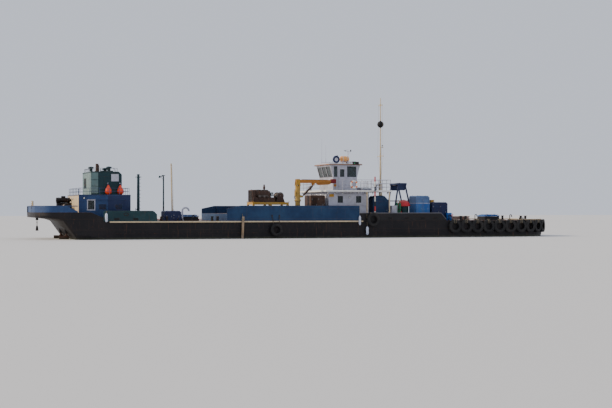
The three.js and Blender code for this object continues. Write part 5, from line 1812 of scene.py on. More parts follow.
@dataclass
class Bulwarks(Fitting):
    """Bulwarks, raised sides and strakes, with their caps, stays and ports."""

    stern_height: tuple[float, float] = (3.25, 3.77)
    quarter: tuple[float, float, float] = (5.42, 9.9, 3.36)
    raised: tuple[float, float, float] = (17.16, 28.1, 3.8)
    fore: tuple[float, float, float] = (28.1, 36.0, 3.18)
    strake: tuple[float, float] = (5.9, 28.4)
    wall: float = 0.06
    leads: tuple[float, ...] = (7.3, 30.3, 33.6)
    fore_ports: tuple[float, ...] = (31.0, 32.6, 34.2, 35.4)
    quarter_ports: tuple[float, ...] = (6.5, 8.1)
    toe_rail: tuple[float, ...] = (43.2, 44.2, 45.2, 46.0, 46.6, 47.1, 47.4)

    def build(self) -> None:
        """Dresses every wall round the deck."""
        self.skin("stern_bulwark", self.stern_finish)
        self.skin("raised_midship", lambda place, normal: DECK if normal.z > 0.7 and place.z < 3.4 else BLUE)
        for _, name in SIDES:
            self.skin(f"quarter_bulwark_{name}", TEAL)
            self.skin(f"fore_bulwark_{name}", self.fore_finish)
            self.skin(f"rubbing_strake_{name}", CREAM, 0.02)
        self.caps()
        self.stays()
        self.ports()
        self.lantern()

    def stern_finish(self, place: Vector, normal: Vector) -> Optional[Finish]:
        """Gives the stern bulwark's paint, cream on its aft-facing faces as painted sunlight, and None on the
        light's post.

        Args:
            place: a face's middle on the ship, in full-size metres.
            normal: the face's normal.

        Returns:
            The finish, or None where the face is left out.
        """
        if place.z > 3.4 and math.hypot(place.x - 0.1, place.y) < 0.12:
            return None
        # Aft-facing faces get cream as painted sunlight from the low sun astern; the rest is blue.
        return CREAM if normal.x < -0.93 else HOUSE_BLUE

    def fore_finish(self, place: Vector, normal: Vector) -> Optional[Finish]:
        """Gives the fore bulwark's paint, and None on the hung tyre."""
        return None if abs(place.y) > 4.505 else DARK

    def stern_line(self, inset: float, height: float) -> list[Point]:
        """Gives the stern bulwark's line round the stern.

        Args:
            inset: how far inside the hull's edge it runs.
            height: its height.

        Returns:
            Points from starboard to port.
        """
        stations = [3.3, 2.6, 2.1, 1.7, 1.4, 1.1, 0.8, 0.5, 0.25, inset + 0.02]
        side = [(max(s, inset), -(half_breadth(s) - inset), height) for s in stations]
        return side + [(s, -y, z) for s, y, z in reversed(side)]

    def caps(self) -> None:
        """Runs a bar along each wall's top."""
        top = Shape("stern_cap_rail", HOUSE_BLUE)
        top.tube(self.stern_line(0.045, self.stern_height[1] + 0.005), 0.04, 10)
        self.put(top)
        (a, b, high), (c, d, top), (e, f, low) = self.quarter, self.raised, self.fore
        runs = (("quarter_cap_rails", TEAL, 0.038, ((a + 0.1, high), (b - 0.35, high))),
                ("raised_cap_rails", BLUE, 0.036, ((15.98, 3.55), (c, top), (d - 0.02, top))),
                ("fore_cap_rails", RAIL_GREY, 0.038, ((e + 0.05, low), (f, low), (f + 0.48, 2.64))))
        for name, finish, radius, run in runs:
            shape = Shape(name, finish)
            for side in (-1, 1):
                shape.tube([(s, side * (HALF_BEAM - 0.03), z) for s, z in run], radius, 10)
            self.put(shape)
        for side, name in SIDES:
            line = [(self.strake[0] + 0.2, side * 4.59, 2.46), (self.strake[1] - 0.2, side * 4.59, 2.46)]
            self.row(f"strake_bolts_{name}", CREAM, [line], bolt_head(CREAM, (0, side, 0), 0.02, 0.014), 56)

    def stays(self) -> None:
        """Sets brackets inside the walls."""
        rows = (("quarter_stays", TEAL, self.quarter[0] + 0.7, self.quarter[1] - 0.8, MAIN_DECK,
                 self.quarter[2], 5, 0.4), ("raised_stays", BLUE, self.raised[0] + 0.2, self.raised[1] - 0.3,
                                            RAISED_DECK, self.raised[2], 10, 0.3),
                ("fore_stays", DARK, self.fore[0] + 1.9, self.fore[1] - 0.4, MAIN_DECK, self.fore[2], 7,
                 0.35))
        for name, finish, start, end, deck, top, count, depth in rows:
            for side, label in SIDES:
                wall = side * (HALF_BEAM - self.wall)
                stay = Shape("stay", finish)
                outline = [(0, 0), (-side * depth, 0), (-side * depth, 0.05),
                           (-side * 0.05, top - deck - 0.05), (0, top - deck - 0.05)]
                stay.plate(0, (-0.008, 0.008), outline)
                stay.block((-0.04, 0.04), (-side * 0.03, -side * depth), (0.0, 0.014))
                self.row(f"{name}_{label}", finish, [[(start, wall, deck), (end, wall, deck)]], stay, count)
        line = self.stern_line(0.09, POOP_DECK)[1:-1]
        points = spaced(line, 0.9)
        aims = [(1, 0, 0) if p.x < 0.4 else (0, -math.copysign(1, p.y), 0) for p in points]
        stay = Shape("stay", HOUSE_BLUE)
        stay.plate(1, (-0.008, 0.008), ((0, 0), (0.3, 0), (0.3, 0.05), (0.05, 0.47), (0, 0.47)))
        self.grow("stern_stays", Pattern.UPRIGHT, HOUSE_BLUE, [[p] for p in points], aims, stencil=stay)

    def ports(self) -> None:
        """Frames freeing ports and mooring leads in the walls."""
        rims = Shape("port_rims", DARK)
        # Black panels fill each freeing port on both faces of the wall: painted shade standing for the
        # opening.
        shade_panels = Shape("port_wells", DAY_SHAPE_AND_SHADE_BLACK)
        spots = [(s, 2.7, TEAL) for s in self.quarter_ports] + [(s, 2.72, DARK) for s in self.fore_ports]
        for s, z, finish in spots:
            for side in (-1, 1):
                face = side * (HALF_BEAM + 0.001)
                for sign in (-1, 1):
                    wall = face if sign > 0 else side * (HALF_BEAM - self.wall - 0.001)
                    spot = Opening((s, wall, z), (side * -sign, 0, 0), (0, 0, 1), (0.42, 0.16))
                    rims.use(finish).border(spot.centre, spot.across, spot.up, spot.size, 0.025, 0.02)
                    shade_panels.panel(spot.centre, spot.across, spot.up, (0.42, 0.16, 0.006))
        self.put(rims, bevel=0.003)
        self.put(shade_panels)
        edge = Shape("bow_toe_rail", CREAM)
        stations = self.toe_rail
        for side in (-1, 1):
            edge.tube([(s, side * (half_breadth(s) - 0.16), MAIN_DECK + 0.09) for s in stations], 0.035, 8)
            for s in stations[:-1]:
                y = side * (half_breadth(s) - 0.16)
                edge.block((s - 0.03, s + 0.03), (y - 0.012, y + 0.012), (MAIN_DECK, MAIN_DECK + 0.07))
        self.put(edge)
        leads = Shape("mooring_leads", DARK)
        for s in self.leads:
            for side in (-1, 1):
                z = 3.1 if s < 20 else 2.96
                path = [(s + 0.2 * math.cos(t), side * (HALF_BEAM - 0.03), z + 0.11 * math.sin(t))
                        for t in turns(20)]
                leads.tube(path, 0.042, 8, closed=True)
        self.put(leads)

    def lantern(self) -> None:
        """Builds the stern light on its post."""
        post = Shape("stern_light", CREAM)
        post.tube([(0.1, 0, 3.76), (0.1, 0, 4.02)], 0.045, 16)
        post.turned([(0.1, 0.0), (0.1, 0.02)], (0.1, 0, 3.77), sides=20)
        post.turned([(0.05, 0.0), (0.092, 0.02), (0.092, 0.05), (0.06, 0.055)], (0.1, 0, 4.0), sides=20)
        post.use(LENS_CLEAR).turned([(0.07, 0.0), (0.078, 0.03), (0.078, 0.09), (0.07, 0.12)],
                                    (0.1, 0, 4.055), sides=20)
        post.use(CREAM).turned([(0.09, 0.0), (0.09, 0.03), (0.05, 0.06), (0.015, 0.07)], (0.1, 0, 4.175),
                               sides=20)
        post.use(BROWN).tube([(0.06, 0, 3.55), (0.06, 0, 3.9)], 0.03, 8)
        post.tube([(0.06, 0, 3.5), (0.3, 0, 3.28)], 0.02, 8)
        # A cream board facing aft behind the light, with its frame: its cream is painted sunlight, standing
        # for the sunlit aft face at the stern.
        post.use(CREAM).block((0.15, 0.18), (-0.34, 0.34), (3.5, 4.22))
        post.border((0.165, 0, 3.86), (0, 1, 0), (0, 0, 1), (0.62, 0.66), 0.03, 0.05)
        self.put(post, bevel=0.003)


# Fenders


@dataclass
class Fenders(Fitting):
    """Tyres round the bow and on the sides, and the log."""

    width: float = 0.28
    radius: float = 0.6
    belt_start: float = 37.3
    belt_height: float = 1.98
    bow_start: float = 43.0
    bow_end: float = 47.7194
    arc_steps: int = 90
    spin: float = 6.28
    side_offset: float = 4.735
    aft_tyre: tuple[float, float, float] = (20.3, 1.75, 0.55)
    fore_tyre: tuple[float, float, float] = (29.3, 2.6, 0.6)
    log: tuple[float, float, float, float] = (17.3, 0.95, 2.9, 0.11)
    log_turns: tuple[tuple[float, float], ...] = ((2.62, 0.02), (2.66, -0.015), (2.7, 0.01))

    def build(self) -> None:
        """Builds the belt, the side tyres and the log."""
        self.belt()
        self.side_tyres()
        self.log_fender()

    def belt_line(self) -> list[Vector]:
        """Gives the port half of the line through the belt's middles.

        Returns:
            The line's points, from its aft end to the stem.
        """
        points = []
        station = self.belt_start
        while station < self.bow_start:
            points.append(Vector((station, HALF_BEAM, 0)))
            station += 0.5
        for i in range(self.arc_steps + 1):
            angle = math.pi / 2 * i / self.arc_steps
            station = self.bow_start + (self.bow_end - self.bow_start) * math.sin(angle)
            points.append(Vector((station, half_breadth(station), 0)))
        points.append(Vector((self.bow_end, 0, 0)))
        out = self.width / 2 + 0.0006
        line = []
        for i, point in enumerate(points):
            along = (points[min(i + 1, len(points) - 1)] - points[max(i - 1, 0)]).normalized()
            line.append(Vector((point.x - along.y * out, point.y + along.x * out, self.belt_height)))
        return line

    def belt_places(self) -> list[tuple[Vector, Vector]]:
        """Gives each belt tyre's middle and outward direction.

        Returns:
            A middle and a direction for each tyre.
        """
        line = self.belt_line()
        lengths = [0.0]
        for a, b in zip(line, line[1:]):
            lengths.append(lengths[-1] + (b - a).length)
        count = math.ceil(lengths[-1] / (2 * self.radius - 0.06))
        places = []
        for n in range(count):
            distance = n * lengths[-1] / count
            i = 1
            while i < len(lengths) - 1 and lengths[i] < distance:
                i += 1
            share = (distance - lengths[i - 1]) / (lengths[i] - lengths[i - 1])
            along = (line[i] - line[i - 1]).normalized()
            centre = line[i - 1].lerp(line[i], share)
            out = Vector((-along.y, along.x, 0))
            places.append((centre, out))
            places.append((Vector((centre.x, -centre.y, centre.z)), Vector((out.x, -out.y, 0))))
        places.append((line[-1], Vector((1, 0, 0))))
        return places

    def belt(self) -> None:
        """Hangs the belt's tyres, with a lashing on each."""
        places = self.belt_places()
        self.grow("bow_tyres", Pattern.PLACED, RUBBER, [[p] for p, _ in places], [out for _, out in places],
                  stencil=tyre_shape(self.radius, self.width), replaced=["bow_fender_belt"], Spin=self.spin)
        roped = [(p, out) for p, out in places if p.x < 47.0]
        loop = Shape("lashing", ROPE)
        for dx in (-0.07, 0.05):
            path = [(-0.34, dx, 0.535), (-0.2, dx, 0.56), (-0.06, dx * 1.2, 0.625), (0.06, dx * 1.2, 0.62),
                    (0.125, dx * 1.3, 0.54), (0.158, dx * 1.4, 0.45), (0.13, dx * 1.3, 0.33),
                    (0.05, dx, 0.27)]
            loop.tube(path, 0.017, 7)
        loop.hoop((-0.36, -0.01, 0.54), (0, 1, 0), 0.04, 0.012, 14, 6)
        self.grow("belt_lashings", Pattern.UPRIGHT, ROPE, [[p] for p, _ in roped], [out for _, out in roped],
                  stencil=loop)

    def side_tyres(self) -> None:
        """Hangs two tyres on each side from chains."""
        for side, name in SIDES:
            for label, (s, z, radius) in (("aft", self.aft_tyre), ("fore", self.fore_tyre)):
                self.grow(f"{label}_tyre_{name}", Pattern.PLACED, RUBBER, [[(s, side * self.side_offset, z)]],
                          [(0, side, 0)], stencil=tyre_shape(radius, self.width),
                          replaced=[f"side_tyre_{name}"] if label == "aft" else [], Spin=self.spin)
                top = z + radius
                for k, dx in enumerate((-0.25, 0.25)):
                    if label == "aft":
                        count = 13
                        line = [(s + dx * 1.3, side * 4.515, 2.95), (s + dx * 1.15, side * 4.64, 2.56),
                                (s + dx, side * 4.72, top - 0.1), (s + dx * 0.8, side * 4.76, top - 0.26)]
                    else:
                        count = 9
                        line = [(s + dx * 1.2, side * 4.40, 3.17), (s + dx * 1.1, side * 4.50, 3.225),
                                (s + dx, side * 4.66, 3.2), (s + dx * 0.8, side * 4.76, 2.98)]
                    self.chain(f"{label}_tyre_chain_{name}_{k}", line, count, 0.115, 0.012)
            plates = Shape(f"tyre_chain_plates_{name}", DARK)
            s = self.aft_tyre[0]
            for dx in (-0.325, 0.325):
                plates.block((s + dx - 0.05, s + dx + 0.05), (side * 4.499, side * 4.52), (2.86, 3.04))
                plates.hoop((s + dx, side * 4.53, 2.97), (1, 0, 0), 0.035, 0.011, 14, 6)
            self.put(plates, bevel=0.004)
        s, z, _ = self.fore_tyre
        loop = Shape("tyre_rope_ring", ROPE)
        loop.hoop((s, -(self.side_offset + 0.105), z), (0, 1, 0), 0.4, 0.028, 36, 8)
        run = ((0.28, -4.84, z + 0.29), (0.24, -4.80, z + 0.52), (0.2, -4.62, 3.2), (0.18, -4.47, 3.24),
               (0.16, -4.38, 3.1))
        for way in (-1, 1):
            loop.tube([(s + way * dx, y, h) for dx, y, h in run], 0.02, 8)
        self.put(loop)

    def log_fender(self) -> None:
        """Hews the log and ties it to the strake."""
        s, foot, top, radius = self.log
        y = -(HALF_BEAM + 0.0906 + radius)
        shape = Shape("hewn_log", LOG_WOOD)
        steps = 14
        rings = []
        for i in range(steps + 1):
            share = i / steps
            z = foot + (top - foot) * share
            x = s - 0.04 + 0.08 * share
            full = radius * (1.0 if 0 < i < steps else 0.93)
            section = []
            for t in turns(20):
                r = full * (0.97 + 0.03 * math.sin(3 * t + 2.1 * share) * math.cos(5 * share + t))
                section.append((x + r * math.cos(t), y + r * math.sin(t), z))
            rings.append(section)
        shape.loft(rings)
        self.put(shape, replaced=["log_fender"])
        tie = Shape("log_lashing", ROPE)
        for z, tilt in self.log_turns:
            tie.hoop((s + 0.03, y, z), (0, tilt, 1), radius + 0.012, 0.014, 24, 6)
        tie.tube([(s + 0.03, y + 0.1, 2.66), (s + 0.03, -4.56, 2.72), (s + 0.02, -4.535, 2.9),
                  (s, -4.53, 3.05)], 0.014, 7)
        tie.hoop((s, -4.53, 3.08), (1, 0, 0), 0.035, 0.011, 14, 6)
        self.put(tie)


# Aft: winch, anchor, house and posts


@dataclass
class WinchDrum(Fitting):
    """A flanged drum with wire on it, on its own body."""

    name: str
    span: tuple[float, float]
    half: float
    axis: float
    radius: float
    centre: float = 0.0
    wire: Finish = WIRE
    rope_radius: float = 0.012

    def build(self) -> None:
        """Turns the drum and winds its wire."""
        middle = (self.span[0] + self.span[1]) / 2
        inside = self.half - 0.074
        core = self.radius * 0.62
        origin = (middle, self.centre - self.half, self.axis)
        low, high = self.half - inside, self.half + inside
        shape = Shape(f"{self.name}_turned", IRON)
        profile = [(0.0595, 0.0), (0.0595, low), (self.radius, low), (self.radius, low + 0.045),
                   (core, low + 0.055), (core, high - 0.055), (self.radius, high - 0.045),
                   (self.radius, high), (0.0595, high), (0.0595, 2 * self.half)]
        shape.turned(profile, origin, (0, 1, 0), 32)
        for end in (low - 0.008, high - 0.004):
            for turn in turns(6):
                reach = self.radius * 0.72
                shape.turned([(0.022, 0.0), (0.022, 0.012)],
                             (middle + reach * math.cos(turn), self.centre - self.half + end,
                              self.axis + reach * math.sin(turn)), (0, 1, 0), 6)
        self.put(shape, self.name, [self.name], 0.004)
        wound = 2 * inside - 0.13
        for layer in (0, 1):
            reach = core + self.rope_radius * (1 + 1.8 * layer)
            width = wound * (0.72 if layer else 1.0)
            self.grow(f"{self.name}_wire_{layer}", Pattern.COIL, self.wire,
                      [[(middle, self.centre, self.axis)]], [(0, 1, 0)], self.name, Core=reach * SCALE,
                      Width=width * SCALE, Turns=width / (2.05 * self.rope_radius),
                      Rope_Radius=self.rope_radius * SCALE)


@dataclass
class SternDeck(Fitting):
    """The stern winch, its chain and the anchor under the hawse."""

    winch: tuple[float, float, float, float, float] = (2.48, 3.36, 0.7, 3.78, 0.23)
    hawse: tuple[float, float, float] = (0.52, 0.12, 2.6)
    crown: float = 1.74
    shank_top: float = 2.25

    def build(self) -> None:
        """Builds the stern's gear."""
        start, end, half, axis, radius = self.winch
        self.skin("stern_winch_frame", DARK, 0.008)
        WinchDrum(self.yard, "stern_winch_drum", (start, end), half, axis, radius).build()
        self.drive()
        self.anchor()

    def drive(self) -> None:
        """Adds the winch's bearings, gear case, brake screw and chain stopper."""
        start, end, half, axis, _ = self.winch
        middle = (start + end) / 2
        shape = Shape("stern_winch_drive", DARK)
        for side in (-1, 1):
            shape.turned([(0.1, 0.0), (0.1, 0.05), (0.085, 0.06)], (middle, side * (half + 0.002), axis),
                         (0, side, 0), 20)
        shape.block((middle - 0.24, middle + 0.24), (half + 0.065, half + 0.25),
                    (POOP_DECK + 0.02, axis + 0.16))
        shape.tube([(middle, half + 0.16, POOP_DECK + 0.35), (middle - 0.62, half + 0.16, POOP_DECK + 0.35)],
                   0.13, 18)
        shape.turned([(0.14, 0.0), (0.14, 0.03)], (middle - 0.35, half + 0.16, POOP_DECK + 0.35), (-1, 0, 0),
                     18)
        shape.block((middle - 0.55, middle - 0.2), (half + 0.08, half + 0.24), (POOP_DECK, POOP_DECK + 0.24))
        shape.tube([(middle + 0.3, -0.4, POOP_DECK + 0.05), (middle + 0.36, -0.4, axis + 0.25)], 0.018, 8)
        shape.hoop((middle + 0.362, -0.4, axis + 0.26), (0.1, 0, 1), 0.11, 0.012, 20, 6)
        self.motor(shape, middle, half)
        s = self.hawse[0]
        shape.hoop((s, 0, POOP_DECK + 0.012), (0, 0, 1), 0.15, 0.035, 24, 8)
        shape.block((s + 0.42, s + 0.75), (-0.12, 0.12), (POOP_DECK, POOP_DECK + 0.08))
        for side in (-1, 1):
            shape.block((s + 0.5, s + 0.56), (side * 0.05, side * 0.14), (POOP_DECK + 0.07, POOP_DECK + 0.2))
        self.put(shape, bevel=0.006)
        line = [(s, 0, POOP_DECK - 0.2), (s + 0.02, 0, POOP_DECK + 0.06), (s + 0.2, 0, POOP_DECK + 0.14), (
            s + 0.8, 0, POOP_DECK + 0.16), (middle - 0.3, 0, axis - 0.1), (middle - 0.16, 0, axis - 0.02)]
        self.chain("stern_chain", line, 29, 0.11, 0.013)

    def motor(self, shape: Shape, middle: float, half: float) -> None:
        """Stands the winch's geared motor on its case, with ribs, a fan cowl and a terminal box.

        Args:
            shape: takes the motor.
            middle: the drum's station.
            half: the drum's half length.
        """
        y, z = half + 0.52, 4.3
        shape.block((middle - 0.6, middle + 0.62), (y - 0.26, y + 0.26), (POOP_DECK, z - 0.22))
        shape.block((middle - 0.2, middle + 0.16), (half + 0.06, y - 0.2), (POOP_DECK + 0.4, 3.98))
        shape.turned([(0.12, -0.66), (0.22, -0.64), (0.24, -0.5), (0.24, -0.34), (0.215, -0.33),
                      (0.215, 0.42), (0.24, 0.43), (0.24, 0.52), (0.1, 0.56), (0.05, 0.7)], (middle, y, z),
                     (1, 0, 0), 28)
        for k in range(9):
            s = middle - 0.28 + 0.08 * k
            shape.turned([(0.205, 0.0), (0.245, 0.0), (0.245, 0.012), (0.205, 0.012)], (s, y, z), (1, 0, 0),
                         24)
        shape.block((middle - 0.2, middle + 0.14), (y - 0.15, y + 0.15), (z + 0.2, z + 0.36))
        shape.tube([(middle + 0.05, y - 0.3, POOP_DECK + 0.3), (middle + 0.3, y - 0.3, z - 0.1),
                    (middle + 0.3, y - 0.2, z)], 0.02, 8)

    def anchor(self) -> None:
        """Shapes the stockless anchor and hangs its chain."""
        s, z = self.hawse[0], self.crown
        shape = Shape("stern_anchor_cast", DARK)
        shank = ((z, 0.045, 0.055), (self.shank_top - 0.08, 0.032, 0.04), (self.shank_top, 0.02, 0.045))
        shape.loft([[(s - a, -b, h), (s + a, -b, h), (s + a, b, h), (s - a, b, h)] for h, a, b in shank])
        shape.hoop((s, 0, self.shank_top - 0.02), (1, 0, 0), 0.05, 0.014, 18, 7)
        rings = []
        for y, a, low, high in ((-0.2, 0.06, 0.0, 0.04), (-0.14, 0.105, -0.04, 0.07),
                                (0.14, 0.105, -0.04, 0.07), (0.2, 0.06, 0.0, 0.04)):
            rings.append([(s - a, y, z + low), (s + a, y, z + low), (s + a, y, z + high),
                          (s - a, y, z + high)])
        shape.loft(rings)
        for side in (-1, 1):
            rings = []
            for share, half, thick in ((0, 0.075, 0.05), (0.35, 0.085, 0.035), (0.8, 0.055, 0.02),
                                       (1.0, 0.008, 0.006)):
                centre = Vector((s, side * (0.15 + 0.11 * share), z + 0.39 * share))
                rings.append([centre + Vector((-half, -thick / 2, 0)), centre + Vector((half, -thick / 2, 0)),
                              centre + Vector((half, thick / 2, 0)), centre + Vector((-half, thick / 2, 0))])
            shape.loft(rings)
        self.put(shape, replaced=["stern_anchor"], bevel=0.01)
        line = [(s, 0, self.shank_top + 0.04), (s, 0, self.hawse[2] + 0.55)]
        self.chain("anchor_chain", line, 8, 0.16, 0.02)


@dataclass
class AftHouse(Fitting):
    """The aft house with its casing, funnel, windows, door, ladders and rails."""

    span: tuple[float, float] = (3.55, 7.9)
    half: float = 3.2
    top: float = 4.74
    casing: tuple[float, float] = (4.72, 7.33)
    casing_half: float = 2.3
    casing_top: float = 6.71
    window: tuple[float, float, float, float] = (4.33, 4.85, 3.5, 4.25)
    exhaust: tuple[float, float, float] = (5.6, 0.13, 7.45)
    door: tuple[float, float, float, float] = (0.7, 1.5, 2.72, 4.48)
    grab_posts: tuple[float, ...] = (5.15, 5.95, 6.75, 7.55)
    grilles: tuple[float, ...] = (5.55, 6.9)
    vents: tuple[tuple[float, float, float], ...] = ((5.3, 1.4, 0.34), (6.4, -1.3, 0.28), (6.5, 1.2, 0.24))

    def build(self) -> None:
        """Dresses the house from its walls up."""
        self.skin("aft_house", self.house_finish)
        self.skin("casing", self.casing_finish)
        self.skin("aft_house_door", HOUSE_BLUE, 0.01)
        self.windows()
        self.door_fittings()
        self.wall_fittings()
        self.casing_panels()
        self.casing_grilles()
        self.casing_ladder()
        self.casing_vents()
        self.funnel()
        self.rails()
        self.teardrops()

    def house_finish(self, place: Vector, normal: Vector) -> Finish:
        """Gives the house's paint: its aft wall is cream, light paint warmed with painted sunlight, its top
        dark.

        Args:
            place: a face's middle on the ship, in full-size metres.
            normal: the face's normal.

        Returns:
            The finish.
        """
        if normal.z > 0.7:
            return DECK if place.z > 4.6 else HOUSE_BLUE
        # The aft wall is cream: light paint, with the low sun's warm colour painted into it as painted
        # sunlight.
        return CREAM if normal.x < -0.7 and place.x < self.span[0] + 0.03 else HOUSE_BLUE

    def casing_finish(self, place: Vector, normal: Vector) -> Finish:
        """Gives the casing's paint: its aft wall is a lighter teal, painted sunlight from the low sun astern.
        """
        # Aft-facing faces get a lighter teal as painted sunlight; the rest is teal.
        return LIGHT_TEAL if normal.x < -0.7 else TEAL

    def windows(self) -> None:
        """Fits the side windows."""
        start, end, low, high = self.window
        frames, seals, glass = (Shape("aft_window_frames", WHITE), Shape("aft_window_seals", SEAL),
                                Shape("aft_window_glass", GLASS))
        spots = [Opening(((start + end) / 2, side * self.half, (low + high) / 2), (-side, 0, 0), (0, 0, 1),
                         (end - start, high - low)) for side in (-1, 1)]
        Glazier(0.085).fit(spots, frames, seals, glass)
        for spot in spots:
            frames.panel(spot.at(0, high - low - 0.28, 0.05), spot.across, (0, 0, 1),
                         (end - start + 0.24, 0.02, 0.1))
        self.put(frames, bevel=0.006)
        self.put(seals)
        self.put(glass)

    def door_fittings(self) -> None:
        """Adds dogs, a handle and a seal to the door."""
        low_y, high_y, low, high = self.door
        x = self.span[1] + 0.062
        shape = Shape("aft_door_fittings", STEEL)
        for z in (low + 0.25, low + 0.88, high - 0.25):
            shape.tube([(x - 0.005, low_y + 0.07, z), (x + 0.03, low_y + 0.07, z)], 0.02, 12)
            shape.tube([(x + 0.03, low_y + 0.07, z - 0.01), (x + 0.03, low_y + 0.2, z - 0.03)], 0.012, 8)
        shape.use(HOUSE_BLUE).border((x - 0.004, (low_y + high_y) / 2, (low + high) / 2), (0, 1, 0),
                                     (0, 0, 1), (0.56, 1.46), 0.03, 0.016)
        self.put(shape, "aft_house_door", bevel=0.003)
        sill = Shape("aft_door_coaming", HOUSE_BLUE)
        sill.border((self.span[1] + 0.004, 1.1, 3.61), (0, 1, 0), (0, 0, 1), (0.66, 1.62), 0.035, 0.012)
        self.put(sill, bevel=0.003)

    def wall_fittings(self) -> None:
        """Adds grilles, grab rails, a waist bar and lamps to the walls."""
        trim = Shape("aft_house_trim", HOUSE_BLUE)
        start, end = self.span
        for side in (-1, 1):
            face = side * self.half
            trim.block((start, end), (face, face + side * 0.03), (self.top - 0.06, self.top - 0.01))
            trim.tube([(5.1, face + side * 0.06, 4.3), (7.6, face + side * 0.06, 4.3)], 0.016, 8)
            for s in self.grab_posts:
                trim.tube([(s, face - side * 0.01, 4.3), (s, face + side * 0.06, 4.3)], 0.012, 8)
            trim.block((4.3, 5.44), (face, face - side * 0.05), (2.45, POOP_DECK + 0.01))
            trim.use(NAVY).block((6.0, end + 0.008), (face, face + side * 0.012), (3.3, self.top - 0.06))
            trim.use(HOUSE_BLUE)
            for s in self.grilles:
                trim.border((s, face + side * 0.012, 3.72), (-side, 0, 0), (0, 0, 1), (0.6, 0.42), 0.03, 0.03)
        for x, out in ((start, -1), (end, 1)):
            trim.block((x, x + out * 0.03), (-self.half, self.half), (self.top - 0.06, self.top - 0.01))
        self.put(trim, bevel=0.006)
        # Black panels behind the grilles' slats: painted shade inside the grilles.
        dark = Shape("aft_grille_wells", DAY_SHAPE_AND_SHADE_BLACK)
        for side in (-1, 1):
            for s in self.grilles:
                dark.panel((s, side * (self.half + 0.015), 3.72), (-side, 0, 0), (0, 0, 1),
                           (0.6, 0.42, 0.004))
        self.put(dark)
        for side, name in SIDES:
            slat = Shape("slat", HOUSE_BLUE).block((-0.3, 0.3), (0.0, side * 0.022), (-0.004, 0.012))
            lines = [[(s, side * (self.half + 0.003), 3.54), (s, side * (self.half + 0.003), 3.9)]
                     for s in self.grilles]
            self.row(f"aft_grille_slats_{name}", HOUSE_BLUE, lines, slat, 9)
        self.lamps(start, end)

    def lamps(self, start: float, end: float) -> None:
        """Hangs a lamp in its ring, with two guard wires, on each wall between the stations.

        Args:
            start: the first wall's station.
            end: the last wall's station.
        """
        lamps = Shape("bulkhead_lamps", LENS_CLEAR)
        spots = [(Vector(place), Vector(out)) for place, out in (
            ((start, 0.0, 4.4), (-1, 0, 0)), ((4.0, -self.half, 4.45), (0, -1, 0)),
            ((4.0, self.half, 4.45), (0, 1, 0)), ((end, 0.3, 4.55), (1, 0, 0)))]
        for place, out in spots:
            lamps.turned([(0.07, 0.0), (0.07, 0.03), (0.05, 0.07), (0.01, 0.085)], place, out, 20)
        lamps.use(DARK)
        for place, out in spots:
            lamps.hoop(place + out * 0.02, out, 0.078, 0.014, 24, 6)
            side = out.cross(Vector((0, 0, 1)))
            for reach in (-0.07, 0.07):
                wire = ((reach, 0.02), (reach / 2, 0.085), (-reach * 0.2, 0.092))
                lamps.tube([place + side * across + out * proud for across, proud in wire], 0.006, 6)
        self.put(lamps)

    def casing_panels(self) -> None:
        """Adds panels, beads and the grilles' frames to the casing."""
        start, end = self.casing
        plates = Shape("casing_aft_panels", LIGHT_TEAL)
        pale = Shape("casing_white_panels", WHITE)
        frames = Shape("casing_frames", TEAL)
        for side in (-1, 1):
            face = side * self.casing_half
            plates.block((start + 0.02, 5.32), (face - side * 0.004, face + side * 0.012), (4.86, 6.62))
            pale.block((6.42, 7.06), (face - side * 0.004, face + side * 0.016), (5.88, 6.5))
            for z in (5.45, 6.0):
                frames.block((start, 5.34), (face, face + side * 0.024), (z, z + 0.03))
            frames.border((6.74, face + side * 0.01, 6.19), (-side, 0, 0), (0, 0, 1), (0.64, 0.62), 0.035,
                          0.03)
            frames.block((start, end - 0.25), (face, face + side * 0.03), (6.62, 6.68))
            frames.block((start, end), (face, face + side * 0.03), (4.745, 4.82))
        self.put(plates, bevel=0.004)
        self.put(pale, bevel=0.004)
        frames.block((start - 0.03, start), (-self.casing_half, self.casing_half), (6.62, 6.68))
        frames.border((start - 0.008, 0.9, 5.75), (0, -1, 0), (0, 0, 1), (1.1, 0.8), 0.04, 0.03)
        frames.border((end + 0.008, -1.0, 5.6), (0, 1, 0), (0, 0, 1), (1.3, 0.8), 0.04, 0.03)
        self.put(frames, bevel=0.006)

    def casing_grilles(self) -> None:
        """Fills the grilles with slats."""
        start, end = self.casing
        # Black panels behind the slats: painted shade inside the grilles.
        shade_panels = Shape("casing_grille_wells", DAY_SHAPE_AND_SHADE_BLACK)
        shade_panels.panel((start - 0.003, 0.9, 5.75), (0, -1, 0), (0, 0, 1), (1.1, 0.8, 0.004))
        shade_panels.panel((end + 0.003, -1.0, 5.6), (0, 1, 0), (0, 0, 1), (1.3, 0.8, 0.004))
        self.put(shade_panels)
        for name, x, y, width, low, high, out in (
                ("aft", start, 0.9, 1.1, 5.38, 6.12, -1), ("fore", end, -1.0, 1.3, 5.23, 5.97, 1)):
            slat = Shape("slat", TEAL).block((0.0, out * 0.026), (-width / 2, width / 2), (-0.005, 0.016))
            self.row(f"casing_slats_{name}", TEAL, [[(x + out * 0.003, y, low), (x + out * 0.003, y, high)]],
                     slat, 15)

    def casing_ladder(self) -> None:
        """Hangs the ladder on the casing's fore wall."""
        ladder = Shape("casing_ladder", WHITE)
        x, y = self.casing[1] + 0.12, 1.6
        for dy in (-0.2, 0.2):
            ladder.tube([
                (x, y + dy, self.top), (x, y + dy, self.casing_top + 0.2),
                (x - 0.14, y + dy, self.casing_top + 0.42), (x - 0.46, y + dy, self.casing_top + 0.42),
                (x - 0.5, y + dy, self.casing_top)], 0.02, 8)
        self.put(ladder)
        rung = Shape("rung", WHITE).tube([(0, -0.2, 0), (0, 0.2, 0)], 0.014, 8)
        self.row("casing_rungs", WHITE, [[(x, y, self.top + 0.25), (x, y, self.casing_top + 0.1)]], rung, 8)

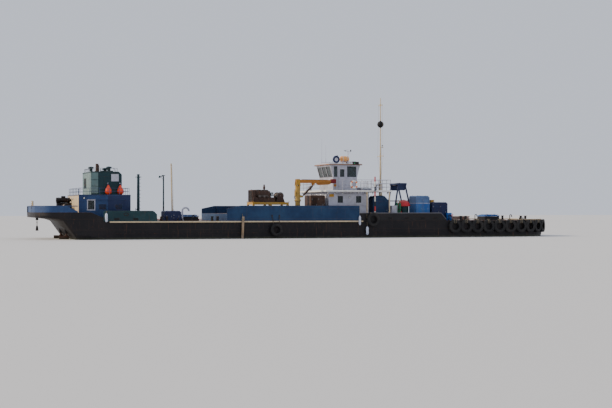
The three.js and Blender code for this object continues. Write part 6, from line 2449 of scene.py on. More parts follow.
    def casing_vents(self) -> None:
        """Stands vents and a hatch on the casing."""
        vents = Shape("casing_vents", TEAL)
        for s, y, h in self.vents:
            vents.turned([(0.14, -0.01), (0.14, h), (0.25, h + 0.02), (0.26, h + 0.08), (0.2, h + 0.16),
                          (0.02, h + 0.19)], (s, y, self.casing_top), sides=22)
        vents.block((6.0, 6.9), (-0.5, 0.5), (self.casing_top - 0.01, self.casing_top + 0.1))
        vents.block((5.97, 6.93), (-0.53, 0.53), (self.casing_top + 0.1, self.casing_top + 0.13))
        self.put(vents, bevel=0.008)

    def funnel(self) -> None:
        """Turns the exhaust with its collar and a small bent pipe beside it."""
        s, radius, top = self.exhaust
        pipe = Shape("exhaust_turned", BROWN)
        wall = 0.014
        profile = [
            (radius * 1.5, 0.0006), (radius * 1.5, 0.12), (radius, 0.13), (radius, 0.42),
            (radius * 1.08, 0.43), (radius * 1.08, 0.46), (radius, 0.47),
            (radius, top - self.casing_top - 0.05), (radius * 1.05, top - self.casing_top - 0.045),
            (radius * 1.05, top - self.casing_top - 0.01), (radius - wall, top - self.casing_top - 0.01),
            (radius - wall, 0.3), (0.001, 0.3)]
        pipe.turned(profile, (s, 0, self.casing_top), sides=28)
        pipe.tube([(s + 0.2, 0.26, self.casing_top - 0.01), (s + 0.2, 0.26, self.casing_top + 0.5),
                   (s + 0.2, 0.3, self.casing_top + 0.6), (s + 0.2, 0.42, self.casing_top + 0.6)], 0.035, 12)
        self.put(pipe, replaced=["exhaust_pipe"], bevel=0.004)

    def rails(self) -> None:
        """Runs rails round the house top, the poop and the casing top."""
        z = self.top
        start, end = self.span
        lines = [[(start + 0.12, -self.half + 0.1, z), (end - 0.1, -self.half + 0.1, z)],
                 [(start + 0.12, self.half - 0.1, z), (end - 0.1, self.half - 0.1, z)],
                 [(start + 0.12, -self.half + 0.1, z), (start + 0.12, self.half - 0.1, z)],
                 [(end - 0.1, -self.half + 0.1, z), (end - 0.1, 0.9, z)]]
        values = {"Rail_Radius": 0.014 * SCALE, "Post_Radius": 0.017 * SCALE}
        self.grow("house_top_rail", Pattern.RAILING, HOUSE_BLUE, [spaced(line, 0.85) for line in lines],
                  Height=0.55 * SCALE, Rails=2, **values)
        top = [[(4.85, -2.2, self.casing_top), (6.95, -2.2, self.casing_top)],
               [(4.85, 2.2, self.casing_top), (6.95, 2.2, self.casing_top)],
               [(4.85, -2.2, self.casing_top), (4.85, 2.2, self.casing_top)]]
        self.grow("casing_top_rail", Pattern.RAILING, TEAL, [spaced(line, 0.7) for line in top],
                  Height=0.28 * SCALE, Rails=1, **values)

    def teardrops(self) -> None:
        """Blows up the two fenders and hangs each from a ring."""
        for number, s in ((1, 6.13), (2, 7.15)):
            y, foot, radius = -2.5806, self.top + 0.0006, 0.28
            shape = Shape(f"teardrop_{number}", BUOY)
            profile = [(0.012, 0.0), (0.1, 0.012), (0.19, 0.06), (0.255, 0.15), (radius, 0.26), (0.268, 0.37),
                       (0.225, 0.49), (0.165, 0.61), (0.108, 0.71), (0.072, 0.78), (0.058, 0.83),
                       (0.06, 0.87)]
            shape.turned(profile, (s, y, foot), sides=32)
            shape.use(NAVY).turned([(0.062, 0.84), (0.068, 0.86), (0.066, 0.93), (0.03, 0.955)], (s, y, foot),
                                   sides=24)
            shape.turned([(0.07, 0.0), (0.075, 0.006), (0.05, 0.016)], (s, y, foot), sides=20)
            self.put(shape, replaced=[f"teardrop_fender_{number}"], angle=60)
            z = foot + 0.965
            eye = Shape(f"teardrop_eye_{number}", STEEL).hoop((s, y, z), (1, 0, 0), 0.05, 0.013, 18, 7)
            eye.tube([(s, y + 0.05, z), (s, -2.29, z)], 0.014, 10)
            eye.turned([(0.045, 0.0), (0.045, 0.012), (0.02, 0.02)], (s, -2.3, z), (0, -1, 0), 16)
            self.put(eye)


@dataclass
class Posts(Fitting):
    """The king post, the lamp post, the leaning pole and the banded gauge."""

    king: tuple[float, float, float, float] = (8.7, -2.5, 6.5, 0.13)
    lamp: tuple[float, float, float, float] = (11.08, -1.5, 6.43, 0.06)
    pole: tuple[float, float, float, float] = (11.88, -1.5, 7.48, 0.075)
    pole_lean: float = -0.12
    gauge: tuple[float, float, float, float] = (29.7, -4.12, 6.42, 0.075)
    cable_clips: tuple[float, ...] = (3.0, 4.0, 5.0, 6.0)
    pole_bands: tuple[float, ...] = (0.35, 0.7, 0.97)
    gauge_brackets: tuple[float, ...] = (3.05, 5.1)

    def build(self) -> None:
        """Turns the posts and fits them out."""
        self.king_post()
        self.lamp_post()
        self.aft_pole()
        self.gauge_post()

    def turn(self, shape: Shape, post: tuple[float, float, float, float], lean: float = 0.0) -> None:
        """Turns a post on its bolted foot.

        Args:
            shape: takes the post.
            post: station, offset, top and radius.
            lean: how far its top stands forward.
        """
        s, y, top, radius = post
        shape.tube([(s, y, MAIN_DECK + 0.03), (s + lean, y, top)], radius, 24, radius * 0.8)
        shape.turned([(radius * 1.9, 0.0006), (radius * 1.9, 0.05), (radius * 1.75, 0.06),
                      (radius * 1.1, 0.065), (radius * 1.05, 0.12)], (s, y, MAIN_DECK), sides=24)

    def king_post(self) -> None:
        """Fits the king post with a cap, cleats and step irons."""
        s, y, top, radius = self.king
        shape = Shape("king_post_turned", TEAL)
        self.turn(shape, self.king)
        shape.turned([(0.12, 0.0), (0.125, 0.02), (0.06, 0.045)], (s, y, top - 0.046), sides=24)
        for way in (-1, 1):
            shape.hoop((s + way * (radius + 0.05), y, top - 0.25), (0, 1, 0), 0.06, 0.014, 16, 7)
        z = 3.5
        shape.block((s - radius - 0.08, s - radius + 0.02), (y - 0.03, y + 0.03), (z - 0.03, z + 0.03))
        shape.tube([(s - radius - 0.1, y, z - 0.14), (s - radius - 0.1, y, z + 0.14)], 0.018, 8)
        self.put(shape, replaced=["king_post"], bevel=0.004)
        iron = Shape("step_iron", TEAL)
        iron.tube([(0.06, -0.1, 0.0), (0.2, -0.1, 0.0), (0.2, 0.1, 0.0), (0.06, 0.1, 0.0)], 0.011, 7)
        self.row("king_post_steps", TEAL, [[(s, y, 2.95), (s, y, 6.05)]], iron, 11)
        self.bolts("king_post_bolts", TEAL, ring((s, y, MAIN_DECK + 0.056), 0.2, 8))

    def lamp_post(self) -> None:
        """Fits the lamp post with its arm, shade, glass and cable."""
        s, y, top, radius = self.lamp
        shape = Shape("lamp_post_turned", TEAL)
        self.turn(shape, self.lamp)
        shape.turned([(0.14, -0.03), (0.15, -0.02), (0.15, 0.03), (0.06, 0.04)], (s, y, top), sides=24)
        shape.tube([(s, y, top - 0.06), (s - 0.2, y, top - 0.055), (s - 0.33, y, top - 0.06)], 0.028, 12)
        shape.tube([(s, y, top - 0.4), (s - 0.22, y, top - 0.075)], 0.014, 8)
        shape.turned([(0.058, 0.18), (0.06, 0.155), (0.098, 0.01), (0.1, 0.0), (0.09, 0.0), (0.05, 0.15),
                      (0.001, 0.16)], (s - 0.33, y, top - 0.2), sides=24)
        shape.use(LENS_CLEAR).ball((s - 0.33, y, top - 0.15), 0.045, 16)
        self.put(shape, replaced=["lamp_post"], bevel=0.003)
        cable = Shape("lamp_cable", DARK)
        cable.tube([(s + 0.075, y, MAIN_DECK + 0.02), (s + 0.072, y, 3.4), (s + 0.066, y, 5.0),
                    (s + 0.06, y, top - 0.1)], 0.009, 6)
        for z in self.cable_clips:
            cable.hoop((s, y, z), (0, 0, 1), radius * 0.97, 0.008, 16, 5)
        cable.block((s - 0.05, s + 0.05), (y - 0.12, y - 0.05), (3.5, 3.72))
        self.put(cable)

    def aft_pole(self) -> None:
        """Fits the leaning pole with bands, a halyard and a cleat."""
        s, y, top, radius = self.pole
        shape = Shape("aft_pole_turned", CREAM)
        self.turn(shape, self.pole, self.pole_lean)
        for share in self.pole_bands:
            x = s + self.pole_lean * share
            z = MAIN_DECK + (top - MAIN_DECK) * share
            r = radius * (1 - 0.2 * share)
            shape.turned([(r * 1.12, 0.0), (r * 1.12, 0.05)], (x, y, z), (self.pole_lean / 5, 0, 1), 24)
        self.put(shape, replaced=["aft_pole"], bevel=0.003)
        line = Shape("aft_pole_halyard", ROPE)
        line.tube([(s + 0.1, y, 3.3), (s + 0.06, y + 0.02, 5.0), (s + self.pole_lean + 0.065, y, top - 0.15)],
                  0.008, 6)
        line.hoop((s + 0.085, y, 3.42), (0, 1, 0), 0.07, 0.012, 16, 6)
        self.put(line)
        cleat = Shape("aft_pole_cleat", DARK)
        cleat.tube([(s + 0.1, y, 3.2), (s + 0.1, y, 3.44)], 0.014, 8)
        cleat.tube([(s + 0.02, y, 3.32), (s + 0.1, y, 3.32)], 0.014, 8)
        self.put(cleat)

    def gauge_post(self) -> None:
        """Paints the gauge's bands and adds its brackets."""
        s, y, top, _ = self.gauge
        shape = Shape("gauge_post_turned", BANDED)
        self.turn(shape, self.gauge)
        shape.turned([(0.06, 0.0), (0.064, 0.01), (0.03, 0.025)], (s, y, top - 0.026), sides=24)
        self.put(shape, replaced=["gauge_post"], bevel=0.003)
        brackets = Shape("gauge_brackets", WHITE)
        for z in self.gauge_brackets:
            brackets.hoop((s, y, z), (0, 0, 1), 0.08, 0.014, 20, 6)
        brackets.tube([(s, y - 0.08, 3.05), (s, -4.45, 3.05)], 0.016, 8)
        brackets.tube([(s, y + 0.075, 5.1), (s, -3.79, 5.12)], 0.016, 8)
        self.put(brackets)


# Midship: lockers, pump set, crane and houses


@dataclass
class Locker(Fitting):
    """A deck box with its plinth, doors, hinges and handles."""

    node: str
    finish: Finish
    span: tuple[float, float]
    offsets: tuple[float, float]
    deck: float
    top: float
    slope: float
    doors: int = 2
    grille: bool = False
    lower: Optional[Finish] = None
    margin: float = 0.08
    gap: float = 0.14

    def build(self) -> None:
        """Dresses the box."""
        self.skin(self.node, self.finish, 0.025)
        self.trim()
        if self.lower:
            self.band(self.lower)
        self.metal()
        if self.grille:
            self.louvres()

    @property
    def heights(self) -> tuple[float, float]:
        """Gives the lowest and the highest height of the doors."""
        return self.deck + 0.12, self.top - self.slope - 0.08

    @property
    def door_width(self) -> float:
        """Gives the width that each door takes up."""
        return (self.span[1] - self.span[0] - 2 * self.margin) / self.doors

    def leaves(self) -> list[tuple[int, float, float, int]]:
        """Gives each door's number, middle, face and side."""
        return [(k, self.span[0] + self.margin + self.door_width * (k + 0.5), face, side)
                for k in range(self.doors) for face, side in zip(self.offsets, (-1, 1))]

    def box(self, shape: Shape, more: float, low: float, high: float) -> None:
        """Adds a box as large as the locker and a little more on each side.

        Args:
            shape: takes the box.
            more: how far it stands out.
            low: its lowest height.
            high: its highest height.
        """
        (start, end), (near, far) = self.span, self.offsets
        shape.block((start - more, end + more), (near - more, far + more), (low, high))

    def trim(self) -> None:
        """Adds the plinth, the doors' frames and panels, and the bead under the lid."""
        low, high = self.heights
        eaves = self.top - self.slope
        trim = Shape(f"{self.node}_trim", self.finish)
        self.box(trim, 0.02, self.deck + 0.001, self.deck + 0.06)
        for k, middle, face, side in self.leaves():
            spot = Opening((middle, face + side * 0.004, (low + high) / 2), (-side, 0, 0), (0, 0, 1),
                           (self.door_width - self.gap, high - low - 0.06))
            trim.border(spot.centre, spot.across, spot.up, spot.size, 0.035, 0.02)
            if k or not self.grille:
                size = (spot.size[0] * 0.6, spot.size[1] * 0.5)
                trim.border(spot.centre, spot.across, spot.up, size, 0.012, 0.014)
        self.box(trim, 0.015, eaves - 0.03, eaves - 0.008)
        self.put(trim, bevel=0.005)

    def band(self, finish: Finish) -> None:
        """Paints the lower part and a white line above it.

        Args:
            finish: the lower part's finish.
        """
        line = (self.deck + self.top) / 2 + 0.42
        band = Shape(f"{self.node}_band", finish)
        self.box(band, 0.008, self.deck + 0.05, line)
        self.box(band.use(WHITE), 0.012, line, line + 0.045)
        self.put(band, bevel=0.004)

    def metal(self) -> None:
        """Bends the handles, the hinges and the lifting eyes."""
        low, high = self.heights
        level = (low + high) / 2
        metal = Shape(f"{self.node}_fittings", STEEL)
        for _, middle, face, side in self.leaves():
            x, y = middle + self.door_width / 2 - self.gap, face + side * 0.035
            metal.tube([(x, face, level - 0.07), (x, y, level - 0.06), (x, y, level + 0.06),
                        (x, face, level + 0.07)], 0.009, 8)
            x, y = middle - self.door_width / 2 + 0.06, face + side * 0.016
            for z in (low + 0.18, high - 0.18):
                metal.tube([(x, y, z - 0.05), (x, y, z + 0.05)], 0.014, 10)
        for s in (self.span[0] + 0.25, self.span[1] - 0.25 - self.slope * 0.6):
            for y in (self.offsets[0] + 0.2, self.offsets[1] - 0.2):
                metal.hoop((s, y, self.top + 0.028), (0, 1, 0), 0.03, 0.008, 14, 6)
        self.put(metal)

    def louvres(self) -> None:
        """Fills the first door on each face with slats."""
        low, high = self.heights[0] + 0.03, self.heights[1] - 0.03
        width, middle = self.door_width - self.gap, self.span[0] + self.margin + self.door_width / 2
        # A black panel behind each louvred door's slats: painted shade inside the louvre.
        shade_panel = Shape(f"{self.node}_wells", DAY_SHAPE_AND_SHADE_BLACK)
        for face, (side, name) in zip(self.offsets, SIDES):
            shade_panel.panel((middle, face + side * 0.002, (low + high) / 2), (-side, 0, 0), (0, 0, 1),
                       (width, high - low, 0.003))
            slat = Shape("slat", self.finish).block((-width / 2, width / 2), (0.0, side * 0.024),
                                                    (-0.006, 0.016))
            line = [(middle, face + side * 0.003, low + 0.03), (middle, face + side * 0.003, high - 0.03)]
            self.row(f"{self.node}_slats_{name}", self.finish, [line], slat,
                     max(5, round((high - low) / 0.06)))
        self.put(shade_panel)


@dataclass
class DeckBoxes(Fitting):
    """Every locker, the companion and the two deck vents."""

    gooseneck: tuple[float, float, float] = (12.55, -2.4, 0.075)
    vent: tuple[float, float, float, float] = (33.1, -2.65, 0.45, 0.6)
    vent_heights: tuple[float, float] = (3.8, 4.38)

    def build(self) -> None:
        """Dresses the boxes and turns the vents."""
        for given in (
                ("aft_locker", NAVY, (10.75, 12.15), (-3.7, -2.1), MAIN_DECK, 3.38, 0.12),
                ("companion_casing", BLUE, (29.9, 31.4), (-3.25, -1.9), MAIN_DECK, 4.72, 0.42, 1),
                ("pale_locker", PALE_BLUE, (34.05, 35.4), (-3.3, -1.7), MAIN_DECK, 4.75, 0.16, 2, False,
                 BRIGHT_BLUE), ("fore_locker", NAVY, (35.62, 37.2), (-3.3, -0.9), MAIN_DECK, 4.17, 0.14, 2),
                ("power_pack", BROWN, (23.9, 25.25), (-3.35, -1.65), RAISED_DECK, 4.76, 0.1, 2, True)):
            Locker(self.yard, *given).build()
        self.gooseneck_vent()
        self.mushroom()
        self.companion_slide()

    def gooseneck_vent(self) -> None:
        """Bends the gooseneck with its flange and flap."""
        s, y, radius = self.gooseneck
        shape = Shape("gooseneck_bent", WHITE)
        z = MAIN_DECK
        path = [(s, y, z + 0.001), (s, y, z + 0.35), (s, y, z + 0.72)]
        path += [(s + 0.28 - 0.28 * math.cos(t), y, z + 0.9 + 0.26 * math.sin(t)) for t in
                 (math.pi * k / 10 for k in range(11))]
        path.append((s + 0.56, y, z + 0.88))
        shape.tube(path, radius, 20)
        shape.turned([(0.15, 0.001), (0.15, 0.05), (0.14, 0.058), (0.08, 0.06)], (s, y, z), sides=24)
        shape.turned([(0.086, -0.03), (0.086, 0.03)], (s + 0.56, y, z + 0.93), sides=22)
        shape.turned([(0.07, 0.0), (0.075, 0.012)], (s + 0.56, y, z + 0.855), sides=22)
        self.put(shape, replaced=["gooseneck_vent"], bevel=0.003, angle=42)

    def mushroom(self) -> None:
        """Turns the ventilator: a teal trunk under a red cap with its wheel."""
        s, y, radius, cap = self.vent
        shoulder, top = self.vent_heights
        shape = Shape("mushroom_trunk", TEAL)
        shape.turned([(radius + 0.09, 0.001), (radius + 0.09, 0.07), (radius + 0.08, 0.08), (radius, 0.085),
                      (radius, 0.62), (radius + 0.015, 0.63), (radius + 0.015, 0.67), (radius, 0.68),
                      (radius, shoulder - MAIN_DECK)], (s, y, MAIN_DECK), sides=40)
        dome = [(0.001, -0.01), (cap - 0.03, -0.01), (cap, 0.01), (cap, 0.06), (cap - 0.012, 0.075)]
        rise = top - shoulder
        dome += [((cap - 0.03) * math.cos(t), 0.075 + (rise - 0.075) * math.sin(t)) for t in
                 (math.pi / 2 * k / 10 for k in range(1, 10))]
        dome.append((0.001, rise))
        shape.use(RED).turned(dome, (s, y, shoulder), sides=44)
        shape.use(DARK).turned([(0.035, 0.0), (0.035, 0.03)], (s, y, top - 0.02), sides=16)
        self.put(shape, replaced=["mushroom_vent"], bevel=0.006, angle=40)
        self.bolts("mushroom_bolts", TEAL, ring((s, y, MAIN_DECK + 0.078), radius + 0.045, 16))
        stay = Shape("cap_stay", DARK).block((-0.012, 0.012), (-0.02, 0.02), (-0.13, 0.06))
        aims = [(math.cos(t), math.sin(t), 0) for t in turns(6, 0.01)]
        spots = [(s + (radius + 0.02) * a[0], y + (radius + 0.02) * a[1], shoulder) for a in aims]
        self.grow("mushroom_cap_stays", Pattern.UPRIGHT, DARK, [[p] for p in spots], aims, stencil=stay)

    def companion_slide(self) -> None:
        """Adds the companion's door, slide and rails."""
        shape = Shape("companion_door", VARNISH)
        x = 31.412
        shape.panel((x, -2.575, 3.42), (0, 1, 0), (0, 0, 1), (0.8, 1.5, 0.03))
        for y in (-2.76, -2.39):
            shape.border((x + 0.014, y, 3.42), (0, 1, 0), (0, 0, 1), (0.24, 1.15), 0.03, 0.014)
        self.put(shape, bevel=0.004)
        frame = Shape("companion_frame", BLUE)
        frame.border((x, -2.575, 3.42), (0, 1, 0), (0, 0, 1), (0.82, 1.52), 0.05, 0.05)
        for y in (-3.0, -2.15):
            frame.tube([(30.3, y, 4.74), (30.95, y, 4.74)], 0.02, 8)
        self.put(frame, bevel=0.004)
        knob = Shape("companion_knob", BRASS)
        knob.turned([(0.016, 0.0), (0.012, 0.02), (0.026, 0.03), (0.026, 0.045), (0.01, 0.055)],
                    (x + 0.014, -2.24, 3.4), (1, 0, 0), 14)
        self.put(knob)


@dataclass
class PumpSet(Fitting):
    """The pump engine and its reel on the yellow frame."""

    start: float = 18.65
    end: float = 21.95
    near: float = -3.15
    far: float = -1.25
    top: float = 4.14
    centre: float = -2.2

    def build(self) -> None:
        """Dresses the frame, the engine and the reel."""
        self.skin("pump_frame", YELLOW, 0.01)
        self.skin("pump_engine", self.engine_finish, 0.02)
        WinchDrum(self.yard, "pump_drum", (20.9, 21.7), 0.56, 4.7, 0.33, self.centre, WIRE, 0.02).build()
        self.frame_fittings()
        self.heads()
        self.covers()
        self.stack()
        self.pipes()
        self.gauges()
        self.radiator()

    def engine_finish(self, place: Vector, normal: Vector) -> Optional[Finish]:
        """Gives the engine's paint, and None on its round stack and cleaner.

        Args:
            place: a face's middle on the ship, in full-size metres.
            normal: the face's normal.

        Returns:
            The finish, or None where the face is left out.
        """
        if math.hypot(
                place.x - (self.start + 1.35), place.y - (self.centre + 0.15)) < 0.075 and place.z > 5.125:
            return None
        if math.hypot(
                place.x - (self.start + 0.7), place.y - (self.centre - 0.18)) < 0.16 and place.z > 5.125:
            return None
        return BROWN

    def frame_fittings(self) -> None:
        """Adds feet, bolts and lifting eyes to the frame."""
        shape = Shape("pump_frame_feet", YELLOW)
        bolts = []
        for s in (self.start + 0.08, (self.start + self.end) / 2, self.end - 0.08):
            for y in (self.near + 0.08, self.far - 0.08):
                shape.block((s - 0.14, s + 0.14), (y - 0.14, y + 0.14), (RAISED_DECK, RAISED_DECK + 0.03))
                bolts += [(s + dx, y + dy, RAISED_DECK + 0.028) for dx in (-0.11, 0.11)
                          for dy in (-0.11, 0.11)]
        for s in (self.start, self.end):
            for y in (self.near + 0.08, self.far - 0.08):
                shape.hoop((s, y, self.top + 0.03), (0, 1, 0), 0.055, 0.014, 16, 6)
        middle = (self.start + self.end) / 2
        for low, high in ((self.start + 0.16, middle - 0.08), (middle + 0.08, self.end - 0.16)):
            for y in (self.near + 0.02, self.far - 0.02):
                shape.tube([(low, y, RAISED_DECK + 0.05), (high, y, self.top - 0.25)], 0.02, 8)
        self.put(shape, bevel=0.004)
        self.bolts("pump_frame_bolts", YELLOW, bolts, 0.018)

    def heads(self) -> None:
        """Adds the cylinder heads, manifold, injector pipes, filters and flywheel case."""
        s, floor, y0 = self.start, self.top, self.centre
        heads = Shape("pump_cylinder_heads", IRON)
        for k in range(4):
            a = s + 0.47 + 0.3 * k
            heads.block((a, a + 0.25), (y0 - 0.3, y0 + 0.3), (floor + 0.96, floor + 1.06))
            heads.block((a + 0.04, a + 0.21), (y0 - 0.16, y0 + 0.16), (floor + 1.05, floor + 1.1))
        heads.tube([(s + 0.5, y0 + 0.62, floor + 0.8), (s + 1.66, y0 + 0.62, floor + 0.8)], 0.07, 14)
        for k in range(4):
            a = s + 0.595 + 0.3 * k
            heads.tube([(a, y0 + 0.5, floor + 0.9), (a, y0 + 0.6, floor + 0.86), (a, y0 + 0.62, floor + 0.8)],
                       0.04, 10)
            heads.tube([(a, y0 - 0.56, floor + 0.55), (a, y0 - 0.62, floor + 0.75),
                        (a + 0.03, y0 - 0.5, floor + 1.03), (a + 0.03, y0 - 0.2, floor + 1.08)], 0.011, 6)
        heads.block((s + 0.55, s + 1.45), (y0 - 0.68, y0 - 0.52), (floor + 0.44, floor + 0.62))
        for a in (s + 0.62, s + 1.05, s + 1.38):
            heads.turned([(0.09, 0.0), (0.1, 0.02), (0.1, 0.2), (0.04, 0.23)], (a, y0 - 0.72, floor + 0.46),
                         (0, -1, 0), 18)
        heads.turned([(0.12, 0.0), (0.36, 0.01), (0.36, 0.1), (0.3, 0.13), (0.1, 0.14)],
                     (s + 1.72, y0, floor + 0.5), (1, 0, 0), 30)
        self.put(heads, bevel=0.01)

    def covers(self) -> None:
        """Adds the side covers."""
        covers = Shape("pump_side_covers", BROWN)
        for k in range(5):
            x = self.start + 0.33 + 0.38 * k
            for y, side in ((self.near + 0.12, -1), (self.far - 0.12, 1)):
                covers.panel((x, y + side * 0.008, self.top + 0.23), (-side, 0, 0), (0, 0, 1),
                             (0.28, 0.26, 0.024))
        self.put(covers, bevel=0.008)

    def stack(self) -> None:
        """Turns the exhaust stack and the air cleaner."""
        s, floor, y0 = self.start, self.top, self.centre
        stack = Shape("pump_stack", BROWN)
        stack.turned([(0.07, 0.0), (0.07, 0.2), (0.1, 0.22), (0.1, 0.42), (0.07, 0.44), (0.07, 0.6),
                      (0.058, 0.6), (0.058, 0.3), (0.001, 0.3)], (s + 1.35, y0 + 0.15, floor + 0.96),
                     sides=22)
        stack.use(IRON).turned([(0.15, 0.0), (0.155, 0.015), (0.155, 0.12), (0.1, 0.14), (0.02, 0.145)],
                               (s + 0.7, y0 - 0.18, floor + 0.97), sides=26)
        stack.tube([(s + 0.7, y0 - 0.18, floor + 0.96), (s + 0.7, y0 - 0.05, floor + 0.93)], 0.07, 14)
        self.put(stack, bevel=0.004)

    def pipes(self) -> None:
        """Bends the engine's pipes and the delivery pipe."""
        s, floor, y0 = self.start, self.top, self.centre
        pipes = Shape("pump_pipes", DARK)
        pipes.tube([(s + 0.3, y0 + 0.35, floor + 0.95), (s + 0.4, y0 + 0.42, floor + 1.0),
                    (s + 0.5, y0 + 0.38, floor + 0.9)], 0.035, 10)
        pipes.tube([(s + 0.3, y0 - 0.35, floor + 0.2), (s + 0.4, y0 - 0.52, floor + 0.3),
                    (s + 0.55, y0 - 0.55, floor + 0.46)], 0.035, 10)
        foot = (s + 2.15, y0 + 1.15, RAISED_DECK)
        pipes.tube([(s + 1.9, y0 + 0.4, floor + 0.42), (s + 2.0, y0 + 0.66, floor + 0.3),
                    (s + 2.12, y0 + 0.95, floor + 0.1), (s + 2.15, y0 + 1.12, floor - 0.1),
                    (s + 2.15, y0 + 1.15, floor - 0.4), foot], 0.05, 14)
        for height in (0.001, 0.72):
            pipes.turned([(0.05, height), (0.11, height), (0.11, height + 0.05), (0.05, height + 0.05)], foot,
                         sides=20)
        self.put(pipes, bevel=0.003)

    def gauges(self) -> None:
        """Stands the gauge panel beside the engine."""
        s, floor, y0 = self.start, self.top, self.centre
        panel = Shape("pump_gauges", TEAL)
        panel.panel((s + 1.9, y0 - 0.4, floor + 0.72), (1, 0, 0), (0, 0.3, 1), (0.26, 0.3, 0.06))
        panel.tube([(s + 1.9, y0 - 0.42, floor + 0.4), (s + 1.9, y0 - 0.4, floor + 0.6)], 0.02, 8)
        panel.use(LENS_CLEAR)
        for dx, dz in ((-0.06, 0.07), (0.06, 0.07), (-0.06, -0.05), (0.06, -0.05)):
            panel.turned([(0.036, 0.0), (0.036, 0.012), (0.01, 0.014)],
                         (s + 1.9 + dx, y0 - 0.43 + dz * 0.3, floor + 0.73 + dz), (0, -1, 0.3), 16)
        self.put(panel, bevel=0.004)

    def radiator(self) -> None:
        """Adds the radiator's frame, cap and fins."""
        x, floor, y0 = self.start + 0.06, self.top, self.centre
        frame = Shape("pump_radiator_frame", BROWN)
        frame.border((x - 0.01, y0, floor + 0.55), (0, -1, 0), (0, 0, 1), (1.16, 0.86), 0.07, 0.05)
        frame.turned([(0.05, 0.0), (0.05, 0.03), (0.03, 0.04)], (x + 0.13, y0 + 0.2, floor + 1.08), sides=16)
        self.put(frame, bevel=0.005)
        fin = Shape("fin", IRON).block((-0.012, 0.002), (-0.004, 0.004), (-0.43, 0.43))
        self.row("pump_radiator_fins", IRON, [[(x, y0 - 0.57, floor + 0.55), (x, y0 + 0.57, floor + 0.55)]],
                 fin, 48)


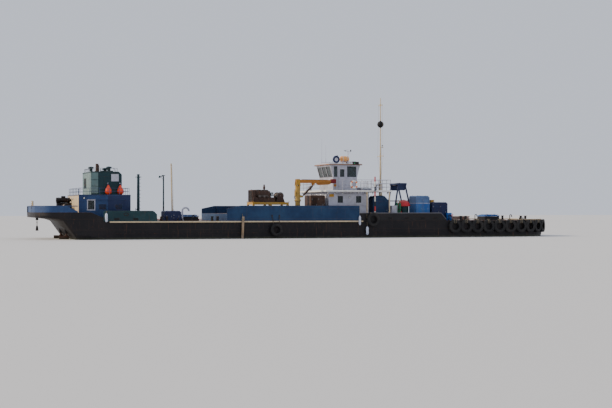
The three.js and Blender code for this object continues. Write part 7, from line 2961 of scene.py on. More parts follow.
@dataclass
class Crane(Fitting):
    """The deck crane's pedestal, and its head, jib and cylinder, each on its own body."""

    station: float = 23.0
    offset: float = -2.4
    radius: float = 0.225
    pedestal_top: float = 4.3
    pivot: float = 6.0
    reach: float = 3.6
    half_width: float = 0.13
    foot: tuple[float, float] = (0.42, 4.65)
    eye: tuple[float, float] = (1.45, 5.67)
    levers: tuple[float, ...] = (-0.1, -0.03, 0.04, 0.11)
    chord: tuple[tuple[float, float], ...] = ((1.66, 0.15), (1.95, 0.33), (2.95, 0.27), (3.2, 0.12))

    def build(self) -> None:
        """Builds the crane from the deck up."""
        self.pedestal()
        self.head()
        self.jib()
        self.tip()
        self.jib_pipes()
        self.hook()
        self.cylinder()

    def pedestal(self) -> None:
        """Turns the pedestal with its gussets and bolts."""
        s, y, z, r = self.station, self.offset, RAISED_DECK, self.radius
        shape = Shape("crane_pedestal_turned", YELLOW)
        high = self.pedestal_top - z
        shape.turned([(r + 0.16, 0.0006), (r + 0.16, 0.085), (r + 0.15, 0.09), (r, 0.095), (r, high - 0.09),
                      (r + 0.06, high - 0.08), (r + 0.07, high - 0.07), (r + 0.07, high - 0.001)], (s, y, z),
                     sides=36)
        foot = Vector((s, y, z))
        for turn in turns(8):
            out = Vector((math.cos(turn), math.sin(turn), 0))
            side = Vector((-out.y, out.x, 0)) * 0.012
            corners = [out * (r - 0.02) + Vector((0, 0, 0.085)), out * (r + 0.13) + Vector((0, 0, 0.085)),
                       out * (r + 0.1) + Vector((0, 0, 0.13)), out * (r - 0.02) + Vector((0, 0, 0.42))]
            shape.loft([[foot + c + side * sign for c in corners] for sign in (-1, 1)])
        shape.border((s, y - r - 0.01, z + 0.62), (1, 0, 0), (0, 0, 1), (0.16, 0.26), 0.02, 0.03)
        self.put(shape, replaced=["crane_pedestal"], bevel=0.004)
        self.bolts("crane_base_bolts", YELLOW, ring((s, y, z + 0.088), r + 0.125, 16, math.pi / 16), 0.017)
        pipes = Shape("crane_deck_pipes", DARK)
        for dy in (-0.06, 0.06):
            pipes.tube([(23.92, y + dy, 3.5), (23.8, y + dy, 3.36), (23.62, y + dy * 1.4, 3.28),
                        (23.46, y + dy, 3.33), (s + r - 0.01, y + dy, 3.44)], 0.026, 9)
        self.put(pipes)

    def head_finish(self, place: Vector, normal: Vector) -> Optional[Finish]:
        """Gives the head's paint, and None on its round column.

        Args:
            place: a face's middle on the ship, in full-size metres.
            normal: the face's normal.

        Returns:
            The finish, or None where the face is left out.
        """
        reach = math.hypot(place.x - self.station, place.y - self.offset)
        on_flange = place.z < 4.42 and reach < 0.31
        on_column = reach < 0.23 and place.z < 5.57 and place.x < self.station + 0.24
        return None if on_flange or on_column else YELLOW

    def head(self) -> None:
        """Dresses the slewing head."""
        s, y, r = self.station, self.offset, self.radius
        self.skin("crane_head", self.head_finish, 0.008)
        shape = Shape("crane_column", YELLOW)
        low = self.pedestal_top + 0.0006
        shape.turned([(r + 0.07, 0.0), (r + 0.07, 0.07), (r + 0.06, 0.085), (r, 0.09), (r, 0.62),
                      (r + 0.012, 0.63), (r + 0.012, 0.68), (r, 0.69), (r, 5.6 - low)], (s, y, low), sides=36)
        for side in (-1, 1):
            shape.turned([(0.075, 0.0), (0.075, 0.02), (0.05, 0.035)], (s, y + side * 0.204, self.pivot),
                         (0, side, 0), 20)
        shape.block((s - 0.26, s - 0.2), (y - 0.16, y + 0.16), (4.7, 5.1))
        for dy in self.levers:
            shape.tube([(s - 0.25, y + dy, 5.1), (s - 0.27, y + dy, 5.24)], 0.008, 6)
            shape.ball((s - 0.272, y + dy, 5.25), 0.018, 10)
        self.put(shape, "crane_head", bevel=0.004)
        places = ring((s, y, low + 0.084), r + 0.04, 16, math.pi / 16)
        self.bolts("crane_slew_bolts", YELLOW, places, 0.015, "crane_head")
        pipes = Shape("crane_head_pipes", DARK)
        for dy in (-0.05, 0.05):
            pipes.tube([(s - 0.24, y + dy, 4.75), (s - 0.3, y + dy, 4.62), (s - 0.3, y + dy, 4.5),
                        (s - 0.21, y + dy, 4.45)], 0.02, 8)
        self.put(pipes, "crane_head")

    def jib_finish(self, place: Vector, normal: Vector) -> Optional[Finish]:
        """Gives the jib's paint, and None on its coarse hook.

        Args:
            place: a face's middle on the ship, in full-size metres.
            normal: the face's normal.

        Returns:
            The finish, or None where the face is left out.
        """
        hook = place.x > self.station + self.reach - 0.2 and place.z < self.pivot - 0.07
        narrow = abs(place.y - self.offset) < 0.125 and abs(normal.z) < 0.99
        return None if hook and (narrow or place.z < self.pivot - 0.15) else ORANGE

    def jib(self) -> None:
        """Dresses the jib with flanges, ribs and its box chord."""
        s, y, z, half = self.station, self.offset, self.pivot, self.half_width
        self.skin("crane_jib", self.jib_finish, 0.008)
        trim = Shape("jib_flanges", ORANGE)
        for top in (-1, 1):
            for side in (-1, 1):
                wide = sorted((y + side * half, y + side * (half + 0.012)))
                trim.bar([(s + out, wide, sorted((z + height - top * 0.03, z + height))) for out, height in
                          ((0.92, top * 0.15), (self.reach - 0.02, 0.04 + top * 0.09))])
        self.put(trim, "crane_jib", bevel=0.003)
        for side, name in SIDES:
            rib = Shape("rib", ORANGE).block((-0.012, 0.012), (0.0, side * 0.01), (-0.085, 0.085))
            line = [(s + 1.1, y + side * half, z + 0.002), (s + 2.9, y + side * half, z + 0.02)]
            self.row(f"jib_ribs_{name}", ORANGE, [line], rib, 7, "crane_jib")
        chord = Shape("jib_box_chord", ORANGE)
        chord.bar([(s + out, (y - 0.075, y + 0.075), (z - low, z - 0.03)) for out, low in self.chord])
        self.put(chord, "crane_jib", bevel=0.01)

    def tip(self) -> None:
        """Adds the red tip with its pin."""
        s, y, z, half = self.station, self.offset, self.pivot, self.half_width
        tip = Shape("jib_tip", TIP_RED)
        wide = (y - half - 0.02, y + half + 0.02)
        tip.bar([(s + out, wide, (z + 0.03 - thick, z + 0.03 + thick)) for out, thick in
                 ((3.1, 0.13), (3.18, 0.19), (self.reach - 0.05, 0.19), (self.reach - 0.012, 0.15))])
        for side in (-1, 1):
            tip.turned([(0.05, 0.0), (0.05, 0.012), (0.03, 0.02)],
                       (s + self.reach - 0.09, y + side * (half + 0.018), z + 0.02), (0, side, 0), 18)
        self.put(tip, "crane_jib", bevel=0.006)

    def jib_pipes(self) -> None:
        """Runs pipes along the jib and pins the cylinder's eye."""
        s, y, z = self.station, self.offset, self.pivot
        pipes = Shape("jib_pipes", DARK)
        for dy in (-0.04, 0.04):
            pipes.tube([(s + 0.36, y + dy, z + 0.08), (s + 0.4, y + dy, z + 0.165),
                        (s + 0.9, y + dy, z + 0.165), (s + 1.8, y + dy, z + 0.155),
                        (s + 2.9, y + dy, z + 0.145), (s + 2.94, y + dy, z + 0.06)], 0.016, 8)
        self.put(pipes, "crane_jib")
        eye = Shape("jib_eye_pin", STEEL)
        eye.turned([(0.034, -0.13), (0.034, 0.13)], (s + self.eye[0], y, self.eye[1]), (0, 1, 0), 18)
        for side in (-1, 1):
            eye.turned([(0.05, 0.0), (0.05, 0.014), (0.03, 0.02)],
                       (s + self.eye[0], y + side * 0.11, self.eye[1]), (0, side, 0), 16)
        self.put(eye, "crane_jib", bevel=0.002)

    def hook(self) -> None:
        """Reeves the falls and forges the hook."""
        x, y, z = self.station + self.reach - 0.06, self.offset, self.pivot
        falls = Shape("hook_falls", WIRE)
        for dy in (-0.03, 0.03):
            falls.tube([(x, y + dy, z - 0.04), (x, y + dy, z - 0.3)], 0.009, 7)
        self.put(falls, "crane_jib")
        block = Shape("hook_block", ORANGE)
        block.turned([(0.03, -0.045), (0.118, -0.045), (0.12, -0.03), (0.1, -0.018), (0.1, 0.018),
                      (0.12, 0.03), (0.118, 0.045), (0.03, 0.045)], (x, y, z - 0.33), (0, 1, 0), 28)
        for side in (-1, 1):
            block.panel((x, y + side * 0.052, z - 0.33), (1, 0, 0), (0, 0, 1), (0.09, 0.26, 0.012))
            block.turned([(0.03, 0.0), (0.03, 0.016), (0.018, 0.02)], (x, y + side * 0.055, z - 0.33),
                         (0, side, 0), 12)
        block.turned([(0.04, 0.0), (0.04, 0.05)], (x, y, z - 0.48), sides=16)
        self.put(block, "crane_jib", bevel=0.003)
        hook = Shape("hook_forged", IRON)
        path = [(x, y, z - 0.42), (x, y, z - 0.455)]
        path += [(x + 0.048 * math.sin(t), y, z - 0.502 + 0.045 * math.cos(t)) for t in
                 (math.radians(a) for a in range(10, 261, 25))]
        hook.tube(path, 0.019, 10, 0.009)
        self.put(hook, "crane_jib")

    def cylinder(self) -> None:
        """Turns the luffing cylinder's barrel and rod."""
        foot = Vector((self.station + self.foot[0], self.offset, self.foot[1]))
        eye = Vector((self.station + self.eye[0], self.offset, self.eye[1]))
        along = (eye - foot).normalized()
        length = (eye - foot).length
        barrel = Shape("luff_barrel_turned", BROWN)
        barrel.turned([(0.0455, 1.34), (0.0455, 0.25), (0.046, 0.19), (0.03, 0.06), (0.045, 0.06),
                       (0.05, 0.18), (0.08, 0.2), (0.085, 0.21), (0.085, 1.27), (0.092, 1.28), (0.092, 1.335),
                       (0.085, 1.34), (0.0455, 1.34)], foot, along, 28)
        barrel.turned([(0.0355, -0.06), (0.075, -0.06), (0.075, 0.06), (0.0355, 0.06), (0.0355, -0.06)], foot,
                      (0, 1, 0), 24)
        up = Vector((-along.z, 0, along.x))
        for share in (0.3, 1.2):
            place = foot + along * share + up * 0.085
            barrel.tube([place - up * 0.01, place + up * 0.035], 0.018, 10)
        pipe = [foot + along * 1.2 + up * 0.115, foot + along * 1.1 + up * 0.125, foot + along * 0.4
                + up * 0.125, foot + along * 0.3 + up * 0.115]
        barrel.tube(pipe, 0.01, 7)
        self.put(barrel, "luff_barrel", ["luff_barrel"], angle=40)
        rod = Shape("luff_rod_turned", STEEL)
        rod.tube([foot + along * 0.26, foot + along * (length - 0.05)], 0.0445, 24)
        rod.turned([(0.0355, -0.045), (0.065, -0.045), (0.065, 0.045), (0.0355, 0.045), (0.0355, -0.045)],
                   eye, (0, 1, 0), 24)
        self.put(rod, "luff_rod", ["luff_rod"], angle=40)


@dataclass
class DoorSet(Fitting):
    """A leaf's raised panel, lever, lock plate and dogs."""

    body: str
    finish: Finish
    face: Opening
    handle: float
    panel: tuple[float, float, float, float]

    def build(self) -> None:
        """Fits the leaf out, on its own body."""
        right, high, width, height = self.panel
        shape = Shape(f"{self.body}_panel", self.finish)
        spot = self.face
        shape.border(spot.at(right, high, 0.001), spot.across, spot.up, (width, height), 0.03, 0.014)
        self.put(shape, self.body, bevel=0.003)
        metal = Shape(f"{self.body}_lever", STEEL)
        turn = -1 if self.handle > 0 else 1
        metal.panel(spot.at(self.handle, 0.02, 0.004), spot.across, spot.up, (0.05, 0.2, 0.012))
        metal.tube([spot.at(self.handle, 0.04, 0), spot.at(self.handle, 0.04, 0.05)], 0.011, 10)
        metal.tube([spot.at(self.handle, 0.04, 0.046), spot.at(self.handle + turn * 0.13, 0.035, 0.046)],
                   0.01, 10)
        for share in (-0.36, 0.36):
            place = share * spot.size[1]
            metal.tube([spot.at(self.handle, place, 0), spot.at(self.handle, place, 0.035)], 0.016, 10)
            metal.tube([spot.at(self.handle, place, 0.03), spot.at(self.handle + turn * 0.1, place - 0.03,
                                                                   0.03)], 0.01, 8)
        self.put(metal, self.body, bevel=0.002)


def bulkhead_lamp(shape: Shape, place: Point, out: Point) -> None:
    """Adds a round lamp in its ring to the shape.

    Args:
        shape: takes the lamp.
        place: the lamp's middle on the wall.
        out: the wall's outward direction.
    """
    shape.use(LENS_CLEAR).turned([(0.07, 0.0), (0.07, 0.03), (0.05, 0.065), (0.01, 0.08)], place, out, 20)
    shape.use(DARK).hoop(Vector(place) + Vector(out) * 0.02, out, 0.078, 0.014, 22, 6)


@dataclass
class Deckhouse(Fitting):
    """The white deckhouse: windows, door, mouldings, rails and wall gear."""

    span: tuple[float, float] = (25.6, 29.4)
    half: float = 3.3
    top: float = 5.099
    windows: tuple[tuple[float, float], ...] = ((26.35, 27.05), (28.1, 28.8))
    heights: tuple[float, float] = (4.1, 4.7)
    blank: float = 0.1

    def build(self) -> None:
        """Dresses the deckhouse."""
        self.skin("deckhouse", WHITE)
        self.skin("deckhouse_door", WHITE, 0.008)
        low, high = self.heights
        size = (self.windows[0][1] - self.windows[0][0] - 2 * self.blank, high - low)
        spots = [Opening(((a + b) / 2, side * self.half, (low + high) / 2), (-side, 0, 0), (0, 0, 1), size)
                 for side in (-1, 1) for a, b in self.windows]
        spots += [Opening((self.span[1], y, (low + high) / 2), (0, 1, 0), (0, 0, 1), size)
                  for y in (-1.7, 1.7)]
        self.glaze("deckhouse_windows", spots, WHITE, width=self.blank + 0.045)
        leaf = Opening((self.span[0] - 0.059, 1.7, 4.08), (0, -1, 0), (0, 0, 1), (0.76, 1.72))
        DoorSet(self.yard, "deckhouse_door", WHITE, leaf, 0.3, (-0.02, 0.0, 0.5, 1.4)).build()
        self.mouldings(spots)
        self.wall_gear()

    def mouldings(self, spots: Sequence[Opening]) -> None:
        """Adds the base bead, window brows and handrails.

        Args:
            spots: the windows that get a brow.
        """
        trim = Shape("deckhouse_mouldings", WHITE)
        start, end = self.span
        width = end - start - 0.5
        for side in (-1, 1):
            face = side * self.half
            for z in (RAISED_DECK + 0.03, 3.86, 5.03):
                trim.block((start, end), (face, face + side * 0.022), (z, z + 0.045))
            trim.tube([(start + 0.2, face + side * 0.07, 4.9), (end - 0.2, face + side * 0.07, 4.9)], 0.017,
                      10)
            for k in range(6):
                s = start + 0.25 + width * k / 5
                trim.tube([(s, face - side * 0.01, 4.9), (s, face + side * 0.07, 4.9)], 0.012, 8)
        for x, out in ((start, -1), (end, 1)):
            trim.block((x, x + out * 0.022), (-self.half, self.half), (5.03, 5.075))
        for spot in spots:
            trim.panel(spot.at(0, spot.size[1] / 2 + 0.07, 0.04), spot.across, (0, 0, 1),
                       (spot.size[0] + 0.16, 0.016, 0.08))
        trim.border((start - 0.002, 1.7, 4.09), (0, -1, 0), (0, 0, 1), (0.68, 1.6), 0.03, 0.008)
        self.put(trim, bevel=0.004)

    def wall_gear(self) -> None:
        """Hangs the fire box, the yellow hose box, lamps and pipes on the walls."""
        gear = Shape("deckhouse_wall_gear", RED)
        y = -self.half - 0.08
        gear.block((27.25, 27.6), (y - 0.06, y + 0.085), (3.3, 3.78))
        gear.border((27.425, y - 0.06, 3.54), (1, 0, 0), (0, 0, 1), (0.29, 0.42), 0.02, 0.016)
        gear.use(YELLOW).block((25.66, 26.05), (y - 0.05, y + 0.085), (4.62, 4.86))
        gear.turned([(0.03, 0.0), (0.03, 0.02)], (25.86, y - 0.05, 4.74), (0, -1, 0), 12)
        self.put(gear, bevel=0.012)
        pipes = Shape("deckhouse_pipes", WHITE)
        for s in (27.5, 29.2):
            pipes.tube([(s, self.half + 0.05, RAISED_DECK + 0.05), (s, self.half + 0.05, 5.09)], 0.028, 10)
        pipes.tube([(25.54, -2.9, RAISED_DECK), (25.54, -2.9, 5.09)], 0.028, 10)
        for place, out in (((27.6, -self.half, 4.6), (0, -1, 0)), ((27.6, self.half, 4.6), (0, 1, 0)),
                           ((25.6, 0.9, 4.8), (-1, 0, 0)), ((29.4, 0.0, 4.7), (1, 0, 0))):
            bulkhead_lamp(pipes, place, out)
        self.put(pipes)


@dataclass
class BoatDeck(Fitting):
    """The boat deck with its legs, rails, ladder, lifebuoys and vents."""

    span: tuple[float, float] = (25.2, 31.45)
    half: float = 3.8
    top: float = BOAT_DECK
    cowls: tuple[tuple[float, float, float], ...] = ((30.4, -2.6, 0.45), (30.4, 2.9, 0.45), (25.9, 2.6, 0.35))
    legs: tuple[float, ...] = (29.1, 31.25)

    def build(self) -> None:
        """Dresses the deck and what stands on it."""
        self.skin("boat_deck", self.deck_finish, 0.015)
        self.edge()
        self.rails()
        self.ladder()
        self.vents()
        self.lifebuoy("starboard", (27.8, -self.half - 0.005, 5.72), -1)
        self.lifebuoy("port", (28.6, self.half + 0.005, 5.72), 1)

    def deck_finish(self, place: Vector, normal: Vector) -> Finish:
        """Gives the plate its paint: grey on top, cream on the legs.

        Args:
            place: a face's middle on the ship, in full-size metres.
            normal: the face's normal.

        Returns:
            The finish.
        """
        if place.z < 5.09:
            return CREAM
        return RAIL_GREY if normal.z > 0.7 else WHITE

    def edge(self) -> None:
        """Adds the rolled edge, the beams below and the legs' feet."""
        shape = Shape("boat_deck_edge", BUOY_WHITE)
        start, end = self.span
        for side in (-1, 1):
            y = side * self.half
            shape.block((start, end), (y - side * 0.02, y + side * 0.025), (self.top - 0.12, self.top + 0.02))
            for k in range(9):
                s = start + 0.25 + (end - start - 0.5) * k / 8
                shape.plate(0, (s - 0.008, s + 0.008), [
                    (side * 3.31, 5.095), (side * 3.78, 5.095), (side * 3.78, 5.05), (side * 3.31, 4.86)])
        for x, out in ((start, -1), (end, 1)):
            shape.block((x - out * 0.02, x + out * 0.025), (-self.half, self.half),
                        (self.top - 0.12, self.top + 0.02))
        self.put(shape, bevel=0.006)
        feet = Shape("boat_deck_feet", CREAM)
        for s in self.legs:
            for side in (-1, 1):
                feet.turned([(0.13, 0.001), (0.13, 0.03), (0.062, 0.035), (0.062, 0.06)],
                            (s, side * 3.72, MAIN_DECK), sides=20)
        self.put(feet, bevel=0.003)

    def rails(self) -> None:
        """Runs rails where the crane's jib doesn't pass."""
        z, y = self.top, self.half - 0.08
        start, end = self.span[0] + 0.08, self.span[1] - 0.08
        lines = [[(start, y, z), (end, y, z)], [(start, 0.75, z), (start, y, z)],
                 [(26.75, -y, z), (end, -y, z)], [(end, -y, z), (end, 2.0, z)], [(end, 2.75, z), (end, y, z)]]
        self.grow("boat_deck_rails", Pattern.RAILING, WHITE, [spaced(line, 0.95) for line in lines],
                  Height=0.95 * SCALE, Rails=3, Rail_Radius=0.017 * SCALE, Post_Radius=0.021 * SCALE)

    def ladder(self) -> None:
        """Hangs the ladder at the fore edge."""
        shape = Shape("boat_deck_ladder", WHITE)
        x, y = self.span[1] + 0.1, 2.38
        for dy in (-0.22, 0.22):
            shape.tube([(x + 0.25, y + dy, MAIN_DECK), (x, y + dy, self.top),
                        (x - 0.04, y + dy, self.top + 0.95), (x - 0.3, y + dy, self.top + 1.0),
                        (x - 0.34, y + dy, self.top)], 0.022, 10)
        self.put(shape)
        rung = Shape("rung", WHITE).block((-0.03, 0.03), (-0.22, 0.22), (-0.01, 0.01))
        self.row("boat_deck_rungs", WHITE, [[(x + 0.22, y, MAIN_DECK + 0.3), (x + 0.02, y, self.top - 0.22)]],
                 rung, 9)

    def vents(self) -> None:
        """Stands vents and a skylight on the deck."""
        shape = Shape("boat_deck_vents", WHITE)
        for s, y, high in self.cowls:
            shape.turned([(0.13, 0.0), (0.13, high), (0.22, high + 0.01), (0.24, high + 0.05),
                          (0.2, high + 0.12), (0.02, high + 0.16)], (s, y, self.top), sides=24)
        shape.block((29.7, 30.7), (-0.9, 0.9), (self.top, self.top + 0.16))
        shape.plate(0, (29.66, 30.74), [
            (-0.95, self.top + 0.16), (0.95, self.top + 0.16), (0.95, self.top + 0.19),
            (0.0, self.top + 0.34), (-0.95, self.top + 0.19)])
        self.put(shape, bevel=0.008)
        panes = Shape("skylight_panes", GLASS)
        for side in (-1, 1):
            for s in (29.95, 30.45):
                panes.panel((s, side * 0.48, self.top + 0.272), (1, 0, 0), (0, 0.95, -side * 0.15),
                            (0.36, 0.55, 0.012))
        self.put(panes)

    def lifebuoy(self, name: str, centre: Point, side: int) -> None:
        """Hangs a banded lifebuoy with its grab line on the rail.

        Args:
            name: the side's name.
            centre: the ring's middle.
            side: -1 to starboard, 1 to port.
        """
        x, y, z = centre[0], centre[1] + side * 0.075, centre[2]
        buoy = Shape(f"lifebuoy_{name}", BUOY_WHITE)
        for k in range(8):
            finish, reach, steps, thick = ((BUOY_WHITE, 33, 9, 0.078), (BUOY_ORANGE, 12, 5, 0.081))[k % 2]
            angles = [math.radians(k * 45 - reach + 2 * reach * i / (steps - 1)) for i in range(steps)]
            path = [(x + 0.295 * math.cos(t), y, z + 0.295 * math.sin(t)) for t in angles]
            buoy.use(finish).tube(path, thick, 14)
        self.put(buoy, angle=50)
        line = Shape(f"lifebuoy_line_{name}", ROPE)
        for t in turns(4):
            line.tube([(x + reach * math.cos(t + more), y + slack, z + reach * math.sin(t + more)) for more,
                       reach, slack in ((0.0, 0.385, 0.0), (math.pi / 4, 0.43, side * 0.01),
                                        (math.pi / 2, 0.385, 0.0))], 0.008, 6)
        self.put(line)


@dataclass
class Wheelhouse(Fitting):
    """The wheelhouse: raked glass, doors, mouldings, wipers and its inside."""

    aft: float = 26.55
    fore: float = 28.85
    half: float = 1.85
    rake: float = 0.3
    sill: float = 6.4
    top: float = 7.5
    panes: tuple[tuple[float, float], ...] = ((-1.72, -0.62), (-0.55, 0.55), (0.62, 1.72))
    sides: tuple[tuple[float, float], ...] = ((26.62, 26.96), (27.9, 28.78))
    heights: tuple[float, float] = (6.44, 7.39)
    hinge: float = 27.75
    screens: tuple[float, ...] = (-1.0, -0.45, 0.55, 1.05)

    def build(self) -> None:
        """Dresses the wheelhouse."""
        self.skin("wheelhouse", WHITE)
        for name in ("wheelhouse_door_starboard", "wheelhouse_door_port"):
            self.skin(name, WHITE, 0.008)
        raked = self.raked()
        self.glaze("wheelhouse_end_windows", raked, WHITE, width=0.04)
        low, high = self.heights
        spots = [Opening(((a + b) / 2, side * self.half, (low + high) / 2), (-side, 0, 0), (0, 0, 1),
                         (b - a, high - low)) for side in (-1, 1) for a, b in self.sides]
        self.glaze("wheelhouse_side_windows", spots, WHITE, width=0.035)
        self.doors()
        self.mouldings()
        self.wipers([spot for spot in raked if spot.across[1] > 0])
        self.inside()

    def raked(self) -> list[Opening]:
        """Gives the raked end windows, fore and aft.

        Returns:
            The openings.
        """
        low, high = self.heights
        lean = self.rake / (self.top - self.sill)
        out = lean * ((low + high) / 2 - self.sill)
        height = (high - low) * math.hypot(1, lean)
        spots = []
        for a, b in self.panes:
            middle = ((a + b) / 2, (low + high) / 2)
            spots.append(Opening((self.fore + out, *middle), (0, 1, 0), (lean, 0, 1), (b - a, height)))
            spots.append(Opening((self.aft - out, *middle), (0, -1, 0), (-lean, 0, 1), (b - a, height)))
        return spots

    def doors(self) -> None:
        """Glazes the doors and fits them out, each on its own body."""
        for side, name in SIDES:
            body = f"wheelhouse_door_{name}"
            y = side * 1.909
            pane = Opening((self.hinge - 0.35, y, 6.785), (-side, 0, 0), (0, 0, 1), (0.42, 0.69))
            self.glaze(f"{body}_window", [pane], WHITE, body, 0.03, 0.022)
            leaf = Opening((self.hinge - 0.35, y, 6.28), (-side, 0, 0), (0, 0, 1), (0.66, 1.9))
            DoorSet(self.yard, body, WHITE, leaf, side * 0.27, (0.0, -0.48, 0.44, 0.76)).build()

    def mouldings(self) -> None:
        """Adds the sill bead, base bead, end panel frames and grab rails."""
        shape = Shape("wheelhouse_mouldings", WHITE)
        for side in (-1, 1):
            face = side * self.half
            for a, b in ((self.aft, 27.08), (27.8, self.fore)):
                shape.block((a, b), (face, face + side * 0.018), (self.sill - 0.07, self.sill - 0.02))
                shape.block((a, b), (face, face + side * 0.018), (BOAT_DECK + 0.004, BOAT_DECK + 0.07))
            shape.tube([(28.2, face, 6.1), (28.2, face + side * 0.06, 6.1), (28.75, face + side * 0.06, 6.1),
                        (28.75, face, 6.1)], 0.014, 8)
        for x, out in ((self.aft, -1), (self.fore, 1)):
            for z in (self.sill - 0.07, BOAT_DECK + 0.004):
                shape.block((x, x + out * 0.018), (-self.half, self.half), (z, z + 0.05))
            for y in (-1.0, 1.0):
                shape.border((x + out * 0.006, y, 5.85), (0, out, 0), (0, 0, 1), (1.3, 0.7), 0.03, 0.014)
        self.put(shape, bevel=0.004)

    def wipers(self, spots: Sequence[Opening]) -> None:
        """Puts a wiper on each fore pane.

        Args:
            spots: the fore panes.
        """
        shape = Shape("wheelhouse_wipers", DARK)
        for spot in spots:
            shape.block((spot.centre[0] + 0.06, spot.centre[0] + 0.13),
                        (spot.centre[1] - 0.05, spot.centre[1] + 0.05), (7.3, 7.4))
            shape.tube([spot.at(0, 0.45, 0.03), spot.at(0.2, -0.1, 0.012)], 0.009, 6)
            shape.tube([spot.at(0.14, -0.32, -0.02), spot.at(0.24, 0.14, -0.02)], 0.009, 6)
        self.put(shape)

    def inside(self) -> None:
        """Furnishes the inside: console, wheel, screens, stool and sole."""
        floor = BOAT_DECK + 0.002
        desk = Shape("wheelhouse_console", VARNISH)
        desk.plate(1, (-1.5, 1.5), [(28.15, floor), (28.74, floor), (28.74, 6.3), (28.45, 6.3),
                                    (28.15, 6.08)])
        desk.block((26.7, 27.0), (-1.4, 1.4), (floor, 5.65))
        self.put(desk, bevel=0.015)
        sole = Shape("wheelhouse_sole", PLANK).block((26.63, 28.77), (-1.77, 1.77), (floor, floor + 0.012))
        self.put(sole)
        fittings = Shape("wheelhouse_instruments", DARK)
        for y in self.screens:
            fittings.panel((28.4, y, 6.33), (0, -1, 0), (0.25, 0, 1), (0.36, 0.24, 0.06))
        for y in (-0.12, 0.12):
            fittings.tube([(28.28, y, 6.16), (28.24, y, 6.3)], 0.01, 8)
            fittings.ball((28.24, y, 6.31), 0.024, 12)
        fittings.use(GLASS)
        for y in self.screens:
            fittings.panel((28.368, y, 6.34), (0, -1, 0), (0.25, 0, 1), (0.31, 0.19, 0.006))
        self.put(fittings, bevel=0.004)
        wheel = Shape("steering_wheel", VARNISH).hoop((28.04, 0, 6.02), (1, 0, -0.2), 0.3, 0.02, 30, 8)
        wheel.turned([(0.05, -0.03), (0.06, 0.0), (0.04, 0.03)], (28.04, 0, 6.02), (-1, 0, 0.2), 18)
        for t in turns(6):
            rim = (28.04 + 0.075 * math.sin(t), 0.37 * math.cos(t), 6.02 + 0.37 * math.sin(t))
            wheel.tube([(28.04, 0, 6.02), rim], 0.013, 8)
        wheel.tube([(28.04, 0, 6.02), (28.2, 0, 5.99)], 0.03, 12)
        self.put(wheel)
        stool = Shape("helm_stool", VARNISH)
        stool.turned([(0.03, 0.0), (0.2, 0.0), (0.215, 0.015), (0.215, 0.035), (0.19, 0.045), (0.001, 0.035)],
                     (27.5, 0, 5.86), sides=28)
        stool.use(STEEL).turned([(0.22, 0.0), (0.22, 0.02), (0.05, 0.05), (0.035, 0.6), (0.09, 0.66),
                                 (0.09, 0.672)], (27.5, 0, floor + 0.012), sides=22)
        self.put(stool, bevel=0.004)


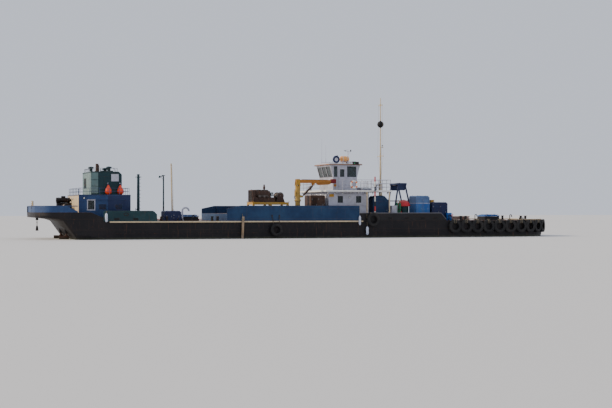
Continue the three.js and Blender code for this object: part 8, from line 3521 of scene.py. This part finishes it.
@dataclass
class Roof(Fitting):
    """The wheelhouse roof with its searchlight, horns, lights, aerials and raft."""

    span: tuple[float, float] = (26.13, 29.27)
    half: float = 2.05
    low: float = 7.5006
    edge: float = 7.63
    light: tuple[float, float, float, float] = (27.05, -1.2, 8.19, 0.23)
    horns: tuple[tuple[float, float], ...] = ((-0.25, 0.42), (0.0, 0.34))
    aerials: tuple[tuple[float, float, float], ...] = ((26.4, 0.8, 2.3), (26.4, -0.3, 1.7))
    rail_posts: tuple[float, ...] = (26.62, 27.38, 28.14, 28.88)

    def build(self) -> None:
        """Dresses the roof."""
        self.skin("wheelhouse_roof", self.roof_finish, 0.02)
        self.fascia()
        self.searchlight()
        self.gear()
        self.raft()
        self.instruments()

    def roof_finish(self, place: Vector, normal: Vector) -> Optional[Finish]:
        """Gives the roof's paint, and None on its coarse searchlight."""
        return None if place.z > 7.745 else WHITE

    def fascia(self) -> None:
        """Runs the varnished moulding round the roof."""
        shape = Shape("roof_fascia", VARNISH)
        start, end = self.span
        for side in (-1, 1):
            y = side * self.half
            shape.block((start - 0.02, end + 0.02), (y - side * 0.005, y + side * 0.022),
                        (self.low + 0.02, self.edge - 0.03))
        for x, out in ((start, -1), (end, 1)):
            shape.block((x - out * 0.005, x + out * 0.022), (-self.half, self.half),
                        (self.low + 0.02, self.edge - 0.03))
        self.put(shape, bevel=0.008)

    def searchlight(self) -> None:
        """Turns the searchlight on its post and yoke."""
        s, y, z, radius = self.light
        shape = Shape("searchlight", WHITE)
        shape.turned([(0.13, 7.68 - z), (0.13, 7.72 - z), (0.055, 7.74 - z), (0.055, -0.3), (0.08, -0.27),
                      (0.02, -0.25)], (s, y, z), sides=20)
        for side in (-1, 1):
            shape.tube([(s, y, z - 0.27), (s, y + side * 0.2, z - 0.22), (s, y + side * 0.245, z - 0.1),
                        (s, y + side * 0.245, z)], 0.018, 8)
            shape.turned([(0.035, 0.0), (0.035, 0.02), (0.02, 0.03)], (s, y + side * 0.235, z), (0, side, 0),
                         14)
        shape.use(DARK)
        barrel = [(0.02, -0.15), (0.1, -0.148), (0.16, -0.13), (0.178, -0.08), (0.2, 0.0),
                  (radius - 0.006, 0.12), (radius, 0.125), (radius, 0.15), (radius - 0.02, 0.15),
                  (radius - 0.022, 0.135)]
        shape.turned(barrel, (s, y, z), (1, 0, 0), 32)
        shape.use(WHITE)
        for k in range(4):
            shape.turned([(0.188 + 0.008 * k, -0.004), (0.196 + 0.008 * k, 0.0), (0.188 + 0.008 * k, 0.006)],
                         (s - 0.05 + 0.03 * k, y, z), (1, 0, 0), 30)
        shape.use(LENS_CLEAR).turned([(radius - 0.02, 0.134), (0.12, 0.146), (0.01, 0.149)], (s, y, z),
                                     (1, 0, 0), 30)
        self.put(shape, angle=42)

    def gear(self) -> None:
        """Sets horns, sidelights, an aerial pair and grab rails."""
        shape = Shape("roof_gear", WHITE)
        for y, length in self.horns:
            shape.turned([(0.02, 0.0), (0.024, length * 0.5), (0.05, length * 0.85), (0.085, length),
                          (0.078, length), (0.03, length * 0.8)], (28.6, y, 7.84), (1, 0, 0), 20)
            shape.block((28.56, 28.68), (y - 0.04, y + 0.04), (7.7, 7.83))
        for y in (-1.5, 1.5):
            shape.tube([(26.6, y, 7.86), (28.9, y, 7.86)], 0.015, 8)
            for s in self.rail_posts:
                shape.tube([(s, y, 7.64), (s, y, 7.86)], 0.011, 8)
        for s, y, high in self.aerials:
            shape.turned([(0.05, 0.0), (0.05, 0.06), (0.022, 0.09), (0.018, 0.5), (0.012, 0.52),
                          (0.006, high)], (s, y, 7.66), sides=12)
        self.put(shape)
        boxes = Shape("sidelight_boards", DARK)
        for side in (-1, 1):
            y = side * (self.half + 0.03)
            boxes.block((28.35, 28.95), (y - side * 0.01, y + side * 0.02), (7.56, 7.82))
            boxes.block((28.35, 28.38), (y, y + side * 0.16), (7.56, 7.82))
            boxes.turned([(0.06, 0.0), (0.06, 0.02)], (28.5, y + side * 0.09, 7.6), sides=16)
            boxes.use(LENS_RED if side > 0 else LENS_GREEN)
            boxes.turned([(0.048, 0.0), (0.05, 0.03), (0.05, 0.1), (0.03, 0.12)],
                         (28.5, y + side * 0.09, 7.62), sides=18)
            boxes.use(DARK)
        self.put(boxes, bevel=0.004)

    def raft(self) -> None:
        """Sets the raft canister and the ring buoy on the roof."""
        y, z, r = -1.15, 8.07, 0.285
        shape = Shape("raft_canister", CANISTER)
        shape.turned([(0.02, -0.4), (r * 0.6, -0.395), (r * 0.9, -0.35), (r, -0.27), (r, 0.27),
                      (r * 0.9, 0.35), (r * 0.6, 0.395), (0.02, 0.4)], (27.9, y, z), (1, 0, 0), 32)
        shape.block((27.53, 28.27), (y - r - 0.012, y + r + 0.012), (z - 0.018, z + 0.018))
        shape.use(STEEL)
        for s in (27.7, 28.1):
            shape.turned([(r + 0.006, -0.025), (r + 0.006, 0.025)], (s, y, z), (1, 0, 0), 32)
        shape.use(WHITE)
        for s in (27.68, 28.12):
            shape.plate(0, (
                s - 0.03, s + 0.03), [(y - 0.27, 7.66), (y + 0.27, 7.66), (y + 0.2, 7.87), (y - 0.2, 7.87)])
        self.put(shape, bevel=0.006, angle=40)
        buoy = Shape("roof_ring_buoy", NAVY).hoop((26.88, -1.77, 8.02), (0, 1, 0), 0.26, 0.082, 40, 14)
        buoy.use(WHITE).turned([(0.02, -0.05), (0.15, -0.05), (0.17, -0.03), (0.17, 0.03), (0.15, 0.05),
                                (0.02, 0.05)], (26.88, -1.77, 8.02), (0, 1, 0), 28)
        buoy.block((26.84, 26.92), (-1.81, -1.73), (7.66, 7.72))
        buoy.tube([(26.88, -1.77, 7.7), (26.88, -1.77, 7.9)], 0.02, 8)
        self.put(buoy, bevel=0.003)

    def instruments(self) -> None:
        """Turns the instrument mast with its lamp and wind cups."""
        mast = Shape("roof_instrument_mast", WHITE)
        mast.turned([(0.07, 0.0), (0.07, 0.02), (0.028, 0.03), (0.024, 1.32), (0.01, 1.36)],
                    (28.45, -0.6, 7.66), sides=16)
        mast.tube([(28.17, -0.6, 8.8), (28.73, -0.6, 8.8)], 0.016, 8)
        mast.tube([(28.45, -0.6, 8.5), (28.68, -0.6, 8.79)], 0.009, 6)
        mast.use(DARK).turned([(0.05, 0.0), (0.055, 0.02), (0.055, 0.13), (0.02, 0.16)], (28.72, -0.6, 8.81),
                              sides=16)
        mast.turned([(0.02, 0.0), (0.02, 0.06), (0.05, 0.08), (0.05, 0.1), (0.02, 0.12)], (28.18, -0.6, 8.81),
                    sides=14)
        hub = (28.18, -0.6, 8.9)
        for tip, cup in zip(ring(hub, 0.11, 3), ring(hub, 0.12, 3)):
            mast.tube([hub, tip], 0.006, 6)
            mast.ball(cup, 0.028, 12)
        self.put(mast, bevel=0.002)


# Fore part: mast, gantry, hatches and deck gear


@dataclass
class Mast(Fitting):
    """The lowering mast with its tabernacle, lights, halyards and day ball."""

    station: float = 31.9
    pin: float = 5.75
    cheek: float = 0.159
    ball: tuple[float, float] = (11.4, 0.3)
    bands: tuple[tuple[float, float], ...] = (
        (6.1, 0.098), (7.4, 0.09), (8.55, 0.084), (8.62, 0.07), (10.0, 0.06), (12.2, 0.052))
    eyes: tuple[tuple[float, float], ...] = ((-0.7, 8.45), (0.7, 8.45), (-0.45, 13.15), (0.45, 13.15))

    def build(self) -> None:
        """Dresses the tabernacle, the pole and what it carries."""
        self.skin("tabernacle", CREAM, 0.01)
        self.skin("mast", CREAM, 0.0, 40)
        self.step()
        self.pole()
        self.lines()
        self.day_ball()

    def step(self) -> None:
        """Bolts the tabernacle down and caps its pin."""
        s = self.station
        shape = Shape("tabernacle_plates", CREAM)
        for side in (-1, 1):
            y = side * (self.cheek + 0.02)
            shape.turned([(0.06, 0.0), (0.06, 0.012), (0.03, 0.03)], (s, y, self.pin), (0, side, 0), 18)
            for out in (-1, 1):
                x = s + out * 0.1
                shape.plate(0, (x, x + 0.016), [(side * 0.14, 2.58), (side * 0.28, 2.58),
                                                (side * 0.14, 2.95)])
        shape.block((s - 0.18, s - 0.1), (-0.12, 0.12), (3.55, 3.85))
        shape.turned([(0.09, -0.1), (0.09, -0.09), (0.05, -0.085), (0.05, 0.085), (0.09, 0.09), (0.09, 0.1)],
                     (s - 0.25, 0, 3.7), (0, 1, 0), 20)
        shape.tube([(s - 0.25, 0.1, 3.7), (s - 0.25, 0.17, 3.7), (s - 0.25, 0.17, 3.95),
                    (s - 0.25, 0.27, 3.95)], 0.014, 8)
        self.put(shape, bevel=0.004)
        bolts = [(s + dx, y, 2.582) for dx in (-0.2, 0.0, 0.2) for y in (-0.25, 0.25)]
        self.bolts("tabernacle_bolts", CREAM, bolts)

    def pole(self) -> None:
        """Bands the pole and hangs lights, brackets and cleats on it."""
        s = self.station
        shape = Shape("mast_bands", CREAM)
        for z, radius in self.bands:
            shape.turned([(radius, -0.03), (radius, 0.03)], (s, 0, z), sides=24)
        for y, z in self.eyes:
            shape.hoop((s, y * 0.96, z - 0.045), (0, 1, 0), 0.026, 0.007, 12, 6)
        shape.block((s + 0.05, s + 0.26), (-0.09, 0.09), (9.25, 9.28))
        self.put(shape, "mast")
        lamps = Shape("mast_lamps", DARK)
        place = (s + 0.19, 0.0, 9.28)
        lamps.turned([(0.062, 0.0), (0.062, 0.03), (0.02, 0.035)], place, sides=18)
        lamps.turned([(0.062, 0.14), (0.062, 0.17), (0.03, 0.2)], place, sides=18)
        lamps.use(LENS_CLEAR).turned([(0.052, 0.03), (0.054, 0.06), (0.054, 0.12), (0.052, 0.14)], place,
                                     sides=20)
        for y in (-0.4, 0.4):
            lamps.use(DARK).turned([(0.045, 0.0), (0.045, 0.02), (0.02, 0.03)], (s, y, 13.17), sides=14)
            lamps.use(LENS_CLEAR).turned([(0.036, 0.02), (0.036, 0.09), (0.02, 0.11)], (s, y, 13.17),
                                         sides=14)
        self.put(lamps, "mast")
        cleats = Shape("mast_cleats", STEEL)
        for side in (-1, 1):
            y = side * 0.12
            cleats.tube([(s + 0.02, side * 0.08, 6.55), (s + 0.02, y, 6.55)], 0.012, 8)
            cleats.tube([(s + 0.02, y, 6.46), (s + 0.02, y, 6.64)], 0.011, 8)
        self.put(cleats, "mast")

    def lines(self) -> None:
        """Reeves the halyards and the lamp cable, all on the mast."""
        s = self.station
        ropes = Shape("mast_halyards", ROPE)
        for side in (-1, 1):
            ropes.tube([(s + 0.02, side * 0.13, 6.55), (s, side * 0.67, 8.4)], 0.007, 6)
            ropes.tube([(s, side * 0.67, 8.4), (s, side * 0.43, 13.1)], 0.006, 6)
        self.put(ropes, "mast")
        cable = Shape("mast_cable", DARK).tube(
            [(s + 0.09, 0, 6.2), (s + 0.078, 0, 8.4), (s + 0.065, 0, 9.24)], 0.009, 6)
        self.put(cable, "mast")

    def day_ball(self) -> None:
        """Moulds the black day ball with its ribs and rings."""
        z, radius = self.ball
        s = self.station
        shape = Shape("day_ball_moulded", DAY_SHAPE_AND_SHADE_BLACK).ball((s, 0, z), radius, 32)
        for turn in turns(6)[:3]:
            shape.hoop((s, 0, z), (math.cos(turn), math.sin(turn), 0), radius - 0.002, 0.007, 40, 6)
        shape.hoop((s, 0, z), (0, 0, 1), radius - 0.002, 0.007, 40, 6)
        for end in (-1, 1):
            shape.turned([(0.062, -0.03), (0.066, 0.0), (0.062, 0.03)], (s, 0, z + end * (radius + 0.005)),
                         sides=20)
        self.put(shape, "mast", ["day_ball"], angle=60)


@dataclass
class Gantry(Fitting):
    """The bow gantry with its drum, sheaves, gussets and bolts."""

    start: float = 32.75
    end: float = 34.85
    half: float = 0.85
    cheeks: tuple[float, ...] = (-0.365, -0.235, 0.235, 0.365)

    def build(self) -> None:
        """Dresses the gantry and winds its drum."""
        self.skin("bow_gantry", NAVY, 0.008)
        WinchDrum(self.yard, "gantry_drum", (33.35, 34.25), 0.62, 3.5, 0.48, 0.0, WIRE, 0.014).build()
        self.gussets()
        self.sheaves()
        self.feet()
        self.lamp()

    def gussets(self) -> None:
        """Adds gussets, cheeks and stops to the frame."""
        shape = Shape("gantry_gussets", NAVY)
        for side in (-1, 1):
            y = side * self.half
            for x, lean in ((33.3, 1), (34.05, -1)):
                shape.plate(
                    1, (y - 0.012, y + 0.012), [(x, 5.78), (x + lean * 0.28, 5.78), (x - lean * 0.04, 5.45)])
            shape.plate(1, (y - 0.01, y + 0.01), [(33.2, 5.78), (34.16, 5.78), (33.98, 5.28), (33.38, 5.28)])
            for x, lean in ((self.start + 0.09, 1), (self.end - 0.09, -1)):
                shape.plate(1, (y - 0.012, y + 0.012), [
                    (x - lean * 0.1, 2.59), (x + lean * 0.26, 2.59), (x + lean * 0.1, 2.95)])
        for y in self.cheeks:
            shape.block((33.62, 33.74), (y - 0.01, y + 0.01), (5.66, 5.98))
        for y in (-0.39, 0.39):
            shape.block((33.3, 34.1), (y - 0.03, y + 0.03), (5.72, 5.78))
        self.put(shape, bevel=0.004)

    def sheaves(self) -> None:
        """Turns the sheaves on their pins."""
        sheaves = Shape("gantry_sheaves", IRON)
        for y in (-0.3, 0.3):
            sheaves.turned([(0.02, -0.05), (0.13, -0.05), (0.13, -0.035), (0.1, -0.015), (0.1, 0.015),
                            (0.13, 0.035), (0.13, 0.05), (0.02, 0.05)], (33.68, y, 5.84), (0, 1, 0), 26)
            sheaves.tube([(33.68, y - 0.09, 5.84), (33.68, y + 0.09, 5.84)], 0.02, 10)
        sheaves.tube([(33.3, -0.42, 5.75), (33.3, 0.42, 5.75)], 0.03, 10)
        self.put(sheaves, bevel=0.003)

    def feet(self) -> None:
        """Bolts the legs down."""
        bolts = [(x, side * self.half + dy, 2.6) for x in (
            self.start - 0.02, self.start + 0.4, self.end - 0.4, self.end + 0.02) for side in (-1, 1)
                 for dy in (-0.06, 0.06)]
        self.bolts("gantry_bolts", NAVY, bolts, 0.016)

    def lamp(self) -> None:
        """Hangs the lamp under the top."""
        lamp = Shape("gantry_lamp", DARK)
        lamp.turned([(0.05, -0.05), (0.11, -0.03), (0.12, 0.06), (0.1, 0.06), (0.1, 0.05)], (34.2, 0, 5.6),
                    (0.8, 0, -0.6), 22)
        lamp.tube([(34.06, 0, 5.86), (34.16, 0, 5.64)], 0.018, 8)
        lamp.use(LENS_CLEAR).turned([(0.1, 0.05), (0.05, 0.058), (0.01, 0.06)], (34.2, 0, 5.6),
                                    (0.8, 0, -0.6), 22)
        self.put(lamp)


@dataclass
class Hatch(Fitting):
    """A hatch lid's stiffeners, handles and dogs on its own body."""

    node: str
    finish: Finish
    span: tuple[float, float]
    centre: float
    half: float

    def build(self) -> None:
        """Dresses the lid."""
        self.skin(self.node, self.finish, 0.015)
        start, end = self.span
        ribs = Shape(f"{self.node}_ribs", self.finish)
        for share in (0.25, 0.5, 0.75):
            s = start + (end - start) * share
            ribs.block((s - 0.025, s + 0.025), (
                self.centre - self.half + 0.16, self.centre + self.half - 0.16), (3.012, 3.045))
        for y in (self.centre - self.half * 0.45, self.centre + self.half * 0.45):
            ribs.block((start + 0.18, end - 0.18), (y - 0.02, y + 0.02), (3.012, 3.04))
        self.put(ribs, self.node, bevel=0.006)
        metal = Shape(f"{self.node}_handles", STEEL)
        near = self.centre - self.half
        for s in (start + 0.3, end - 0.3):
            metal.tube([(s - 0.1, near + 0.2, 3.0), (s - 0.1, near + 0.2, 3.07), (s + 0.1, near + 0.2, 3.07),
                        (s + 0.1, near + 0.2, 3.0)], 0.013, 8)
        for s in (start + 0.15, (start + end) / 2, end - 0.15):
            metal.tube([(s, near, 2.96), (s, near, 3.0), (s, near - 0.03, 3.02)], 0.018, 10)
            metal.tube([(s - 0.06, near - 0.03, 3.02), (s + 0.06, near - 0.03, 3.02)], 0.014, 8)
        self.put(metal, self.node)


@dataclass
class ForeGear(Fitting):
    """Drums, timber, a hydrant and two hanging fenders round the fore deck."""

    hanging: tuple[tuple[float, float, float, float, float], ...] = (
        (28.05, 2.95, 2.1, 0.1, 3.8), (28.75, 2.0, 1.25, 0.12, 3.15), (5.62, 3.2, 2.45, 0.11, 3.36))
    bearers: tuple[float, ...] = (37.75, 39.05)

    def build(self) -> None:
        """Builds the gear and the fenders."""
        self.deck_gear()
        self.timber()
        self.hydrant()
        self.hanging_fenders()

    def deck_gear(self) -> None:
        """Stands the drums, the bin and the hose box on the deck."""
        barrel = [(0.001, 0.0), (0.25, 0.0), (0.262, 0.02), (0.262, 0.22), (0.272, 0.235), (0.262, 0.25),
                  (0.262, 0.44), (0.272, 0.455), (0.262, 0.47), (0.262, 0.68), (0.25, 0.7), (0.235, 0.7),
                  (0.235, 0.68), (0.001, 0.68)]
        for name, finish, s, y in (("blue_drum", BRIGHT_BLUE, 37.2, -3.55),
                                   ("grey_drum", RAIL_GREY, 32.2, -2.4)):
            shape = Shape(name, finish).turned(barrel, (s, y, MAIN_DECK), sides=28)
            shape.use(DARK).turned([(0.03, 0.0), (0.03, 0.02), (0.01, 0.022)],
                                   (s + 0.13, y, MAIN_DECK + 0.68), sides=12)
            self.put(shape, angle=45)
        locker = Shape("gear_bin", WHITE).block((31.62, 32.14), (-3.45, -2.95), (MAIN_DECK, 3.82))
        locker.block((31.6, 32.16), (-3.47, -2.93), (3.82, 3.86))
        for z in (2.7, 3.4):
            locker.border((31.88, -3.452, z), (1, 0, 0), (0, 0, 1), (0.4, 0.5), 0.025, 0.014)
        locker.use(STEEL).tube([(32.08, -3.45, 3.5), (32.08, -3.49, 3.5), (32.08, -3.49, 3.64),
                                (32.08, -3.45, 3.64)], 0.009, 8)
        self.put(locker, bevel=0.008)
        bottles = Shape("gas_bottles", GREEN)
        for s in (32.3, 32.58):
            bottles.use(GREEN)
            bottles.turned([(0.001, 0.0), (0.11, 0.0), (0.118, 0.02), (0.118, 1.42), (0.1, 1.52), (0.05, 1.6),
                            (0.045, 1.66)], (s, -3.0, MAIN_DECK), sides=24)
            bottles.use(BRASS).turned([(0.03, 1.64), (0.03, 1.76), (0.045, 1.78), (0.045, 1.82)],
                                      (s, -3.0, MAIN_DECK), sides=14)
        bottles.use(DARK)
        for z in (2.7, 3.5):
            for y in (-3.135, -2.88):
                bottles.block((32.14, 32.74), (y, y + 0.015), (z, z + 0.05))
        for s in (32.15, 32.73):
            bottles.block((s - 0.015, s + 0.015), (-3.135, -2.865), (MAIN_DECK, 3.55))
        self.put(bottles, angle=45)
        box = Shape("hose_box", YELLOW).block((35.66, 35.98), (-3.0, -2.6), (4.03, 4.34))
        box.block((35.645, 35.995), (-3.015, -2.585), (4.34, 4.38))
        self.put(box, bevel=0.012)

    def timber(self) -> None:
        """Stacks dunnage planks on two bearers on the fore deck."""
        bearers = Shape("timber_bearers", DUNNAGE)
        for s in self.bearers:
            bearers.block((s - 0.05, s + 0.05), (-3.4, -2.3), (MAIN_DECK, MAIN_DECK + 0.08))
        self.put(bearers, bevel=0.006)
        stack = Shape("timber_stack", DUNNAGE)
        for layer in range(5):
            for k in range(4):
                slip = 0.09 * math.sin(2.3 * layer + 1.7 * k)
                y, z = -3.32 + 0.25 * k + 0.02 * math.sin(layer + k), MAIN_DECK + 0.082 + 0.062 * layer
                stack.block((37.42 + slip, 39.4 + slip * 0.6), (y, y + 0.225), (z, z + 0.056))
        self.put(stack, bevel=0.006)

    def hydrant(self) -> None:
        """Turns the fire hydrant with its wheel and hose."""
        s, y, z = 32.55, -3.35, MAIN_DECK
        shape = Shape("fire_hydrant", RED)
        shape.turned([(0.1, 0.0), (0.1, 0.03), (0.045, 0.04), (0.045, 0.6), (0.07, 0.62), (0.075, 0.7),
                      (0.04, 0.76)], (s, y, z), sides=22)
        shape.tube([(s, y, z + 0.62), (s, y - 0.1, z + 0.62), (s, y - 0.16, z + 0.58)], 0.035, 14)
        shape.hoop((s, y, z + 0.83), (0, 0, 1), 0.075, 0.011, 20, 7)
        shape.tube([(s, y, z + 0.75), (s, y, z + 0.84)], 0.013, 8)
        for t in turns(6)[:3]:
            shape.tube([(s - 0.07 * math.cos(t), y - 0.07 * math.sin(t), z + 0.83),
                        (s + 0.07 * math.cos(t), y + 0.07 * math.sin(t), z + 0.83)], 0.008, 6)
        shape.use(BRASS).turned([(0.038, 0.0), (0.048, 0.005), (0.048, 0.04), (0.04, 0.045)],
                                (s, y - 0.155, z + 0.585), (0, -0.8, -0.5), 18)
        self.put(shape, bevel=0.002)

    def hanging_fenders(self) -> None:
        """Hangs the pale fenders over the side on their lines."""
        for number, (s, top, foot, radius, rim) in enumerate(self.hanging, 1):
            y = -(HALF_BEAM + 0.035 + radius)
            shape = Shape(f"hanging_fender_{number}", PALE_VINYL)
            length = top - foot
            profile = [(0.012, 0.0), (0.05, 0.01), (radius * 0.8, 0.06), (radius, 0.13),
                       (radius, length - 0.15), (radius * 0.8, length - 0.07), (0.045, length - 0.03),
                       (0.035, length), (0.02, length + 0.01)]
            shape.turned(profile, (s, y, foot), sides=26)
            self.put(shape, angle=60)
            line = Shape(f"hanging_line_{number}", ROPE)
            line.hoop((s, y, top + 0.02), (1, 0, 0), 0.035, 0.01, 14, 6)
            line.tube([(s, y, top + 0.05), (s, -4.56, min(rim, top + 0.5)), (s, -4.56, rim)], 0.011, 7)
            self.put(line)


# Studio


@dataclass
class Studio:
    """Floor at the waterline, soft light and the photograph's camera, in the frame's metres."""

    floor_size: float = 400.0
    sunward: tuple[float, float, float] = (-0.85, 0.3, 0.45)
    sun_strength: float = 3.9
    fill_strength: float = 0.85
    camera_place: tuple[float, float, float] = (-18.0, -53.85, 1.7435)
    target: tuple[float, float, float] = (0.3, 0.0, 2.0)
    view_width: float = math.radians(27.5)

    def build(self) -> None:
        """Sets up floor, light and camera."""
        self.floor()
        self.light()
        self.camera()

    def floor(self) -> None:
        """Lays the pale floor."""
        half = self.floor_size / 2
        mesh = bpy.data.meshes.new("floor")
        level = WATER * SCALE
        mesh.from_pydata([(-half, -half, level), (half, -half, level), (half, half, level),
                          (-half, half, level)], [], [(0, 1, 2, 3)])
        graph = MaterialGraph("floor_paper")
        tone = graph.mix(graph.noise(graph.vector, 0.05, 2.0), (0.62, 0.62, 0.62), (0.66, 0.66, 0.655))
        mesh.materials.append(graph.finish(tone, Roughness=0.9))
        linked(mesh)

    def light(self) -> None:
        """Sets a broad sun and a pale sky."""
        lamp = bpy.data.lights.new("key", "SUN")
        lamp.energy = self.sun_strength
        lamp.angle = math.radians(14)
        lamp.color = (1.0, 0.85, 0.66)
        key = linked(lamp)
        key.rotation_euler = Vector(self.sunward).to_track_quat("Z", "Y").to_euler()
        world = bpy.data.worlds.new("sky")
        world.use_nodes = True
        sky = world.node_tree.nodes["Background"]
        sky.inputs["Color"].default_value = (0.82, 0.87, 1.0, 1.0)
        sky.inputs["Strength"].default_value = self.fill_strength
        bpy.context.scene.world = world

    def camera(self) -> None:
        """Places the level camera where the photographer stood, turned to the barge."""
        lens = bpy.data.cameras.new("camera")
        lens.angle = self.view_width
        lens.clip_end = 1000.0
        camera = linked(lens)
        camera.location = self.camera_place
        aim = Vector(self.target) - Vector(self.camera_place)
        camera.rotation_euler = aim.to_track_quat("-Z", "Y").to_euler()
        bpy.context.scene.camera = camera


def main() -> None:
    """Dresses the barge, sub-assembly by sub-assembly."""
    logging.basicConfig(level=logging.INFO, format="%(message)s")
    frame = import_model()
    yard = Yard(frame)
    parts = (Hull(yard), SternGear(yard), Bulwarks(yard), Fenders(yard), SternDeck(yard), AftHouse(yard),
             Posts(yard), DeckBoxes(yard), PumpSet(yard), Crane(yard), Deckhouse(yard), BoatDeck(yard),
             Wheelhouse(yard), Roof(yard), Mast(yard), Gantry(yard),
             Hatch(yard, "engine_hatch_lid", PALE_BLUE, (12.6, 14.5), 0.7, 1.0),
             Hatch(yard, "fore_hatch_lid", BRIGHT_BLUE, (41.3, 42.75), -1.9, 0.8), ForeGear(yard))
    for part in parts:
        before = yard.count
        part.build()
        LOG.info("%s: %d pieces", type(part).__name__, yard.count - before)
    Studio().build()
    bare = [item["node"] for item in frame["record"]["subparts"] if item["node"] not in yard.dressed]
    LOG.info("%d pieces in all, nodes without a finish: %s", yard.count, bare or "none")


if __name__ == "__main__":
    main()
